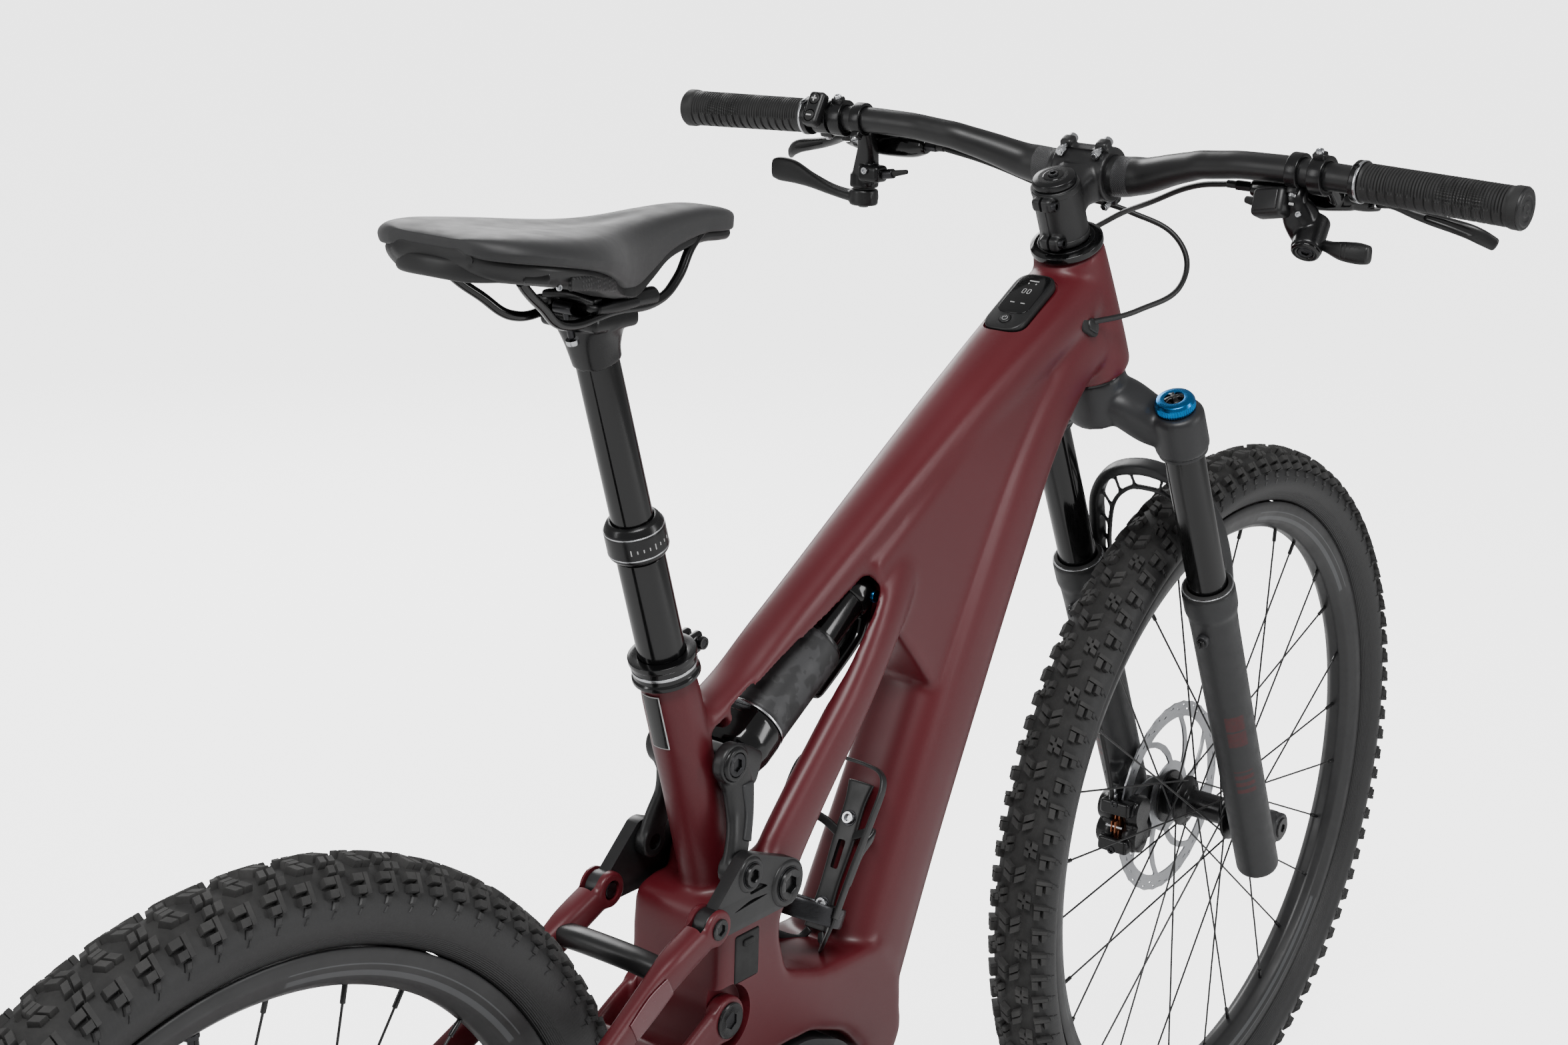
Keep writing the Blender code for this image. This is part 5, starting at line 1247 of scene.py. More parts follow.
def make_knob():
    """The blue dial on top of the damper leg."""
    leg = leg_at(-1)

    def ribs(radius, angle, along):
        if radius < 16.6 or along > 541.5:
            return radius
        return radius - 0.55 * (0.5 - 0.5 * math.cos(48 * angle))

    outer = [(8.6, 545.6), (12, 545.8), (16, 544.8), (18, 541.6), (18, 536), (17, 533.5), (8.6, 533.5)]
    parts = [paint(turned("dial", leg, STEER_UP, outer, 192, 0.8, ribs), "blue")]
    well = [(0, 541.5), (8.5, 541.5), (8.5, 534), (0, 534)]
    parts.append(paint(turned("well", leg, STEER_UP, well, 48, 0.3), "anodised_black"))
    for k in range(4):
        angle = math.radians(45 + 90 * k)
        out = STEER_AHEAD * math.cos(angle) + Y_AXIS * math.sin(angle)
        spoke = [(leg + (STEER_UP * 545.4) * MM, 2.6, 1.6),
                 (leg + (STEER_UP * 546 + out * 4) * MM, 2.2, 1.6),
                 (leg + (STEER_UP * 544.6 + out * 8) * MM, 3.4, 1.4)]
        parts.append(paint(swept("arm", spoke, STEER_UP.cross(out), 2.6, 20, 4, 0.6), "anodised_black"))
    cap = [(0, 548), (2.6, 547.8), (3.4, 546.4), (3.4, 541), (0, 541)]
    parts.append(paint(turned("cap", leg, STEER_UP, cap, 36, 0.4), "satin"))
    attach(merge("damper_dial", parts), "damper_knob", "damper_knob")


def make_lowers():
    """The fork's lower legs, arch, seals, feet and axle."""
    solids = []
    for side in SIDES:
        leg = leg_at(side)
        profile = [(19, 333), (24.6, 333), (25, 330), (25, 309), (23, 303), (22.4, 284), (21.4, 150),
                   (21, 20), (21, -26), (20, -29), (0, -29), (0, 24), (18.9, 26)]
        solids.append(turned("leg", leg, STEER_UP, profile, 72, 2.5))
        line = (LEG_SIDE + 1) * side
        lug = [(steer(6, 22, line), 13.6, 24), (steer(0, 42, line), 14, 18), (steer(-2, 56, line), 12.4, 10)]
        solids.append(swept("lug", lug, Y_AXIS, 2.6, 40, 8, 3))
    arch = [
        (steer(296, 32, -LEG_SIDE), 9, 10), (steer(336, 49, -67), 9, 6.5), (steer(384, 53, -60), 9, 5.5),
        (steer(414, 54, -38), 9, 5.5), (steer(425, 54, 0), 9, 6), (steer(414, 54, 38), 9, 5.5),
        (steer(384, 53, 60), 9, 5.5), (steer(336, 49, 67), 9, 6.5), (steer(296, 32, LEG_SIDE), 9, 10),
    ]
    solids.append(swept("arch", arch, STEER_AHEAD, 3.6, 40, 10))
    inner = [(300, 58), (340, 52), (380, 40), (402, 20), (406, 0)]
    path = [(steer(s, 47, -side), 3, 2.2) for s, side in inner[:-1]]
    path += [(steer(s, 47, side), 3, 2.2) for s, side in reversed(inner)]
    solids.append(swept("inner_rail", path, STEER_AHEAD, 3, 24, 8))
    web = []
    for k, (s, side) in enumerate(((330, 54), (352, 50), (374, 43), (394, 30), (403, 12))):
        for sign in SIDES:
            out = steer(s + 16, 50, (side + 9 if k < 3 else side + 5) * sign)
            web.append(rod("web", steer(s, 47, side * sign), out, 1.8, 16))
    solids += web
    for along in (6, 78):
        solids.append(block("mount", steer(along, -12, 60), (20, 16, 16), HEAD_PITCH, 3))
    body = fused("lowers", solids, 1.5, 6)
    cutters = [rod("bore", leg_at(side, 26), leg_at(side, 345), 19) for side in SIDES]
    body = drilled(body, cutters)
    pieces = [paint(body, "leg", 50)]
    for side in SIDES:
        leg = leg_at(side)
        wiper = [(18.6, 329), (24.4, 329), (24.4, 333.4), (22, 335.6), (19.4, 336.4), (18.6, 335)]
        pieces.append(paint(turned("wiper", leg, STEER_UP, wiper, 96, 0.6), "rubber"))
        spring = [(21.8, 333.9), (24.1, 333.9), (24.1, 334.9), (21.8, 334.9)]
        pieces.append(paint(turned("spring", leg, STEER_UP, spring, 96, 0.4), "silver"))
        valve = leg_at(side, 286) - STEER_AHEAD * 22 * MM
        pieces.append(paint(rod("valve_boss", valve + STEER_AHEAD * 4 * MM, valve - STEER_AHEAD * 5 * MM,
                                6.4, 36, 1), "charcoal"))
        pieces.append(paint(rod("valve", valve, valve - STEER_AHEAD * 8 * MM, 4.2, 36, 0.8),
                            "anodised_black"))
        bar = block("bar", valve - STEER_AHEAD * 8.6 * MM, (2.4, 2, 7), HEAD_PITCH, 0.6, 2)
        pieces.append(paint(bar, "dark_metal"))
        foot = leg_at(side, -28)
        pieces.append(paint(rod("foot_bolt", foot + STEER_UP * 2 * MM, foot - STEER_UP * 9 * MM, 8.2, 48,
                                0.8), "anodised_black"))
        pieces.append(paint(rod("foot_dial", foot - STEER_UP * 8.4 * MM, foot - STEER_UP * 12.4 * MM, 5.6,
                                36, 0.5), "gloss"))
    axle = AXLES["front"]
    pieces.append(paint(pin("axle", axle, 7.2, -79, 79), "anodised_black"))
    for side in SIDES:
        pieces.append(bolt("axle_end", across(axle, 82 * side), Y_AXIS * side, 10.5, 3.6, "anodised_black",
                           0.36))
        boss = turned("boss", across(axle, 0), Y_AXIS * side,
                      [(7.4, 78), (14.5, 78), (14.5, 83), (12.8, 84), (7.4, 84)], 56, 0.8)
        pieces.append(paint(boss, "charcoal"))
    attach(merge("lower_legs", pieces), "fork_lower", "fork_lowers")


def make_caliper(name, axle, bearing, width, length, line, body_name, node):
    """A two-sided brake caliper, with its pads and bolts, round a rotor's edge."""
    angle = math.radians(bearing)
    out = Vector((math.cos(angle), 0, math.sin(angle)))
    turn = Vector((-out.z, 0, out.x))
    centre = axle + out * 88 * MM + Y_AXIS * line * MM
    halves = []
    for side in SIDES:
        middle = centre + Y_AXIS * side * (width / 4 + 1.7) * MM
        for shift in (-0.22, 0.22):
            half = [(0, width / 4 + 4), (length * 0.26, width / 4 + 4), (length * 0.3, 0),
                    (length * 0.28, -width / 4 + 3.4), (0, -width / 4 + 3.4)]
            halves.append(turned("pot", middle + turn * length * shift * MM, Y_AXIS * side, half, 40, 2.5))
        size = (26, width / 2 - 4.4, length * 0.96)
        halves.append(block("cheek", middle + Y_AXIS * side * 0.6 * MM, size, bearing, 4, 3))
    for sign in (1, -1):
        middle = centre + out * 18 * MM + turn * sign * length * 0.34 * MM
        halves.append(block("bridge", middle, (13, width - 5, length * 0.26), bearing, 3))
    body = fused("body", halves, 0.9, 4)
    end = name.split("_")[0]
    left, flange = FLANGES[end][1:]
    reach = RIM_RADIUS[end] - 29
    spokes = turned("spoke_room", axle, Y_AXIS,
                    [(flange - 3, -20), (reach, -20), (reach, 0.12 * left + 4), (flange - 3, left + 5.5)],
                    96, 0)
    body = drilled(body, [block("slot", centre - out * 8 * MM, (56, 6, 2.4 * length), bearing, 0.2, 1),
                          spokes])
    parts = [paint(body, "anodised_black", 50)]
    for side in SIDES:
        pad = block("pad", centre + Y_AXIS * side * 2.1 * MM + out * 4 * MM, (24, 1.5, length * 0.62),
                    bearing, 0.4, 2)
        parts.append(paint(pad, "bronze"))
        plate_at = centre + Y_AXIS * side * 2.0 * MM + out * 19 * MM
        parts.append(paint(block("tab", plate_at, (9, 1.3, length * 0.2), bearing, 0.4, 2), "bronze"))
    pin_at = centre + out * 21 * MM
    parts.append(paint(rod("pad_pin", pin_at - Y_AXIS * 9 * MM, pin_at + Y_AXIS * 9 * MM, 1.5), "silver"))
    for shift in (-0.42, 0.42):
        place = centre + turn * length * shift * MM + out * 22 * MM
        parts.append(bolt("body_bolt", place, out, 4.2, 3.4, "dark_metal"))
    attach(merge(name, parts), body_name, node)
    return centre, out, turn


def make_front_hose(centre, out, turn):
    """The front caliper's hose, up the rear of the left leg to the arch."""
    start = centre + (out * 16 + turn * -20 + Y_AXIS * 6) * MM
    points = [
        start, start + (Z_AXIS * 18 - X_AXIS * 5) * MM, steer(150, -24, 58), steer(230, -24, 56),
        steer(292, -14, 48),
        steer(312, 6, 46),
    ]
    fitting = rod("fitting", start - Z_AXIS * 6 * MM, start + Z_AXIS * 12 * MM, 4, 36, 0.8)
    sleeve = rod("sleeve", start + Z_AXIS * 10 * MM, start + (Z_AXIS * 20 - X_AXIS * 1.5) * MM, 3.2)
    parts = [paint(fitting, "silver"), paint(sleeve, "silver"), paint(hose("line", points, 2.4), "plastic")]
    for along in (170, 250):
        clip = turned("clip", steer(along, -24, 57), STEER_UP, [(2.5, -4), (4.4, -4), (4.4, 4), (2.5, 4)],
                      32, 0.6)
        parts.append(paint(clip, "plastic"))
    attach(merge("front_brake_line", parts), "fork_lower", slot="plastic_black")


# ---------------------------------------------------------------- cockpit

BAR = steer(742, 50)
BAR_KNOTS = [
    (0, 507.7, 1045.3), (34, 507.7, 1045.3), (62, 502, 1050), (90, 492, 1059), (120, 481, 1067),
    (160, 474, 1072), (200, 471, 1073), (262, 468, 1071), (396, 463.1, 1066.1),
]
BAR_RADII = [(0, 17.5), (28, 17.5), (46, 16.5), (62, 15), (80, 13.6), (100, 12.4), (122, 11.6), (160, 11.2),
             (400, 11.1)]


def between(table, reach):
    """The value at a place in a table of (place, value, ...) rows, on straight lines between rows."""
    for low, high in zip(table, table[1:]):
        if reach <= high[0]:
            share = (reach - low[0]) / (high[0] - low[0])
            return [a + (b - a) * share for a, b in zip(low[1:], high[1:])]
    return list(table[-1][1:])


def bar_point(side, reach):
    """A point on the bar's middle line at a distance to one side."""
    x, z = between(BAR_KNOTS, reach)
    return at(x, side * reach, z)


def bar_axis(side, reach):
    """The bar's direction there, away from the stem."""
    return (bar_point(side, reach + 4) - bar_point(side, reach - 4)).normalized()


def make_bar():
    """The handlebar, thick in the stem's clamp and thin at the grips."""
    stations = []
    for index in range(-33, 34):
        reach = abs(index) * 12
        side = -1 if index < 0 else 1
        radius = between(BAR_RADII, reach)[0]
        stations.append((bar_point(side, reach), radius, radius))
    bar = swept("bar", stations, X_AXIS, 2.0, 48, 4, 0.4)
    attach(merge("bar", [paint(bar, bar_finish(), 50)]), "steering", "handlebar")


def bar_finish():
    """Matte black with a knurled patch on both sides of the stem clamp."""
    look = Look("handlebar_black", (0.012, 0.012, 0.0125))
    side = look.math("ABSOLUTE", look.along(Y_AXIS))
    patch = look.window(side, 0.031, 0.046, 0.0006)
    first = look.math("SINE", look.math("MULTIPLY", look.along((0.6, 0.5, 0.6)), 6500.0))
    second = look.math("SINE", look.math("MULTIPLY", look.along((0.6, -0.5, 0.6)), 6500.0))
    knurl = look.math("MULTIPLY", look.math("ADD", first, second), patch)
    tint = look.mix(look.noise(30, 4), (0.006, 0.006, 0.0063), (0.009, 0.009, 0.0095))
    look.set(Base_Color=look.mix(look.math("MULTIPLY", patch, 0.6), tint, (0.045, 0.045, 0.047)))
    look.set(Roughness=look.band(look.noise(50, 4), 0.3, 0.7, 0.34, 0.44))
    look.bump(knurl, 0.5, 0.2)
    look.bump(look.noise(1200, 2), 0.2, 0.04)
    return look.material


def make_stem():
    """The stem: its body, steerer clamp, faceplate, bolts and top cap."""
    sleeve = [(0, 708), (20.6, 708), (20.6, 762), (0, 762)]
    parts = [turned("sleeve", steer(0), STEER_UP, sleeve, 56, 3)]
    parts.append(swept("body", [(steer(740, 6), 19, 17), (steer(742, 20), 19, 16), (steer(742, 34), 23, 19)],
                       Y_AXIS, 3.0, 48, 10))
    parts.append(pin("seat", BAR, 22.6, -25, 25))
    for along in (716, 754):
        parts.append(block("lug", steer(along, -21), (12, 19, 12), HEAD_PITCH, 3))
    body = fused("body", parts, 1.3, 5)
    half = block("front_half", BAR + STEER_AHEAD * 26 * MM, (52, 70, 80), HEAD_PITCH, 0.1, 1)
    window = block("window", steer(742, -30), (20, 2.4, 80), HEAD_PITCH, 0.1, 1)
    scoop = pin("scoop", steer(736, 28), 5, -13, 13)
    cutters = [rod("steerer", steer(690), steer(780), 14.6), pin("bar_seat", BAR, 17.7, -60, 60), half,
               window, scoop]
    body = drilled(body, cutters)
    pieces = [paint(body, "cast", 50)]
    for along in (717, 753):
        pieces.append(bolt("pinch", steer(along, -21.5, -9), -Y_AXIS, 4.4, 4, "dark_metal"))
    attach(merge("stem_body", pieces), "steering", "stem")

    face = pin("face", BAR, 24, -25, 25, soft=2.5)
    lugs = [face]
    for side in SIDES:
        for up in (-1, 1):
            lugs.append(block("lug", BAR + (STEER_UP * 25 * up + STEER_AHEAD * 4 + Y_AXIS * side * 17) * MM,
                              (12, 12, 11), HEAD_PITCH, 3))
    face = fused("face", lugs, 1.2, 4)
    back = block("back_half", BAR - STEER_AHEAD * 27.2 * MM, (52, 70, 80), HEAD_PITCH, 0.1, 1)
    hole = block("hole", BAR + STEER_AHEAD * 20 * MM, (20, 20, 24), HEAD_PITCH, 3, 3)
    face = drilled(face, [pin("bar_seat", BAR, 17.7, -60, 60), back, hole])
    pieces = [paint(face, "cast", 50)]
    for side in SIDES:
        for up in (-1, 1):
            place = BAR + (STEER_UP * 25 * up + STEER_AHEAD * 9 + Y_AXIS * side * 17) * MM
            pieces.append(bolt("clamp_bolt", place, STEER_AHEAD, 4.6, 4.4, "silver", 0.52))
            pieces.append(paint(rod("shank", place, place - STEER_AHEAD * 22 * MM, 2.6), "silver"))
            pieces.append(paint(rod("nut", place - STEER_AHEAD * 15 * MM, place - STEER_AHEAD * 21 * MM, 3.9,
                                    6, 0.4), "silver"))
    attach(merge("stem_face", pieces), "steering", "stem_faceplate")

    top = [(0, 769.4), (13, 769.4), (18, 768), (18.8, 765), (18.8, 762.6), (0, 762.6)]
    pieces = [paint(turned("top", steer(0), STEER_UP, top, 72, 0.9), "anodised_black")]
    inset = [(0, 770), (8.4, 770), (9.4, 769.3), (9.4, 768), (0, 768)]
    pieces.append(paint(turned("inset", steer(0), STEER_UP, inset, 56, 0.4), "gloss"))
    pieces.append(bolt("preload", steer(769.2), STEER_UP, 4.4, 2.4, "dark_metal"))
    for low, radius in ((755.5, 21.0), (709.5, 21.2)):
        pieces.append(ring_of("spacer", steer(0), STEER_UP, 14.7, radius, low, low + 5.6, "satin", 0.8))
    attach(merge("stem_top", pieces), "steering", "stem_cap")


def grip_rubber():
    """Soft black rubber with a fine diagonal file pattern on the outer half."""
    look = Look("grip_black", (0.016, 0.016, 0.016))
    reach = look.math("ABSOLUTE", look.along(Y_AXIS))
    first = look.math("SINE", look.math("MULTIPLY", look.along((1.0, 0.75, 0.6)), 3600.0))
    second = look.math("SINE", look.math("MULTIPLY", look.along((1.0, -0.75, 0.6)), 3600.0))
    outer = look.window(reach, 0.335, 0.372, 0.004)
    look.set(Base_Color=look.mix(look.noise(60, 4), (0.010, 0.010, 0.010), (0.018, 0.018, 0.018)))
    look.set(Roughness=look.band(look.noise(90, 4), 0.3, 0.7, 0.46, 0.6))
    look.bump(look.math("MULTIPLY", look.math("MAXIMUM", first, second), outer), 0.7, 0.35)
    look.bump(look.noise(800, 3), 0.35, 0.08)
    return look.material


def make_grip(side, tag, rubber):
    """A lock-on grip with its collar, screw and end plug."""
    inner = bar_point(side, 262)
    axis = bar_axis(side, 320)

    def ribbed(radius, angle, along):
        if radius < 14.6 or not 10 < along < 128:
            return radius
        low = math.sin(angle) * side > 0.25
        depth = 1.2 if low else 1.0
        pitch = 7.8 if low else 2.6
        phase = (along / pitch) % 1.0
        groove = 1.0 if phase < (0.22 if low else 0.42) else 0.0
        return radius - depth * groove

    body = [(11.3, 7.6), (15.6, 7.6), (15.2, 9)]
    body += [(15.2 + 0.6 * k / 177, 10 + k * 0.663) for k in range(178)]
    body += [(16.4, 129), (16.8, 131), (16.8, 137), (11.3, 137)]
    sleeve = turned("sleeve", inner, axis, body, 72, 0, ribbed)
    pieces = [paint(sleeve, rubber, 40)]
    collar = [(11.3, 0), (16.4, 0), (16.6, 1), (16.6, 6.2), (16, 7), (11.3, 7)]
    pieces.append(paint(turned("lock_ring", inner, axis, collar, 72, 0.4), "anodised_black"))
    pieces.append(ring_of("bright_ring", inner, axis, 15.8, 16.9, 4.4, 6.6, "silver", 0.3))
    slit = inner + axis * 3.4 * MM + (X_AXIS * -10 + Z_AXIS * 11) * MM
    pieces.append(bolt("lock_screw", slit, Vector((-0.5, 0, 0.86)), 2.7, 3.0, "dark_metal"))
    disc = [(0, 138.6), (3, 138.6), (3.6, 139.2), (6.2, 139.2), (6.8, 138.4), (9.6, 138.4), (10.2, 139.2),
            (13, 139.2), (13.8, 138.6), (15.8, 138.6), (16.4, 137.4), (16.4, 134), (0, 134)]
    pieces.append(paint(turned("end_cap", inner, axis, disc, 72, 0.25), "cast"))
    attach(merge("grip_sleeve_" + tag, pieces), "steering", "grip_" + tag)


def bar_clamp(side, near, far, radius, lug_angle=-150.0):
    """A hinged band on the bar, with its bolt lug and bolt; the angle is from straight ahead, up."""
    middle = bar_point(side, (near + far) / 2)
    axis = bar_axis(side, (near + far) / 2)
    half = (far - near) / 2
    band = turned("band", middle, axis, [(11.4, -half), (radius, -half), (radius, half), (11.4, half)], 56,
                  0.8)
    turn = math.radians(lug_angle)
    out = X_AXIS * math.cos(turn) + Z_AXIS * math.sin(turn)
    lug = block("lug", middle + out * radius * MM, (8, far - near - 1, 8), lug_angle, 1.5)
    head = bolt("clamp_bolt", middle + out * (radius + 3.6) * MM, out, 3.4, 2.6, "silver")
    return [paint(band, "anodised_black"), paint(lug, "anodised_black"), head]


def make_brake(side, tag):
    """A brake's clamp, reservoir and blade."""
    pieces = bar_clamp(side, 226, 238, 16, 112)

    def s(x, y, z):
        return at(x, y * side, z)

    tank = swept("tank", [(s(497, 160, 1052), 7, 7), (s(500, 174, 1051), 9.6, 10.5),
                          (s(505, 200, 1050), 10.5, 11.5), (s(507, 222, 1050), 10.5, 11),
                          (s(510, 242, 1050), 8.5, 9)], X_AXIS, 2.6, 36, 8, 2.5)
    neck = swept("neck", [(s(484, 232, 1066), 6, 7), (s(494, 232, 1058), 6, 7), (s(503, 231, 1052), 7, 8)],
                 Y_AXIS, 2.6, 24, 6, 1)
    fork = swept("fork", [(s(508, 238, 1050), 8, 7), (s(517, 250, 1048), 7.5, 6.4),
                          (s(521, 259, 1048), 6.4, 6.4)], Z_AXIS, 2.6, 28, 6, 2)
    body = fused("body", [tank, neck, fork], 0.9, 5)
    body = drilled(body, [block("lever_slot", s(522, 264, 1048), (22, 22, 8.4), 0, 0.4, 1)])
    pieces.append(paint(body, "gloss", 60))
    lid = rounded_slab("lid", s(501, 200, 1061.2), Y_AXIS, Vector((0.12, 0, 0.99)).normalized(), 46, 17, 2.6,
                       7, 1)
    pieces.append(paint(lid, "cast"))
    for reach in (184, 216):
        pieces.append(bolt("lid_screw", s(501, reach, 1062.2), Z_AXIS, 2.2, 1.4, "silver"))
    nut = rod("nut", s(497, 163, 1052), s(495, 146, 1052.4), 4.4, 6, 0.5)
    sleeve = rod("sleeve", s(495.4, 150, 1052.3), s(494, 138, 1052.6), 3.2, 28)
    pieces += [paint(nut, "dark_metal"), paint(sleeve, "plastic")]
    pieces.append(bolt("bleed", s(509, 232, 1061), Z_AXIS, 3.2, 2.0, "silver"))
    attach(merge("brake_body_" + tag, pieces), "steering", "brake_clamp_" + tag)

    blade = swept("blade", [(s(522, 257, 1048), 3, 5.6), (s(525, 270, 1047), 3.4, 6.6),
                            (s(530, 285, 1042), 4.2, 6.4), (s(534, 300, 1038), 5.0, 5.4),
                            (s(537, 314, 1035), 5.6, 4.6), (s(538, 328, 1032), 6.2, 3.6),
                            (s(541, 338, 1028), 6.2, 3.0), (s(547, 346, 1023), 5.4, 3.0)], Z_AXIS, 2.6, 28,
                  8, 2.2)
    scoop = swept("scoop", [(s(527, 296, 1040), 2.4, 4), (s(530, 314, 1036), 3.4, 5),
                            (s(531, 334, 1031), 3.8, 5)], Z_AXIS, 2.4, 24, 8, 2)
    hub = rod("hub", s(522, 262, 1044.6), s(522, 262, 1051.4), 6.2, 36, 0.8)
    body = drilled(fused("blade", [blade, hub], 0.7, 3), [scoop])
    holes = [rod("hole", s(534, 292, 1030), s(534, 292, 1050), 1.9, 20),
             rod("hole", s(538, 302, 1026), s(538, 302, 1048), 1.5, 20)]
    body = drilled(body, holes)
    screw = bolt("pivot", s(522, 262, 1051.3), Z_AXIS, 3.2, 1.5, "silver")
    attach(merge("brake_blade_" + tag, [paint(body, "satin", 50), screw]), "brake_lever_" + tag,
           "brake_lever_" + tag)


def make_shifter():
    """The shifter under the right side of the bar, and its thumb lever."""
    pieces = bar_clamp(-1, 206, 216, 15, -112)
    solids = [
        swept("neck", [(at(474, -211, 1060), 8, 6), (at(470, -211, 1052), 9, 8),
                       (at(472, -212, 1044), 10, 9)], Y_AXIS, 2.6, 30, 6, 1),
        swept("body", [(at(472, -210, 1046), 12, 9), (at(476, -214, 1036), 14, 12),
                       (at(478, -218, 1026), 13, 12), (at(480, -220, 1018), 11, 10)], Y_AXIS, 2.8, 40, 8, 3),
        rod("barrel", at(486, -222, 1034), at(464, -226, 1012), 12.5, 44, 2.5),
    ]
    body = fused("pod", solids, 0.9, 4)
    pieces.append(paint(body, "anodised_black", 60))
    tilt = axes(Vector((-0.9, 0.25, 0.36)), Vector((0.36, 0.1, 0.9)))
    cell = block("cell", at(466, -193, 1046), (17, 31, 23), 0, 4.4, 4, tilt)
    door = block("door", at(457.8, -190.8, 1049.4), (2.2, 23, 16), 0, 1, 3, tilt)
    pieces += [paint(cell, "plastic"), paint(door, "cast")]
    facing = Vector((-22, -4, -22)).normalized()
    end = at(464, -226, 1012)
    ring_profile = [(6.5, -0.5), (11.6, -0.5), (11.6, 1.2), (10, 2.2), (7.4, 2.2), (6.5, 1.4)]
    pieces.append(paint(turned("barrel_ring", end, facing, ring_profile, 64, 0.5), "gloss"))
    pieces.append(bolt("barrel_bolt", end, facing, 6.2, 1.8, "dark_metal"))
    for reach in (-206, -218):
        pieces.append(bolt("pod_screw", at(462.6, reach, 1040), Vector((-0.93, 0, 0.37)), 2.4, 1.6,
                           "silver"))
    pieces.append(paint(block("lens", at(460.5, -212, 1048), (2, 4, 2), -22, 0.5), "white"))
    pieces.append(paint(rod("cable_boot", at(470, -182, 1044), at(474, -166, 1045), 4.4, 28, 1, 3),
                        "rubber"))
    attach(merge("shifter_pod", pieces), "steering", "shifter")

    arm = swept("arm", [(at(490, -214, 1017), 3, 6.4), (at(482, -224, 1017), 3.4, 7.6),
                        (at(476, -240, 1016), 4.4, 6.8), (at(471, -254, 1015), 7.4, 6.4),
                        (at(469, -268, 1015), 8.4, 6), (at(468, -277, 1015), 7.4, 5)],
                Z_AXIS, 2.8, 32, 8, 1.8)
    pad = paint(arm, "satin", 50)
    ribs = [pad]
    for k in range(5):
        rib = block("rib", at(464.6 - 0.12 * k, -255 - 4 * k, 1016), (1.6, 1.4, 11), 0, 0.5, 2)
        ribs.append(paint(rib, "rubber"))
    ribs.append(bolt("pivot", at(482, -218, 1020), Z_AXIS, 3.6, 1.6, "silver"))
    attach(merge("shift_paddle", ribs), "shift_lever", "shift_lever")


def make_remote():
    """The motor's remote on the left side of the bar, with its two buttons."""
    pieces = bar_clamp(1, 242, 257, 14.6, -70)
    face = Vector((-0.883, 0, 0.469))
    up = Vector((0.469, 0, 0.883))
    centre = at(453, 249.5, 1079)
    turn = axes(face, up)
    pad = block("pad", centre, (12, 16, 31), 0, 3.4, 5, turn)
    foot = swept("foot", [(at(468, 249.5, 1070), 7, 8), (at(459, 249.5, 1075), 7, 9)], Y_AXIS, 3, 24, 4, 1)
    body = drilled(fused("pad", [pad, foot], 0.8, 3), [
        rod("room", centre + (face * 2.2 + up * 8 * sign) * MM, centre + (face * 12 + up * 8 * sign) * MM,
            5.7) for sign in SIDES
    ])
    pieces.append(paint(body, "plastic", 60))
    attach(merge("remote_pad", pieces), "steering", "remote")
    for sign, name in ((1, "plus"), (-1, "minus")):
        place = centre + (face * 5.4 + up * 8 * sign) * MM
        cap = turned("cap", place, face, [(0, 1.6), (3.8, 1.4), (4.9, 0.6), (4.9, -1.2), (0, -1.2)], 48, 0.4)
        parts = [paint(cap, "rubber")]
        parts.append(paint(block("stroke", place + face * 1.7 * MM, (0.5, 5.4, 1.3), 0, 0.1, 1, turn),
                           "white"))
        if sign > 0:
            parts.append(paint(block("stroke", place + face * 1.7 * MM, (0.5, 1.3, 5.4), 0, 0.1, 1, turn),
                               "white"))
        attach(merge(name + "_button_cap", parts), name + "_button", name + "_button")


def make_dropper_control():
    """The seat post's control under the left side of the bar, and its lever."""
    pieces = bar_clamp(1, 206, 216, 14.6, -120)
    arm = swept("arm", [(at(478, 211, 1062), 6, 7), (at(484, 213, 1046), 9, 8), (at(490, 218, 1030), 11, 9),
                        (at(494, 222, 1018), 12, 10)],
                Y_AXIS, 2.6, 28, 8, 2)
    boss = rod("boss", at(496, 224, 1009), at(496, 224, 1022), 13, 40, 2)
    cheek = block("cheek", at(486, 208, 1024), (18, 22, 15), 0, 3.5, 4)
    pieces.append(paint(fused("arm", [arm, boss, cheek], 0.9, 4), "anodised_black", 60))
    barrel = rod("barrel", at(487, 204, 1023), at(487, 186, 1026), 4.4, 28, 0.8)
    pieces.append(paint(barrel, "dark_metal"))
    pieces.append(paint(rod("cable_boot", at(487, 188, 1025.7), at(488, 172, 1029), 3.2, 24, 0.8, 2),
                        "rubber"))
    pieces.append(bolt("arm_screw", at(476.4, 210, 1027), -X_AXIS, 3.2, 2, "silver"))
    attach(merge("dropper_arm", pieces), "steering", "dropper_mount")
    blade = swept("blade", [(at(498, 214, 1001), 5, 9), (at(495, 232, 1000), 5, 9),
                            (at(494, 256, 1003), 4.8, 6.6), (at(495, 282, 1009), 7, 4.4),
                            (at(497, 304, 1014), 10.5, 4), (at(498, 320, 1015), 11, 4),
                            (at(498, 328, 1015), 9, 3.4)], Z_AXIS, 2.8, 36, 8, 2)
    hub = rod("hub", at(496, 224, 993), at(496, 224, 1007.6), 13, 44, 2.4)
    parts = [paint(fused("blade", [blade, hub], 0.9, 4), "satin", 60)]
    parts.append(bolt("pivot", at(496, 224, 993), -Z_AXIS, 4.6, 1.8, "dark_metal"))
    attach(merge("dropper_blade", parts), "dropper_lever", "dropper_lever")


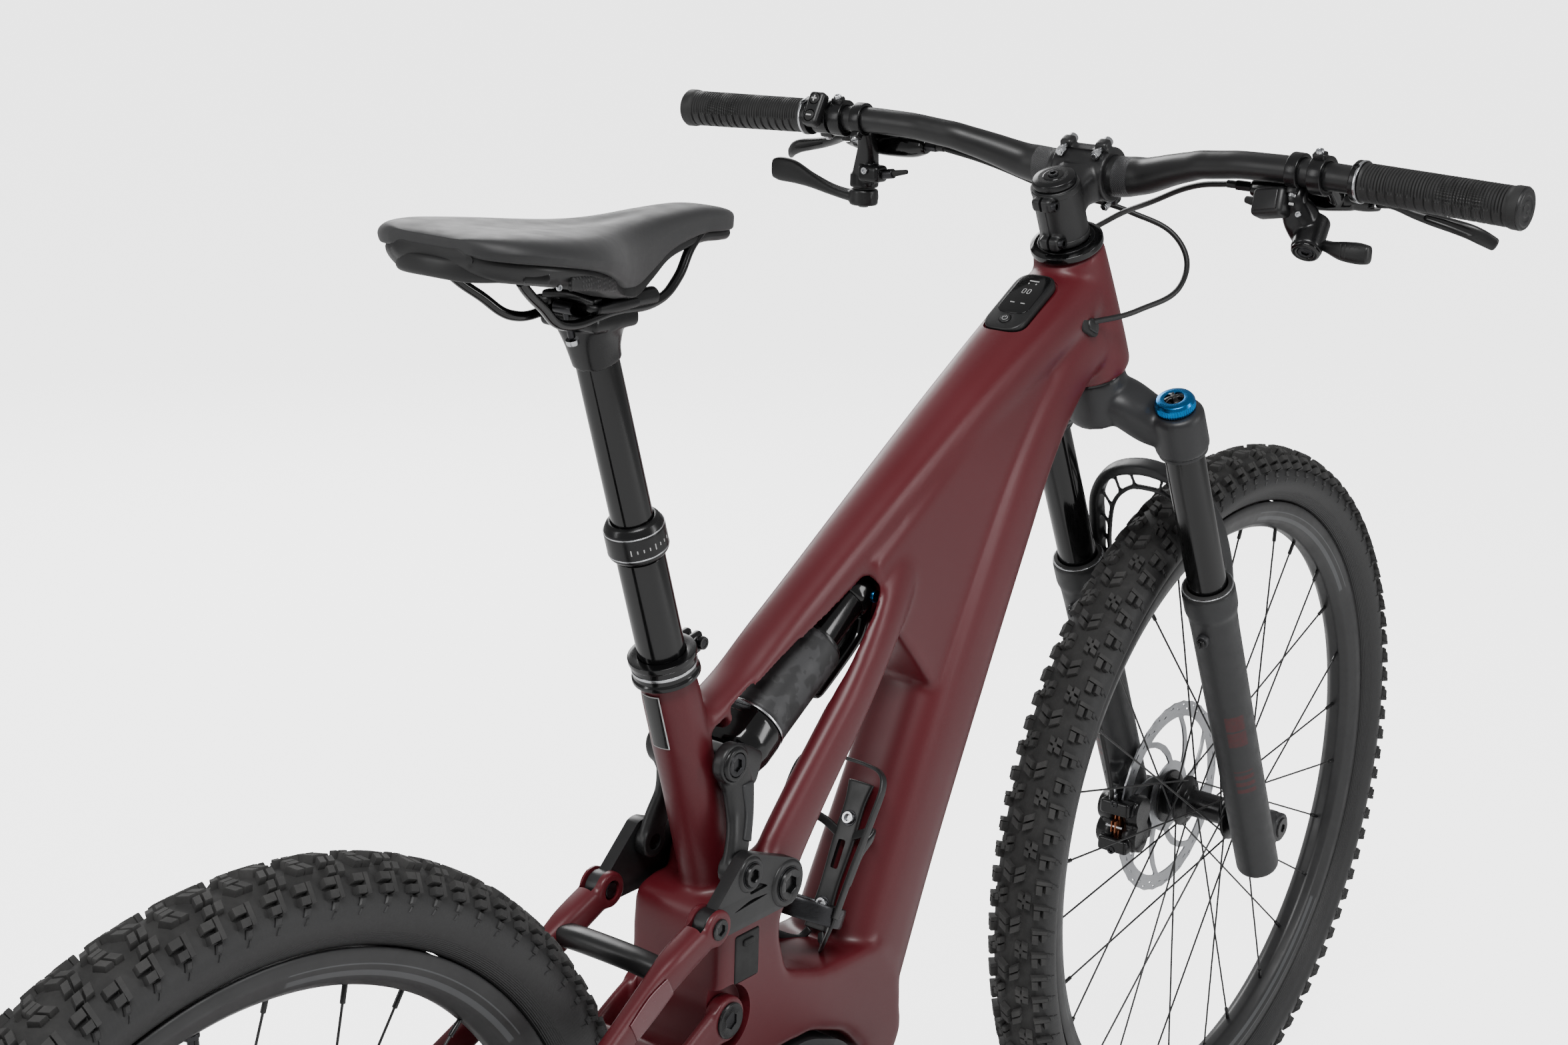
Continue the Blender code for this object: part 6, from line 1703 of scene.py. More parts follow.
def make_hoses():
    """Two hoses loop from the levers to the ports, curving down from the bar to the frame."""
    loops = {
        "right": [(494, -140, 1052.6), (506, -104, 1046), (530, -50, 1024), (556, 4, 1000), (562, 44, 972),
                  (545, 56, 948), (508, 46, 932), (471, 30, 925)],
        "left": [(494, 140, 1052.6), (506, 104, 1044), (538, 50, 1022), (572, -6, 1006), (584, -50, 984),
                 (566, -66, 954), (516, -52, 933), (471, -30, 925)],
    }
    for tag in TAGS:
        line = paint(hose("line", [at(*knot) for knot in loops[tag]], 2.5, 14), "plastic")
        piece = merge("brake_hose_" + tag, [line])
        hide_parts("hose_" + tag)
        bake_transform(piece)


# ---------------------------------------------------------------- seat post and saddle


def make_seatpost():
    """The outer tube with its collar and marks, and the sliding post with the clamp's lower half."""
    tube = [(15.3, 84), (17.4, 84), (17.4, -180), (15.3, -180)]
    pieces = [paint(turned("tube", post(0), POST_UP, tube, 80, 0.4), "gloss")]
    collar = [(15.3, 86), (19.4, 86), (21.4, 88.4), (21.9, 92), (21.9, 106), (21.2, 109), (19, 113),
              (17, 114.4), (15.3, 114.4)]
    pieces.append(paint(turned("collar", post(0), POST_UP, collar, 96, 0.8), "anodised_black"))
    for low, radius in ((90.4, 22.0), (107.2, 21.8)):
        pieces.append(ring_of("line", post(0), POST_UP, 20.6, radius, low, low + 1.0, "silver", 0.2, 96))
    marks = []
    for k in range(9):
        turn = math.radians(-150 + 12 * k)
        out = POST_AHEAD * math.cos(turn) + Y_AXIS * math.sin(turn)
        height = 4.4 if k % 4 == 0 else 2.4
        stroke = block("mark", post(98) + out * 21.95 * MM, (0.3, 0.8, height), 0, 0.05, 1,
                       axes(out, POST_UP))
        marks.append(paint(stroke, "white"))
    attach(merge("outer_post", pieces + marks), "frame", "seatpost_tube")

    pieces = [paint(turned("stanchion", post(0), POST_UP, [(0, 250), (15, 250), (15, -40), (0, -40)], 72,
                           0.4), "gloss")]
    head = [
        swept("neck", [(post(236), 15.8, 15.8), (post(246), 17, 17), (post(256, 1), 20, 19),
                       (post(264, 2), 25, 20)], Y_AXIS, 2.4, 44, 8),
        block("cradle", post(268, 2), (46, 50, 12), 0, 4, 4),
    ]
    for side in SIDES:
        head.append(rod("groove_wall", at(-128, 21 * side, 1020.4), at(-84, 21 * side, 1020.4), 6.4, 28,
                        1.6))
    body = fused("head", head, 1.1, 4)
    pieces.append(paint(body, "anodised_black", 60))
    for shift in (-18, 18):
        place = post(262, shift)
        pieces.append(paint(rod("bolt_shank", place, place + POST_UP * 24 * MM, 2.5), "dark_metal"))
        pieces.append(bolt("clamp_bolt", place - POST_UP * MM, -POST_UP, 4.6, 3.6, "silver"))
        pieces.append(paint(rod("barrel", post(284, shift, -8), post(284, shift, 8), 4.2), "dark_metal"))
    attach(merge("post_head", pieces), "seatpost_upper", "dropper_stanchion")


RAIL_MIDDLE = post(275, 2)


def make_rails():
    """The saddle's rails, their sockets and the jaws that hold them."""
    pieces = []
    for side in SIDES:
        knots = [
            at(-26, 14 * side, 1056), at(-40, 16 * side, 1047), at(-58, 20 * side, 1029),
            RAIL_MIDDLE + Vector((48, 22 * side, 2.4)) * MM, RAIL_MIDDLE + Vector((0, 22 * side, 0)) * MM,
            RAIL_MIDDLE + Vector((-48, 22 * side, -2.4)) * MM, at(-200, 27 * side, 1029),
            at(-218, 31 * side, 1042),
            at(-224, 32 * side, 1048),
        ]
        pieces.append(paint(hose("rail", knots, 3.5, 12), "gloss"))
        upper = RAIL_MIDDLE + Vector((0, 22 * side, 4.4)) * MM
        jaw = swept("jaw", [(upper - X_AXIS * 19 * MM, 7, 3.4), (upper, 7.6, 5),
                            (upper + X_AXIS * 19 * MM, 7, 3.4)], Y_AXIS, 3, 28, 8, 1.4)
        pieces.append(paint(jaw, "anodised_black"))
    for shift in (-15, 15):
        bridge = swept("yoke", [(RAIL_MIDDLE + Vector((shift, -22, 8)) * MM, 5, 3),
                                (RAIL_MIDDLE + Vector((shift, 0, 10)) * MM, 5.4, 4),
                                (RAIL_MIDDLE + Vector((shift, 22, 8)) * MM, 5, 3)], X_AXIS, 3, 24, 8, 1)
        pieces.append(paint(bridge, "anodised_black"))
    nose = swept("nose_socket", [(at(-40, 0, 1060), 19, 4.5), (at(-26, 0, 1059), 20, 6.5),
                                 (at(-12, 0, 1062), 14, 5)], Y_AXIS, 3, 36, 6, 1)
    tail = swept("tail_socket", [(at(-212, 0, 1052), 38, 5), (at(-224, 0, 1053), 42, 7),
                                 (at(-234, 0, 1057), 38, 6)], Y_AXIS, 3.4, 44, 6, 1)
    pieces += [paint(nose, "plastic"), paint(tail, "plastic")]
    attach(merge("seat_rails", pieces), "seatpost_upper", "saddle_rails")


# Along the saddle from the tail: x, half width, top, how far its edges fall, how deep the cover turns down,
# and how deep the shell under it is.
SADDLE = [
    (-271, 34, 1078.6, 4, 4.5, 5), (-266, 48, 1080.2, 7, 6, 9), (-254, 62, 1081.0, 9, 7, 12),
    (-232, 71, 1080.2, 11, 7.5, 13), (-204, 72, 1077.6, 13, 8, 13), (-180, 67, 1075.4, 15, 10, 12),
    (-158, 57.5, 1073.6, 18, 14, 10), (-136, 46, 1072.2, 20, 21, 4), (-113, 36, 1071.6, 18, 26, 2),
    (-90, 29, 1072.0, 14, 23, 2), (-66, 24.8, 1072.8, 9.5, 17, 3), (-30, 21, 1073, 6.5, 13.5, 4),
    (-8, 19.6, 1070.8, 6, 12.5, 4), (5, 16.4, 1067.8, 5, 11, 4), (12, 11, 1065.2, 4, 8.5, 3),
    (15, 6, 1063.6, 3, 6.4, 3),
]


def saddle_rings(shell=False):
    """Rings across the saddle, tail to nose, for the padded cover or for the shell under it."""
    rows = refined([(Vector((x, half, height)), *rest) for x, half, height, *rest in SADDLE], 5)
    rings = []
    for (x, half, height), fall, deep, under in rows:
        if shell:
            half -= 7.0 if half > 40 else 3.2
            height -= deep + 1.5
            deep = under
        ring = []
        middle = min(1.0, max(0.0, (-x - 60) / 60)) * min(1.0, max(0.0, (x + 262) / 40))
        for k in range(37):
            t = -1 + k / 18
            drop = fall * abs(t) ** 3.2
            hollow = 1.6 * math.exp(-((t / 0.2) ** 2)) * middle
            ridge = 1.2 * math.exp(-(((abs(t) - 0.62) / 0.2) ** 2)) * min(1.0, max(0.0, (-x - 120) / 50))
            wide = math.sin(t * math.pi / 2 * 0.94) / math.sin(math.pi / 2 * 0.94)
            ring.append(at(x, half * wide, height - drop - hollow + ridge))
        low = height - fall
        inset = 0.22 if shell else 0.05
        for k in range(1, 7):
            t = k / 6
            ring.append(at(x, half * (1 - inset * t ** 2), low - deep * t))
        for k in range(1, 8):
            ring.append(at(x, half * (1 - inset) * (1 - 2 * k / 8),
                           low - deep * (1 - 0.2 * math.sin(k * math.pi / 8))))
        for k in range(1, 7):
            t = 1 - k / 6
            ring.append(at(x, -half * (1 - inset * t ** 2), low - deep * t))
        rings.append(ring)
    return rings


def saddle_cover():
    """Smooth dark cover with a faint grain, rows of fine dots in the middle and rougher flanks."""
    look = Look("saddle_cover", (0.026, 0.026, 0.028))
    x = look.along(X_AXIS, GROUND)
    side = look.math("ABSOLUTE", look.along(Y_AXIS))
    rows = look.math("SINE", look.math("MULTIPLY", x, 1500.0))
    lanes = look.math("SINE", look.math("MULTIPLY", look.along(Y_AXIS), 1500.0))
    dots = look.math("GREATER_THAN", look.math("MULTIPLY", rows, lanes), 0.62)
    zone = look.math("MULTIPLY", look.window(x, -0.205, -0.1, 0.012), look.window(side, 0.012, 0.034, 0.004))
    dots = look.math("MULTIPLY", dots, zone)
    base = look.mix(look.noise(22, 4), (0.009, 0.009, 0.0098), (0.0138, 0.0138, 0.0147))
    # Painted shade: the dots are coloured near black, as the shade inside the perforation holes; the bump
    # also sinks them.
    base = look.mix(dots, base, (0.004, 0.004, 0.004))
    look.set(Base_Color=base)
    look.set(Roughness=look.band(look.noise(70, 4), 0.3, 0.7, 0.5, 0.62))
    look.set(Sheen_Weight=0.12, Sheen_Roughness=0.5)
    look.bump(dots, -0.6, 0.3)
    look.bump(look.noise(1500, 3), 0.3, 0.06)
    return look.material


def dimpled_rubber():
    """Black rubber with rows of small round dimples."""
    look = Look("dimpled_rubber", (0.008, 0.008, 0.0083))
    cells = look.add("ShaderNodeTexVoronoi", {"Vector": look.place, "Scale": 340.0,
                                              "Randomness": 0.15}).outputs["Distance"]
    dots = look.band(cells, 0.2, 0.45)
    look.set(Base_Color=look.mix(dots, (0.022, 0.022, 0.023), (0.007, 0.007, 0.0073)))
    look.set(Roughness=look.band(look.noise(90, 4), 0.3, 0.7, 0.4, 0.55))
    look.bump(dots, 0.6, 0.6)
    return look.material


# The pad is held below this height, in metres, and the cloth run has this many frames.
PAD_HELD_BELOW = 1.052
CLOTH_FRAMES = 12


def puffed(pad, most):
    """Fills the pad with a little pressure by a short cloth run; no point moves further than most."""
    start = [vertex.co.copy() for vertex in pad.data.vertices]
    held = pad.vertex_groups.new(name="held")
    low = [v.index for v in pad.data.vertices if v.co.z < PAD_HELD_BELOW]
    held.add(low, 1.0, "REPLACE")
    cloth = pad.modifiers.new("cloth", "CLOTH")
    cloth.settings.quality = 4
    cloth.settings.vertex_group_mass = "held"
    cloth.settings.use_pressure = True
    cloth.settings.uniform_pressure_force = 3.0
    cloth.settings.tension_stiffness = 40
    cloth.settings.compression_stiffness = 40
    cloth.settings.effector_weights.gravity = 0
    cloth.point_cache.frame_start = 1
    cloth.point_cache.frame_end = CLOTH_FRAMES
    scene = bpy.context.scene
    for step in range(1, CLOTH_FRAMES + 1):
        scene.frame_set(step)
    name = pad.name
    graph = bpy.context.evaluated_depsgraph_get()
    mesh = bpy.data.meshes.new_from_object(pad.evaluated_get(graph))
    for vertex, first in zip(mesh.vertices, start):
        move = vertex.co - first
        if move.length > most * MM:
            vertex.co = first + move.normalized() * most * MM
    bpy.data.objects.remove(pad, do_unlink=True)
    scene.frame_set(1)
    return new(name, mesh)


def make_saddle():
    """The saddle's padded cover, its shell, bumper, patches and screws."""
    pad = loft("pad", saddle_rings())
    pad = puffed(pad, 1.2)
    ease = pad.modifiers.new("ease", "SMOOTH")
    ease.iterations = 2
    pad = baked(pad)
    sub = pad.modifiers.new("fine", "SUBSURF")
    sub.levels = 1
    pad = baked(pad)
    pieces = [paint(pad, saddle_cover(), 70)]
    shell = loft("shell", saddle_rings(shell=True))
    pieces.append(paint(shell, "plastic", 60))
    bumper = swept("bumper", [(at(-252, -45, 1056), 3, 2.4), (at(-266, -28, 1058.6), 6, 3),
                              (at(-271, 0, 1060), 6.6, 3.2), (at(-266, 28, 1058.6), 6, 3),
                              (at(-252, 45, 1056), 3, 2.4)], Z_AXIS, 3, 28, 8, 1.5)
    pieces.append(paint(bumper, "plastic"))
    dimpled = dimpled_rubber()
    for side in SIDES:
        patch = [(at(-214, 64.2 * side, 1050), 4.4, 1.6), (at(-196, 62.6 * side, 1048.5), 5.2, 1.8),
                 (at(-170, 54.6 * side, 1043.5), 5.4, 1.8), (at(-152, 46 * side, 1039), 4.2, 1.6)]
        pieces.append(paint(swept("patch", patch, Z_AXIS, 3, 24, 8, 1), dimpled))
        badge = [(at(-246, 56 * side, 1057), 3.6, 1.4), (at(-232, 62.4 * side, 1055.4), 3.8, 1.4)]
        pieces.append(paint(swept("badge", badge, Z_AXIS, 3, 24, 6, 0.8), "gloss"))
        for x, y in ((-224, 63.2), (-160, 48.6)):
            pieces.append(bolt("shell_screw", at(x, y * side, 1049 + (x + 224) * 0.1), Y_AXIS * side, 2.0,
                               1.6, "silver"))
    attach(merge("saddle_pad", pieces), "seatpost_upper", "saddle")


# ---------------------------------------------------------------- suspension

MAIN = HINGE["rear_suspension"]
HORST = HINGE["horst_pivot"]
ROCKER = HINGE["rocker_pivot"]
STAY = at(-47.5, 0, 560.6)
YOKE = at(-6, 0, 588)


def flat(point):
    """A point's x and z in millimetres, as seen from the side."""
    return (point.x - GROUND.x) / MM, point.z / MM


def make_rockers():
    """Both rocker plates with their pockets, bosses, bolts and axles."""
    outline = circle(*flat(STAY), 12.4, 20, 75, 275)
    outline += circle(*flat(ROCKER), 19.4, 20, 290, 430)
    outline += circle(*flat(YOKE), 15.4, 10, 70, 120)
    for side, tag in zip(SIDES, TAGS):
        near, far = sorted((46 * side, 56.5 * side))
        body = plate("arm", [outline], near, far, 2.6, 4)
        stay, rocker, yoke = (Vector(flat(p)) for p in (STAY, ROCKER, YOKE))
        middle = (stay + rocker + yoke) / 3

        def pocket(first, second, third, shrink):
            centre = (first + second + third) / 3
            return rounded([tuple(centre + (p - centre) * shrink) for p in (first, second, third)], 5)

        low = pocket(stay, rocker, middle + (middle - yoke) * 0.1, 0.50)
        high = pocket(rocker + (yoke - rocker) * 0.12, yoke, middle + (stay - middle) * 0.35, 0.46)
        depth = sorted((53.4 * side, 60 * side))
        body = drilled(body, [plate("room", [low], *depth, 0.8, 2), plate("room", [high], *depth, 0.8, 2)])
        pieces = [paint(body, "cast", 40)]
        for point, radius, head in ((STAY, 12.2, 8), (ROCKER, 18.6, 12.5), (YOKE, 14, 9)):
            boss = [(head - 1, 50), (radius, 50), (radius, 56.6), (radius - 1.6, 58.2), (head + 1.2, 58.2),
                    (head, 57), (head - 1, 57)]
            pieces.append(paint(turned("boss", across(point, 0), Y_AXIS * side, boss, 64, 0.7), "cast"))
            pieces.append(bolt("pivot_bolt", across(point, 56.4 * side), Y_AXIS * side, head, 4.2,
                               "anodised_black", 0.5))
            ring_line = ring_of("edge", across(point, 0), Y_AXIS * side, head + 0.2, head + 1.1, 57.4, 58.5,
                                "dark_metal", 0.2)
            pieces.append(ring_line)
        for point, radius, close in ((ROCKER, 8, 32), (YOKE, 6, 35.5), (STAY, 6, 41)):
            pieces.append(paint(rod("axle", across(point, close * side), across(point, 57 * side), radius),
                                "dark_metal"))
        attach(merge("rocker_arm_" + tag, pieces), "rocker", "rocker_" + tag)


def shock_sleeve():
    """Matte dark grey with darker blotches, as on a printed protective wrap."""
    look = Look("shock_sleeve", (0.05, 0.05, 0.052))
    blotch = look.band(look.noise(46, 2, (1, 1, 0.7)), 0.5, 0.53)
    fine = look.band(look.noise(90, 3), 0.56, 0.6)
    tint = look.mix(blotch, (0.034, 0.034, 0.036), (0.014, 0.014, 0.015))
    look.set(Base_Color=look.mix(look.math("MULTIPLY", fine, 0.6), tint, (0.008, 0.008, 0.0085)))
    look.set(Roughness=look.band(look.noise(60, 3), 0.3, 0.7, 0.46, 0.6))
    look.bump(look.noise(900, 2), 0.3, 0.06)
    return look.material


DAMPER_TOP = shock(24, -5)
DAMPER_DOWN = (shock(207, -30) - DAMPER_TOP).normalized()
DAMPER_UP = Y_AXIS.cross(DAMPER_DOWN)


def damper(back, up=0.0, side=0.0):
    """A point by its distance down the damper's own line, a little below the axis it slides on."""
    return DAMPER_TOP + (DAMPER_DOWN * (back - 24) + DAMPER_UP * up + Y_AXIS * side) * MM


def make_shock():
    """The shock's air can with its cap and clevis, and the sliding tube with its head and reservoir."""
    origin = damper(0)
    down = DAMPER_DOWN
    can = [(21.4, 84), (25.6, 84), (26.2, 86), (26.2, 164), (25.4, 166), (21.4, 166)]
    pieces = [paint(turned("can", origin, down, can, 96, 0.6), shock_sleeve())]
    cap = [(0, 205), (12, 205), (20.6, 203), (25.4, 197), (27.2, 188), (27.2, 172), (26.2, 168.4),
           (0, 168.4)]

    def flattened(radius, angle, _):
        lift = math.cos(angle - math.pi / 2 * 3)
        return min(radius, 22 / max(0.2, lift)) if lift > 0.75 else radius

    pieces.append(paint(turned("cap", origin, down, cap, 120, 1.6, flattened), "gloss"))
    pieces.append(ring_of("light_ring", origin, down, 20, 26.8, 166.3, 168.1, "silver", 0.3, 96))
    pieces.append(ring_of("neck_ring", origin, down, 21.4, 24.4, 80.4, 84, "anodised_black", 0.5, 96))
    clevis = fused("clevis", [block("clevis", damper(209, 4), (16, 30, 26),
                                    math.degrees(math.atan2(-down.z, -down.x)), 3, 3)], 1.2, 2)
    pieces.append(paint(clevis, "anodised_black"))
    attach(merge("shock_body", pieces), "shock", "shock_can")

    tube = [(0, 34), (17.6, 34), (17.6, 134), (0, 134)]
    pieces = [paint(turned("tube", origin, down, tube, 72, 0.5), "gloss")]
    head = [
        turned("head", origin, down, [(0, 12), (15, 12), (20, 17), (20.4, 24), (20.4, 33), (19, 36.5),
                                      (0, 36.5)], 64, 2),
        pin("eyelet", SHOCK_EYE, 13, -13, 13, soft=1.5),
        swept("tank", [(damper(18, -14), 11, 9), (damper(34, -30), 10.5, 7), (damper(50, -35), 10.5, 6),
                       (damper(98, -35), 10.5, 6), (damper(104, -34.6), 8.5, 4.6)], Y_AXIS, 2.4, 40, 8, 2),
    ]
    body = drilled(fused("head", head, 1.1, 4), [pin("eye", SHOCK_EYE, 7.6, -20, 20)])
    pieces.append(paint(body, "gloss", 60))
    dial = rod("dial", damper(22, -4, -18), damper(22, -4, -22), 5, 40, 0.8)
    pieces.append(paint(dial, "blue"))
    attach(merge("shock_shaft", pieces), "shock_damper", "shock_damper")


def make_yoke():
    """The forked link from the shock's lower end to the two rockers."""
    solids = [swept("body", [(damper(207, 3), 27, 17), (damper(213, 5), 32, 19), (damper(223, 10), 31, 16)],
                    Y_AXIS, 2.8, 48, 6, 3)]
    for side in SIDES:
        path = [(damper(206, 2, 29 * side), 5.5, 14), (shock(224, -8, 30 * side), 6, 17),
                (at(7, 31 * side, 648), 6, 15), (at(7, 34 * side, 626), 5.6, 13.5),
                (at(0, 38.5 * side, 606), 5.6, 12), (at(-6, 39.8 * side, 590), 5.6, 12)]
        solids.append(swept("arm", path, Y_AXIS, 2.6, 36, 8))
        solids.append(rod("end", across(YOKE, 34.4 * side), across(YOKE, 45.2 * side), 12.4, 40, 1.2))
        solids.append(rod("ear", shock(228, -1, 26 * side), shock(228, -1, 36.5 * side), 15.5, 48, 2))
    body = fused("fork", solids, 1.2, 5)
    body = drilled(body, [rod("seat_room", post(-235), post(10), 24.4),
                          rod("can_room", damper(160), damper(205.4), 27.8),
                          pin("bore", YOKE, 6.4, -60, 60)])
    pieces = [paint(body, "cast", 60)]
    for side in SIDES:
        ridge = [(at(13, 36.6 * side, 648), 1.6, 7), (at(12, 39.4 * side, 626), 1.4, 5),
                 (at(5, 43.6 * side, 608), 1.2, 5.2)]
        pieces.append(paint(swept("ridge", ridge, Y_AXIS, 3, 24, 8, 1), "charcoal"))
        place = shock(228, -1, 36.4 * side)
        rim = [(9.4, -1), (13.4, -1), (13.4, 1), (12, 2.4), (9.4, 2.4)]
        pieces.append(paint(turned("rim", place, Y_AXIS * side, rim, 56, 0.6), "anodised_black"))
        pieces.append(bolt("shock_bolt", place, Y_AXIS * side, 9.2, 2.6, "dark_metal", 0.5))
    attach(merge("shock_fork", pieces), "shock", "shock_yoke")


def make_chainstay():
    """The chainstays with their bridge, main axle and ribbed chain guard."""
    solids = []
    for side in SIDES:
        path = [(-14, 40.2, 470.2, 5.6, 16), (-42, 41, 458, 4.9, 16), (-150, 41, 402, 4.8, 13.5),
                (-200, 47, 376, 6.5, 14), (-310, 65, 318, 6, 14), (-348, 68.5, 300, 5.2, 14),
                (-378, 68.5, 285.3, 5.2, 12.4)]
        solids.append(swept("stay", [(at(x, y * side, z), w, d) for x, y, z, w, d in path], Y_AXIS, 2.8, 36,
                            8))
        solids.append(rod("ear", across(MAIN, 34 * side), across(MAIN, 46 * side), 18, 48, 1.5))
        solids.append(rod("tip", across(HORST, 63.2 * side), across(HORST, 73.6 * side), 14, 44, 1.5))
    solids.append(block("bridge", at(-66, 0, 450), (18, 88, 22), 20, 5))
    body = fused("stays", solids, 1.4, 6)
    body = drilled(body, [pin("bore", HORST, 6.4, -90, 90), pin("main_bore", MAIN, 8.6, -90, -32),
                          pin("main_bore", MAIN, 8.6, 32, 90)])
    pieces = [paint(body, "paint", 50), paint(pin("axle", MAIN, 9, -47, 47), "dark_metal")]
    for side in SIDES:
        pieces.append(bolt("main_bolt", across(MAIN, 46 * side), Y_AXIS * side, 14, 2.2, "anodised_black",
                           0.42))
    guard = swept("guard", [(at(-70, -47.4, 460), 1.6, 12), (at(-150, -47, 417), 1.6, 11),
                            (at(-205, -55, 388), 1.6, 10), (at(-280, -67, 350), 1.6, 9)], Y_AXIS, 3.4, 24,
                  10, 1.5)
    ribs = [guard]
    for k in range(9):
        t = k / 8
        place = at(-78 - 120 * t, -48.6 - 6.4 * t ** 2, 456 - 64 * t)
        ribs.append(block("rib", place, (5, 3, 18), 28, 1.2, 2))
    pieces += [paint(part, "rubber") for part in ribs]
    attach(merge("lower_stays", pieces), "swingarm", "chainstays")


def make_seatstay():
    """The seatstays with their bridge, dropouts, hanger, pins and bolts."""
    solids = []
    for side in SIDES:
        path = [(-52, 51, 557.5, 11, 12), (-84, 51, 544, 10.5, 13), (-112, 52, 529, 8, 13),
                (-180, 58, 493, 7.2, 12.6), (-250, 66, 456, 7, 12), (-350, 73, 404, 6.5, 12),
                (-412, 76.6, 374, 4.6, 15), (-441, 77.7, 357, 3.4, 17)]
        solids.append(swept("stay", [(at(x, y * side, z), w, d) for x, y, z, w, d in path], Y_AXIS, 2.8, 36,
                            8))
        outline = [(-464, 350), (-458, 376), (-430, 384), (-404, 366), (-366, 300), (-362, 284), (-370, 272),
                   (-386, 272), (-452, 334)]
        solids.append(plate("dropout", [rounded(outline, 8)], *sorted((74.3 * side, 81 * side)), 1.6))
        solids.append(rod("ear", across(STAY, 40 * side), across(STAY, 62 * side), 14, 44, 2))
    bends = [(-94, -47, 540), (-98, -22, 544), (-98, 22, 544), (-94, 47, 540)]
    bridge = swept("bridge", [(at(*bend), 8.4, 10) for bend in bends], Z_AXIS, 2.6, 36, 8)
    bridge = paint(bridge, "satin")
    hanger = [(-450, 345), (-470, 330), (-464, 306), (-448, 308), (-436, 340)]
    solids.append(plate("hanger", [rounded(hanger, 6)], -81, -75.4, 1.2))
    body = fused("stays", solids, 1.4, 5)
    cutters = []
    for side in SIDES:
        cutters.append(pin("slot", STAY, 18.4, *sorted((45.6 * side, 58.6 * side))))
        cutters.append(pin("hole", STAY, 7.9, *sorted((30 * side, 70 * side))))
        cutters.append(pin("axle_hole", AXLES["rear"], 6.2, *sorted((72 * side, 90 * side))))
    body = drilled(body, cutters)
    pieces = [paint(body, "paint", 50), paint(pin("axle", AXLES["rear"], 6, -83, 83), "anodised_black"),
              bridge]
    for side in SIDES:
        pieces.append(paint(rod("horst_pin", across(HORST, 62.5 * side), across(HORST, 76 * side), 6),
                            "dark_metal"))
        pieces.append(bolt("horst_bolt", across(HORST, 80.4 * side), Y_AXIS * side, 9.4, 2.6,
                           "anodised_black"))
        pieces.append(bolt("axle_end", across(AXLES["rear"], 81 * side), Y_AXIS * side, 9, 3,
                           "anodised_black"))
        film = [(at(-100, 60.4 * side, 535), 0.8, 8), (at(-118, 60.3 * side, 526), 0.8, 10),
                (at(-140, 61.6 * side, 514.5), 0.8, 8.6)]
        pieces.append(paint(swept("film", film, Y_AXIS, 2.4, 24, 8, 0.3), "film"))
        pieces.append(bolt("stay_bolt", across(STAY, 61.6 * side), Y_AXIS * side, 8, 2, "anodised_black"))
    attach(merge("upper_stays", pieces), "seatstay", "seatstays")


# ---------------------------------------------------------------- drivetrain

CRANK_HEIGHT = 350
CRANK_LENGTH = 165
CHAIN_PITCH = 12.7


def make_cranks():
    """Both crank arms, each with its half of the axle."""
    for side, tag in zip(SIDES, TAGS):
        ahead = -side
        path = [(0, 66.5, 8, 19), (40, 68.5, 7.4, 15), (90, 69.5, 7, 13.4), (130, 70, 6.8, 12.8),
                (162, 71, 6.8, 12.8), (174, 71, 6, 9)]
        arm = swept("arm", [(at(x * ahead, y * side, CRANK_HEIGHT), w, d) for x, y, w, d in path], Y_AXIS,
                    2.6, 40, 8, 2)
        hub = turned("hub", CRANK, Y_AXIS * side, [(0, 58.3), (21, 58.3), (21, 75), (18, 76.4), (0, 76.4)],
                     56, 2)
        body = fused("arm", [arm, hub], 1.3, 5)
        body = drilled(body, [swept("groove", [(at(34 * ahead, 77.4 * side, CRANK_HEIGHT), 3.4, 5),
                                               (at(134 * ahead, 78.2 * side, CRANK_HEIGHT), 3.4, 4)],
                                    Y_AXIS, 2.6, 24, 8, 2)])
        pieces = [paint(body, "satin", 60)]
        pieces.append(bolt("crank_bolt", across(CRANK, 75.6 * side), Y_AXIS * side, 11, 2.4,
                           "anodised_black"))
        end = at(CRANK_LENGTH * ahead, 0, CRANK_HEIGHT)
        pieces.append(paint(rod("pedal_axle", across(end, 70 * side), across(end, 168 * side), 6, 32, 1),
                            "silver"))
        spindle = [(12, 58.4), (12, -2), (0, -2), (0, 58.4)]
        pieces.append(paint(turned("spindle", CRANK, Y_AXIS * side, spindle, 48, 0.5), "anodised_black"))
        attach(merge("crank_arm_" + tag, pieces), "crankset", "crank_" + tag)


def toothed(x, z, radius, height, teeth, floor, start=0.0):
    """The outline of a toothed wheel: waves of a given height, cut off at the floor's share of it."""
    steps = 8 * teeth
    edge = []
    for k in range(steps):
        angle = 2 * math.pi * k / steps + start
        reach = radius + height * max(floor, math.cos(teeth * angle))
        edge.append((x + reach * math.cos(angle), z + reach * math.sin(angle)))
    return edge


def opening(x, z, turn, corners, radius):
    """A rounded hole in a wheel, from corners given as a distance and an angle from its middle line."""
    return rounded([(x + r * math.cos(turn + a), z + r * math.sin(turn + a)) for r, a in corners], radius)


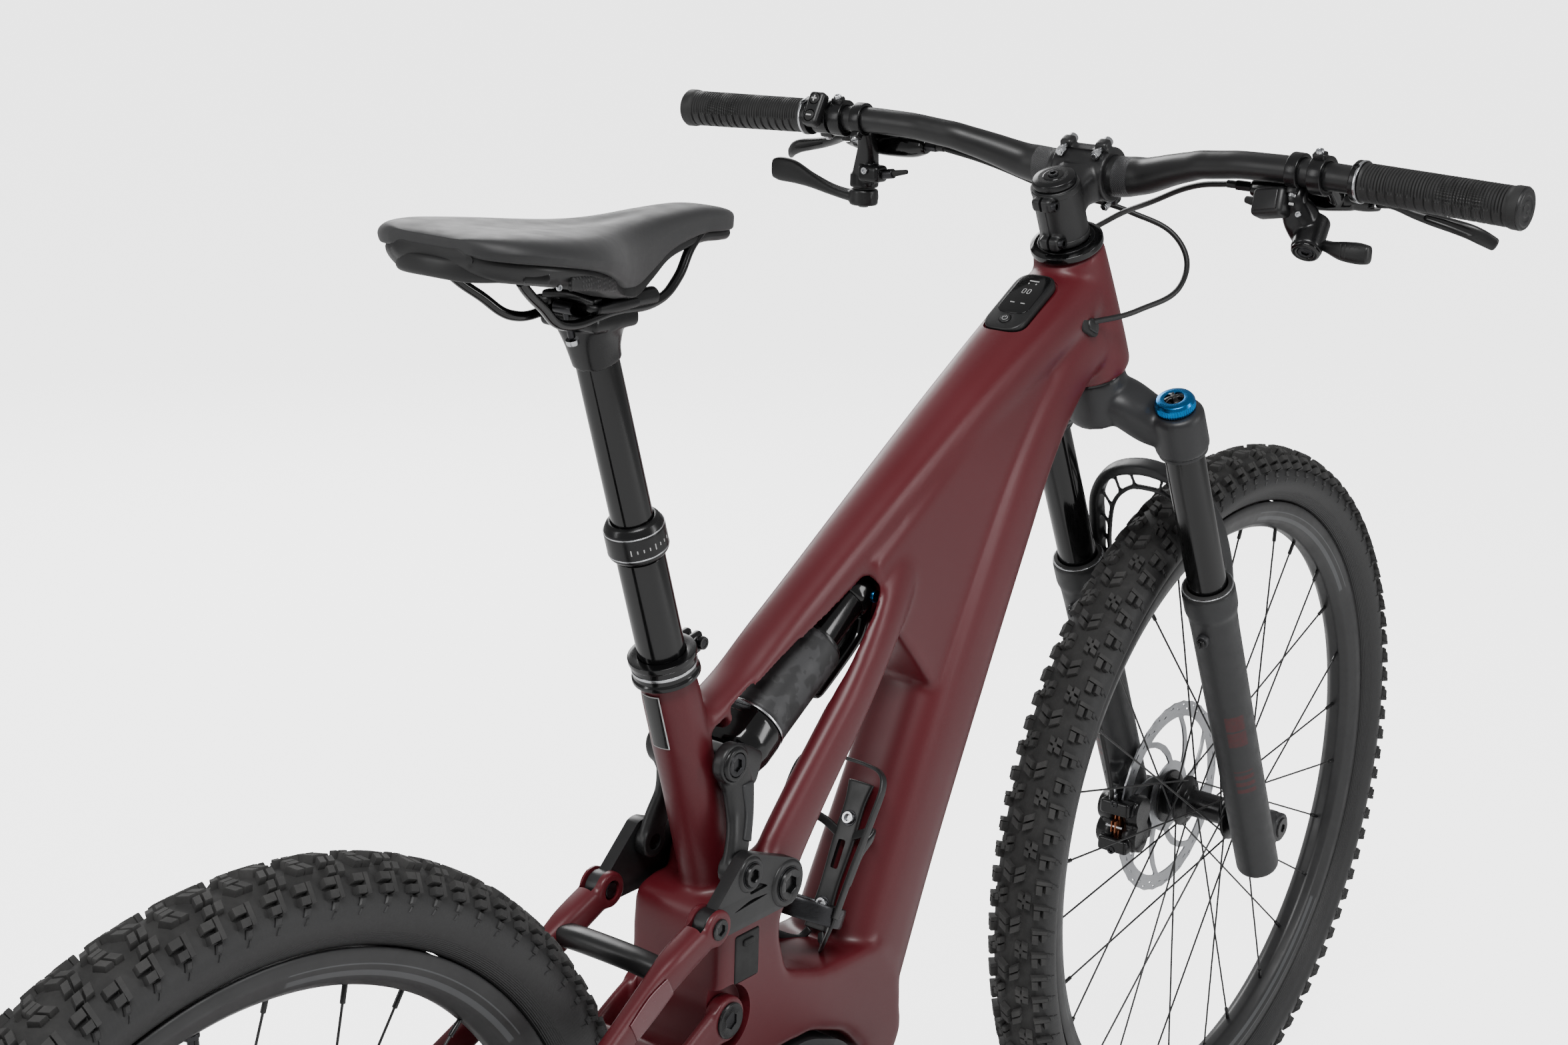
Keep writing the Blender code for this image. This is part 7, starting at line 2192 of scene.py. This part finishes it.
def make_chainring():
    """The chainring with its five openings and bolts."""
    x, z = flat(CRANK)
    outlines = [toothed(x, z, 68.4, 2.6, 34, -0.55), circle(x, z, 12.6, 40)]
    for index in range(5):
        middle = 2 * math.pi * (index + 0.5) / 5
        window = [(34, -0.38), (52, -0.46), (54, 0), (52, 0.46), (34, 0.38)]
        outlines.append(opening(x, z, middle, window, 6))
    ring = plate("ring", outlines, -53.6, -50.4, 0.5)
    pieces = [paint(ring, "dark_metal")]
    for index in range(5):
        middle = 2 * math.pi * index / 5
        place = at(43 * math.cos(middle), -53.4, CRANK_HEIGHT + 43 * math.sin(middle))
        pieces.append(bolt("ring_bolt", place, -Y_AXIS, 5, 2, "anodised_black"))
    attach(merge("chainring_disc", pieces), "crankset", "chainring")


def make_cassette():
    """The sprockets on the rear wheel."""
    radii = [101, 85, 70, 57, 49, 38, 30, 22]
    axle = AXLES["rear"]
    x, z = flat(axle)
    pieces = []
    for index, reach in enumerate(radii):
        teeth = round(2 * math.pi * reach / CHAIN_PITCH)
        edge = toothed(x, z, reach - 1.6, 1.8, teeth, -0.6, 0.1 * index)
        inner = max(10, (radii + [14])[index + 1] - 12)
        outlines = [edge, circle(x, z, inner, 48)]
        if reach > 60:
            outlines = [edge, circle(x, z, 12, 32)]
            for arm in range(6):
                middle = math.pi * arm / 3 + 0.3 * index
                window = [(22, -0.3), (reach - 13, -0.36), (reach - 11, 0), (reach - 13, 0.36), (22, 0.3)]
                outlines.append(opening(x, z, middle, window, 4))
        line = -22 - 5 * index
        pieces.append(paint(plate("cog", outlines, line - 0.95, line + 0.95, 0.25), "dark_metal"))
    core = [(6.7, -73.8), (9.2, -73.8), (9.2, -64), (12.6, -62), (12.6, -18.6), (6.7, -18.6)]
    pieces.append(paint(turned("core", axle, Y_AXIS, core, 48, 0.5), "anodised_black"))
    attach(merge("cassette_cogs", pieces), "cassette", "cassette")


GUIDE = at(-424, 0, 246)
TENSION = at(-446, 0, 156)
COG_LINE = -41.6


def chain_path():
    """Points along the chain, over and round each wheel in turn."""
    wheels = [(CRANK, 71, 1, -52), (AXLES["rear"], 52, 1, COG_LINE), (GUIDE, 24, -1, COG_LINE),
              (TENSION, 24, 1, COG_LINE)]
    headings = []
    for (c0, r0, turn0, _), (c1, r1, turn1, _) in zip(wheels, wheels[1:] + wheels[:1]):
        step = (c1 - c0) / MM
        reach = math.hypot(step.x, step.z)
        headings.append(math.atan2(step.z, step.x) + math.asin((turn0 * r0 - turn1 * r1) / reach))
    path = []
    for index, (centre, radius, turn, line) in enumerate(wheels):
        start = headings[index - 1]
        sweep = (headings[index] - start) * turn % (2 * math.pi)
        steps = max(3, int(sweep / 0.05))
        for k in range(steps + 1):
            heading = start + turn * sweep * k / steps
            normal = Vector((math.sin(heading), 0, -math.cos(heading)))
            path.append(across(centre, line) + normal * (radius * turn) * MM)
    return path


def make_chain():
    """The chain, link by link, round the chainring, a sprocket and the cage's two wheels."""
    path = chain_path()
    path.append(path[0])
    lengths = [0.0]
    for a, b in zip(path, path[1:]):
        lengths.append(lengths[-1] + (b - a).length)
    count = 2 * round(lengths[-1] / (CHAIN_PITCH * MM) / 2)

    def spot(distance):
        distance %= lengths[-1]
        index = max(i for i, length in enumerate(lengths) if length <= distance)
        index = min(index, len(path) - 2)
        share = (distance - lengths[index]) / max(1e-9, lengths[index + 1] - lengths[index])
        return path[index].lerp(path[index + 1], share)

    bm = bmesh.new()
    pitch = lengths[-1] / count
    pins = [spot(k * pitch) for k in range(count)]
    for k in range(count):
        a, b = pins[k], pins[(k + 1) % count]
        direction = (b - a).normalized()
        up = direction.cross(Y_AXIS).normalized()
        half = (b - a).length / 2
        wide = 2.75 if k % 2 else 2.0
        outline = []
        for sign in (1, -1):
            for step in range(7):
                turn = math.radians(-90 + 30 * step)
                outline.append((sign * (half + 3.9 * MM * math.cos(turn)), sign * 3.9 * MM * math.sin(turn)))
            outline.append((0, sign * 2.7 * MM))
        for side in SIDES:
            loops = []
            for offset in (wide - 0.45, wide + 0.45):
                shift = Y_AXIS * side * offset * MM
                loops.append([bm.verts.new((a + b) / 2 + direction * u + up * v + shift)
                              for u, v in outline])
            for i in range(len(outline)):
                j = (i + 1) % len(outline)
                bm.faces.new((loops[0][i], loops[0][j], loops[1][j], loops[1][i]))
            bm.faces.new(loops[1])
            bm.faces.new(list(reversed(loops[0])))
        rows = []
        for y in (-3.4, 3.4):
            rows.append([bm.verts.new(a + (direction * math.cos(t) + up * math.sin(t)) * 1.9 * MM
                                      + Y_AXIS * y * MM)
                         for t in [2 * math.pi * i / 10 for i in range(10)]])
        for i in range(10):
            j = (i + 1) % 10
            bm.faces.new((rows[0][i], rows[0][j], rows[1][j], rows[1][i]))
        bm.faces.new(rows[1])
        bm.faces.new(list(reversed(rows[0])))
    links = merge("chain_links", [paint(from_bmesh("links", bm), "dark_metal", 30)])
    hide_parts("chain")
    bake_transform(links)


def make_derailleur():
    """The derailleur's body and its cage with two wheels."""
    solids = [
        swept("knuckle", [(at(-456, -69, 322), 6, 10), (at(-456, -68.5, 314), 7, 12),
                          (at(-452, -66, 300), 8, 13), (at(-446, -66, 276), 8.6, 12),
                          (at(-432, -62, 256), 8, 13), (at(-425, -60, 247), 7, 13)], Y_AXIS, 2.6, 36, 8, 2),
        block("motor_pod", at(-455, -67, 288), (24, 17, 30), 12, 4),
    ]
    body = fused("knuckle", solids, 1.1, 5)
    pieces = [paint(body, "plastic", 60)]
    pieces.append(bolt("mount_bolt", at(-456, -75.6, 318), -Y_AXIS, 7, 2.4, "dark_metal"))
    pieces.append(bolt("limit_screw", at(-466, -71, 296), Vector((-1, -0.5, 0)), 2.4, 1.6, "silver"))
    attach(merge("derailleur_body", pieces), "seatstay", "derailleur")
    x0, z0 = flat(GUIDE)
    x1, z1 = flat(TENSION)
    slope = math.degrees(math.atan2(z1 - z0, x1 - x0))
    pieces = []
    outline = circle(x0, z0, 12, 16, slope + 90,
                     slope + 270) + circle(x1, z1, 12, 16, slope - 90, slope + 90)
    middle = rounded([(x0 + (x1 - x0) * t + 4.6 * s, z0 + (z1 - z0) * t)
                      for t, s in ((0.3, -1), (0.3, 1), (0.7, 1), (0.7, -1))], 3)
    for near, far in ((-50.2, -47.8), (-35.6, -33.4)):
        pieces.append(paint(plate("cage", [outline, middle], near, far, 0.4), "anodised_black"))
    for x, z in ((x0, z0), (x1, z1)):
        edge = toothed(x, z, 20.4, 1.6, 12, -0.5)
        pieces.append(paint(plate("pulley", [edge, circle(x, z, 3, 20)], COG_LINE - 1.5, COG_LINE + 1.5,
                                  0.3), "plastic"))
        pieces.append(paint(pin("pulley_pin", at(x, 0, z), 3.6, -51.4, -32.6), "silver"))
    pieces.append(paint(pin("cage_axle", GUIDE, 6, -54, -49), "dark_metal"))
    attach(merge("derailleur_arm", pieces), "derailleur_cage", "derailleur_cage")


def make_pedal(side, tag):
    """A platform pedal with its pins and axle."""
    ahead = CRANK_LENGTH * -side
    body = block("body", at(ahead, 127.5 * side, CRANK_HEIGHT), (96, 97, 15.5), 0, 5, 4)
    rooms = [block("room", at(ahead + 27 * fore, 128 * side, CRANK_HEIGHT), (24, 66, 40), 0, 4)
             for fore in (-1, 1)]
    rooms.append(pin("bore", at(ahead, 0, CRANK_HEIGHT), 6.6, *sorted((70 * side, 172 * side))))
    pieces = [paint(drilled(body, rooms), "satin", 45)]
    for fore in (-1, 1):
        for reach in (86, 104, 128, 152, 168):
            for up in (-1, 1):
                place = at(ahead + 43.5 * fore, reach * side, CRANK_HEIGHT + 7 * up)
                pieces.append(paint(rod("stud", place, place + Z_AXIS * up * 4 * MM, 1.9, 6, 0.3), "silver"))
    axle_cap = rod("cap", at(ahead, 172 * side, CRANK_HEIGHT), at(ahead, 177 * side, CRANK_HEIGHT), 9, 36, 1)
    pieces.append(paint(axle_cap, "anodised_black"))
    attach(merge("pedal_platform_" + tag, pieces), "pedal_" + tag, "pedal_" + tag)


# ---------------------------------------------------------------- stage

FLOOR_GLOW = 3.0
SKY_LIGHT = 0.36
SKY_SEEN = 4.5

# Name, place, the point it shines at, width and height, all in metres, and power in watts.
LAMPS = [
    ("key", (-2.0, -1.3, 4.0), (0, 0, 0.7), (2.2, 1.1), 150),
    ("rim", (1.9, 2.6, 2.2), (0, 0, 0.7), (1.4, 2.2), 60),
    ("side", (1.2, -3.2, 1.7), (0.1, 0, 0.7), (0.6, 2.2), 36),
    ("back", (-3.2, 1.9, 1.9), (0, 0, 0.7), (0.45, 2.2), 24),
]
FLOOR_HALF_WIDTH = 30


def area_light(name, place, target, size, power):
    """A rectangular lamp turned to shine at a point."""
    light = bpy.data.lights.new(name, "AREA")
    light.shape = "RECTANGLE"
    light.size, light.size_y = size
    light.energy = power
    lamp = bpy.data.objects.new(name, light)
    bpy.context.scene.collection.objects.link(lamp)
    lamp.location = place
    lamp.rotation_mode = "QUATERNION"
    lamp.rotation_quaternion = (Vector(target) - Vector(place)).to_track_quat("-Z", "Y")


def make_stage():
    """A pale floor and a pale world, both brighter to the camera than to the bike, and four lamps."""
    bm = bmesh.new()
    bmesh.ops.create_grid(bm, x_segments=1, y_segments=1, size=FLOOR_HALF_WIDTH)
    floor = from_bmesh("floor", bm)
    look = Look("pale_floor", (0.9, 0.9, 0.9), 0.0, 0.8)
    look.set(Base_Color=look.mix(look.noise(1.4, 3), (0.88, 0.88, 0.88), (0.92, 0.92, 0.92)))
    seen = look.add("ShaderNodeLightPath").outputs["Is Camera Ray"]
    look.set(Emission_Color=(1, 1, 1, 1), Emission_Strength=look.math("MULTIPLY", seen, FLOOR_GLOW))
    paint(floor, look.material)

    world = bpy.data.worlds.new("studio")
    bpy.context.scene.world = world
    world.use_nodes = True
    tree = world.node_tree
    sky = tree.nodes["Background"]
    sky.inputs["Color"].default_value = (1, 1, 1, 1)
    seen = tree.nodes.new("ShaderNodeLightPath").outputs["Is Camera Ray"]
    bright = tree.nodes.new("ShaderNodeMapRange")
    tree.links.new(seen, bright.inputs[0])
    bright.inputs[3].default_value = SKY_LIGHT
    bright.inputs[4].default_value = SKY_SEEN
    tree.links.new(bright.outputs[0], sky.inputs["Strength"])
    for lamp in LAMPS:
        area_light(*lamp)


# The camera looks from behind the right side, a little downwards. Angles are in degrees: round the
# bike from its right side, downwards, and about the line of sight.
CAMERA_PLACE = (-1350, -1090, 1334)
CAMERA_TURN = -52.98
CAMERA_PITCH = 15.79
CAMERA_ROLL = 1.82
LENS = 57.97
SENSOR_WIDTH = 36


def make_camera():
    """The camera, and the scene's choice of it."""
    data = bpy.data.cameras.new("camera")
    data.lens = LENS
    data.sensor_width = SENSOR_WIDTH
    camera = bpy.data.objects.new("camera", data)
    bpy.context.scene.collection.objects.link(camera)
    a, e, roll = (math.radians(v) for v in (CAMERA_TURN, CAMERA_PITCH, CAMERA_ROLL))
    back = Vector((math.sin(a) * math.cos(e), -math.cos(a) * math.cos(e), math.sin(e)))
    x = Z_AXIS.cross(back).normalized()
    y = back.cross(x)
    right = x * math.cos(roll) + y * math.sin(roll)
    up = y * math.cos(roll) - x * math.sin(roll)
    turned_axes = Matrix((right, up, back)).transposed().to_4x4()
    camera.matrix_world = Matrix.Translation(at(*CAMERA_PLACE)) @ turned_axes
    bpy.context.scene.camera = camera


# ---------------------------------------------------------------- everything

make_frame()
make_display()
make_ports()
make_head_fittings()
make_cage()
make_seat_label()
make_motor()
make_tyre("front", front_tread)
make_tyre("rear", rear_tread)
for end in ("front", "rear"):
    make_rim(end)
    make_hub(end)
    make_rotor(end)
make_crown()
make_knob()
make_lowers()
make_front_hose(*make_caliper("front_brake", AXLES["front"], 180, 38, 58, 44, "fork_lower", "front_caliper"))
make_caliper("rear_brake", AXLES["rear"], 2, 26, 34, 58, "seatstay", "rear_caliper")
make_bar()
make_stem()
GRIP = grip_rubber()
for side, tag in zip(SIDES, TAGS):
    make_grip(side, tag, GRIP)
    make_brake(side, tag)
    make_pedal(side, tag)
make_shifter()
make_remote()
make_dropper_control()
make_hoses()
make_seatpost()
make_rails()
make_saddle()
make_rockers()
make_shock()
make_yoke()
make_chainstay()
make_seatstay()
make_cranks()
make_chainring()
make_cassette()
make_chain()
make_derailleur()
make_stage()
make_camera()
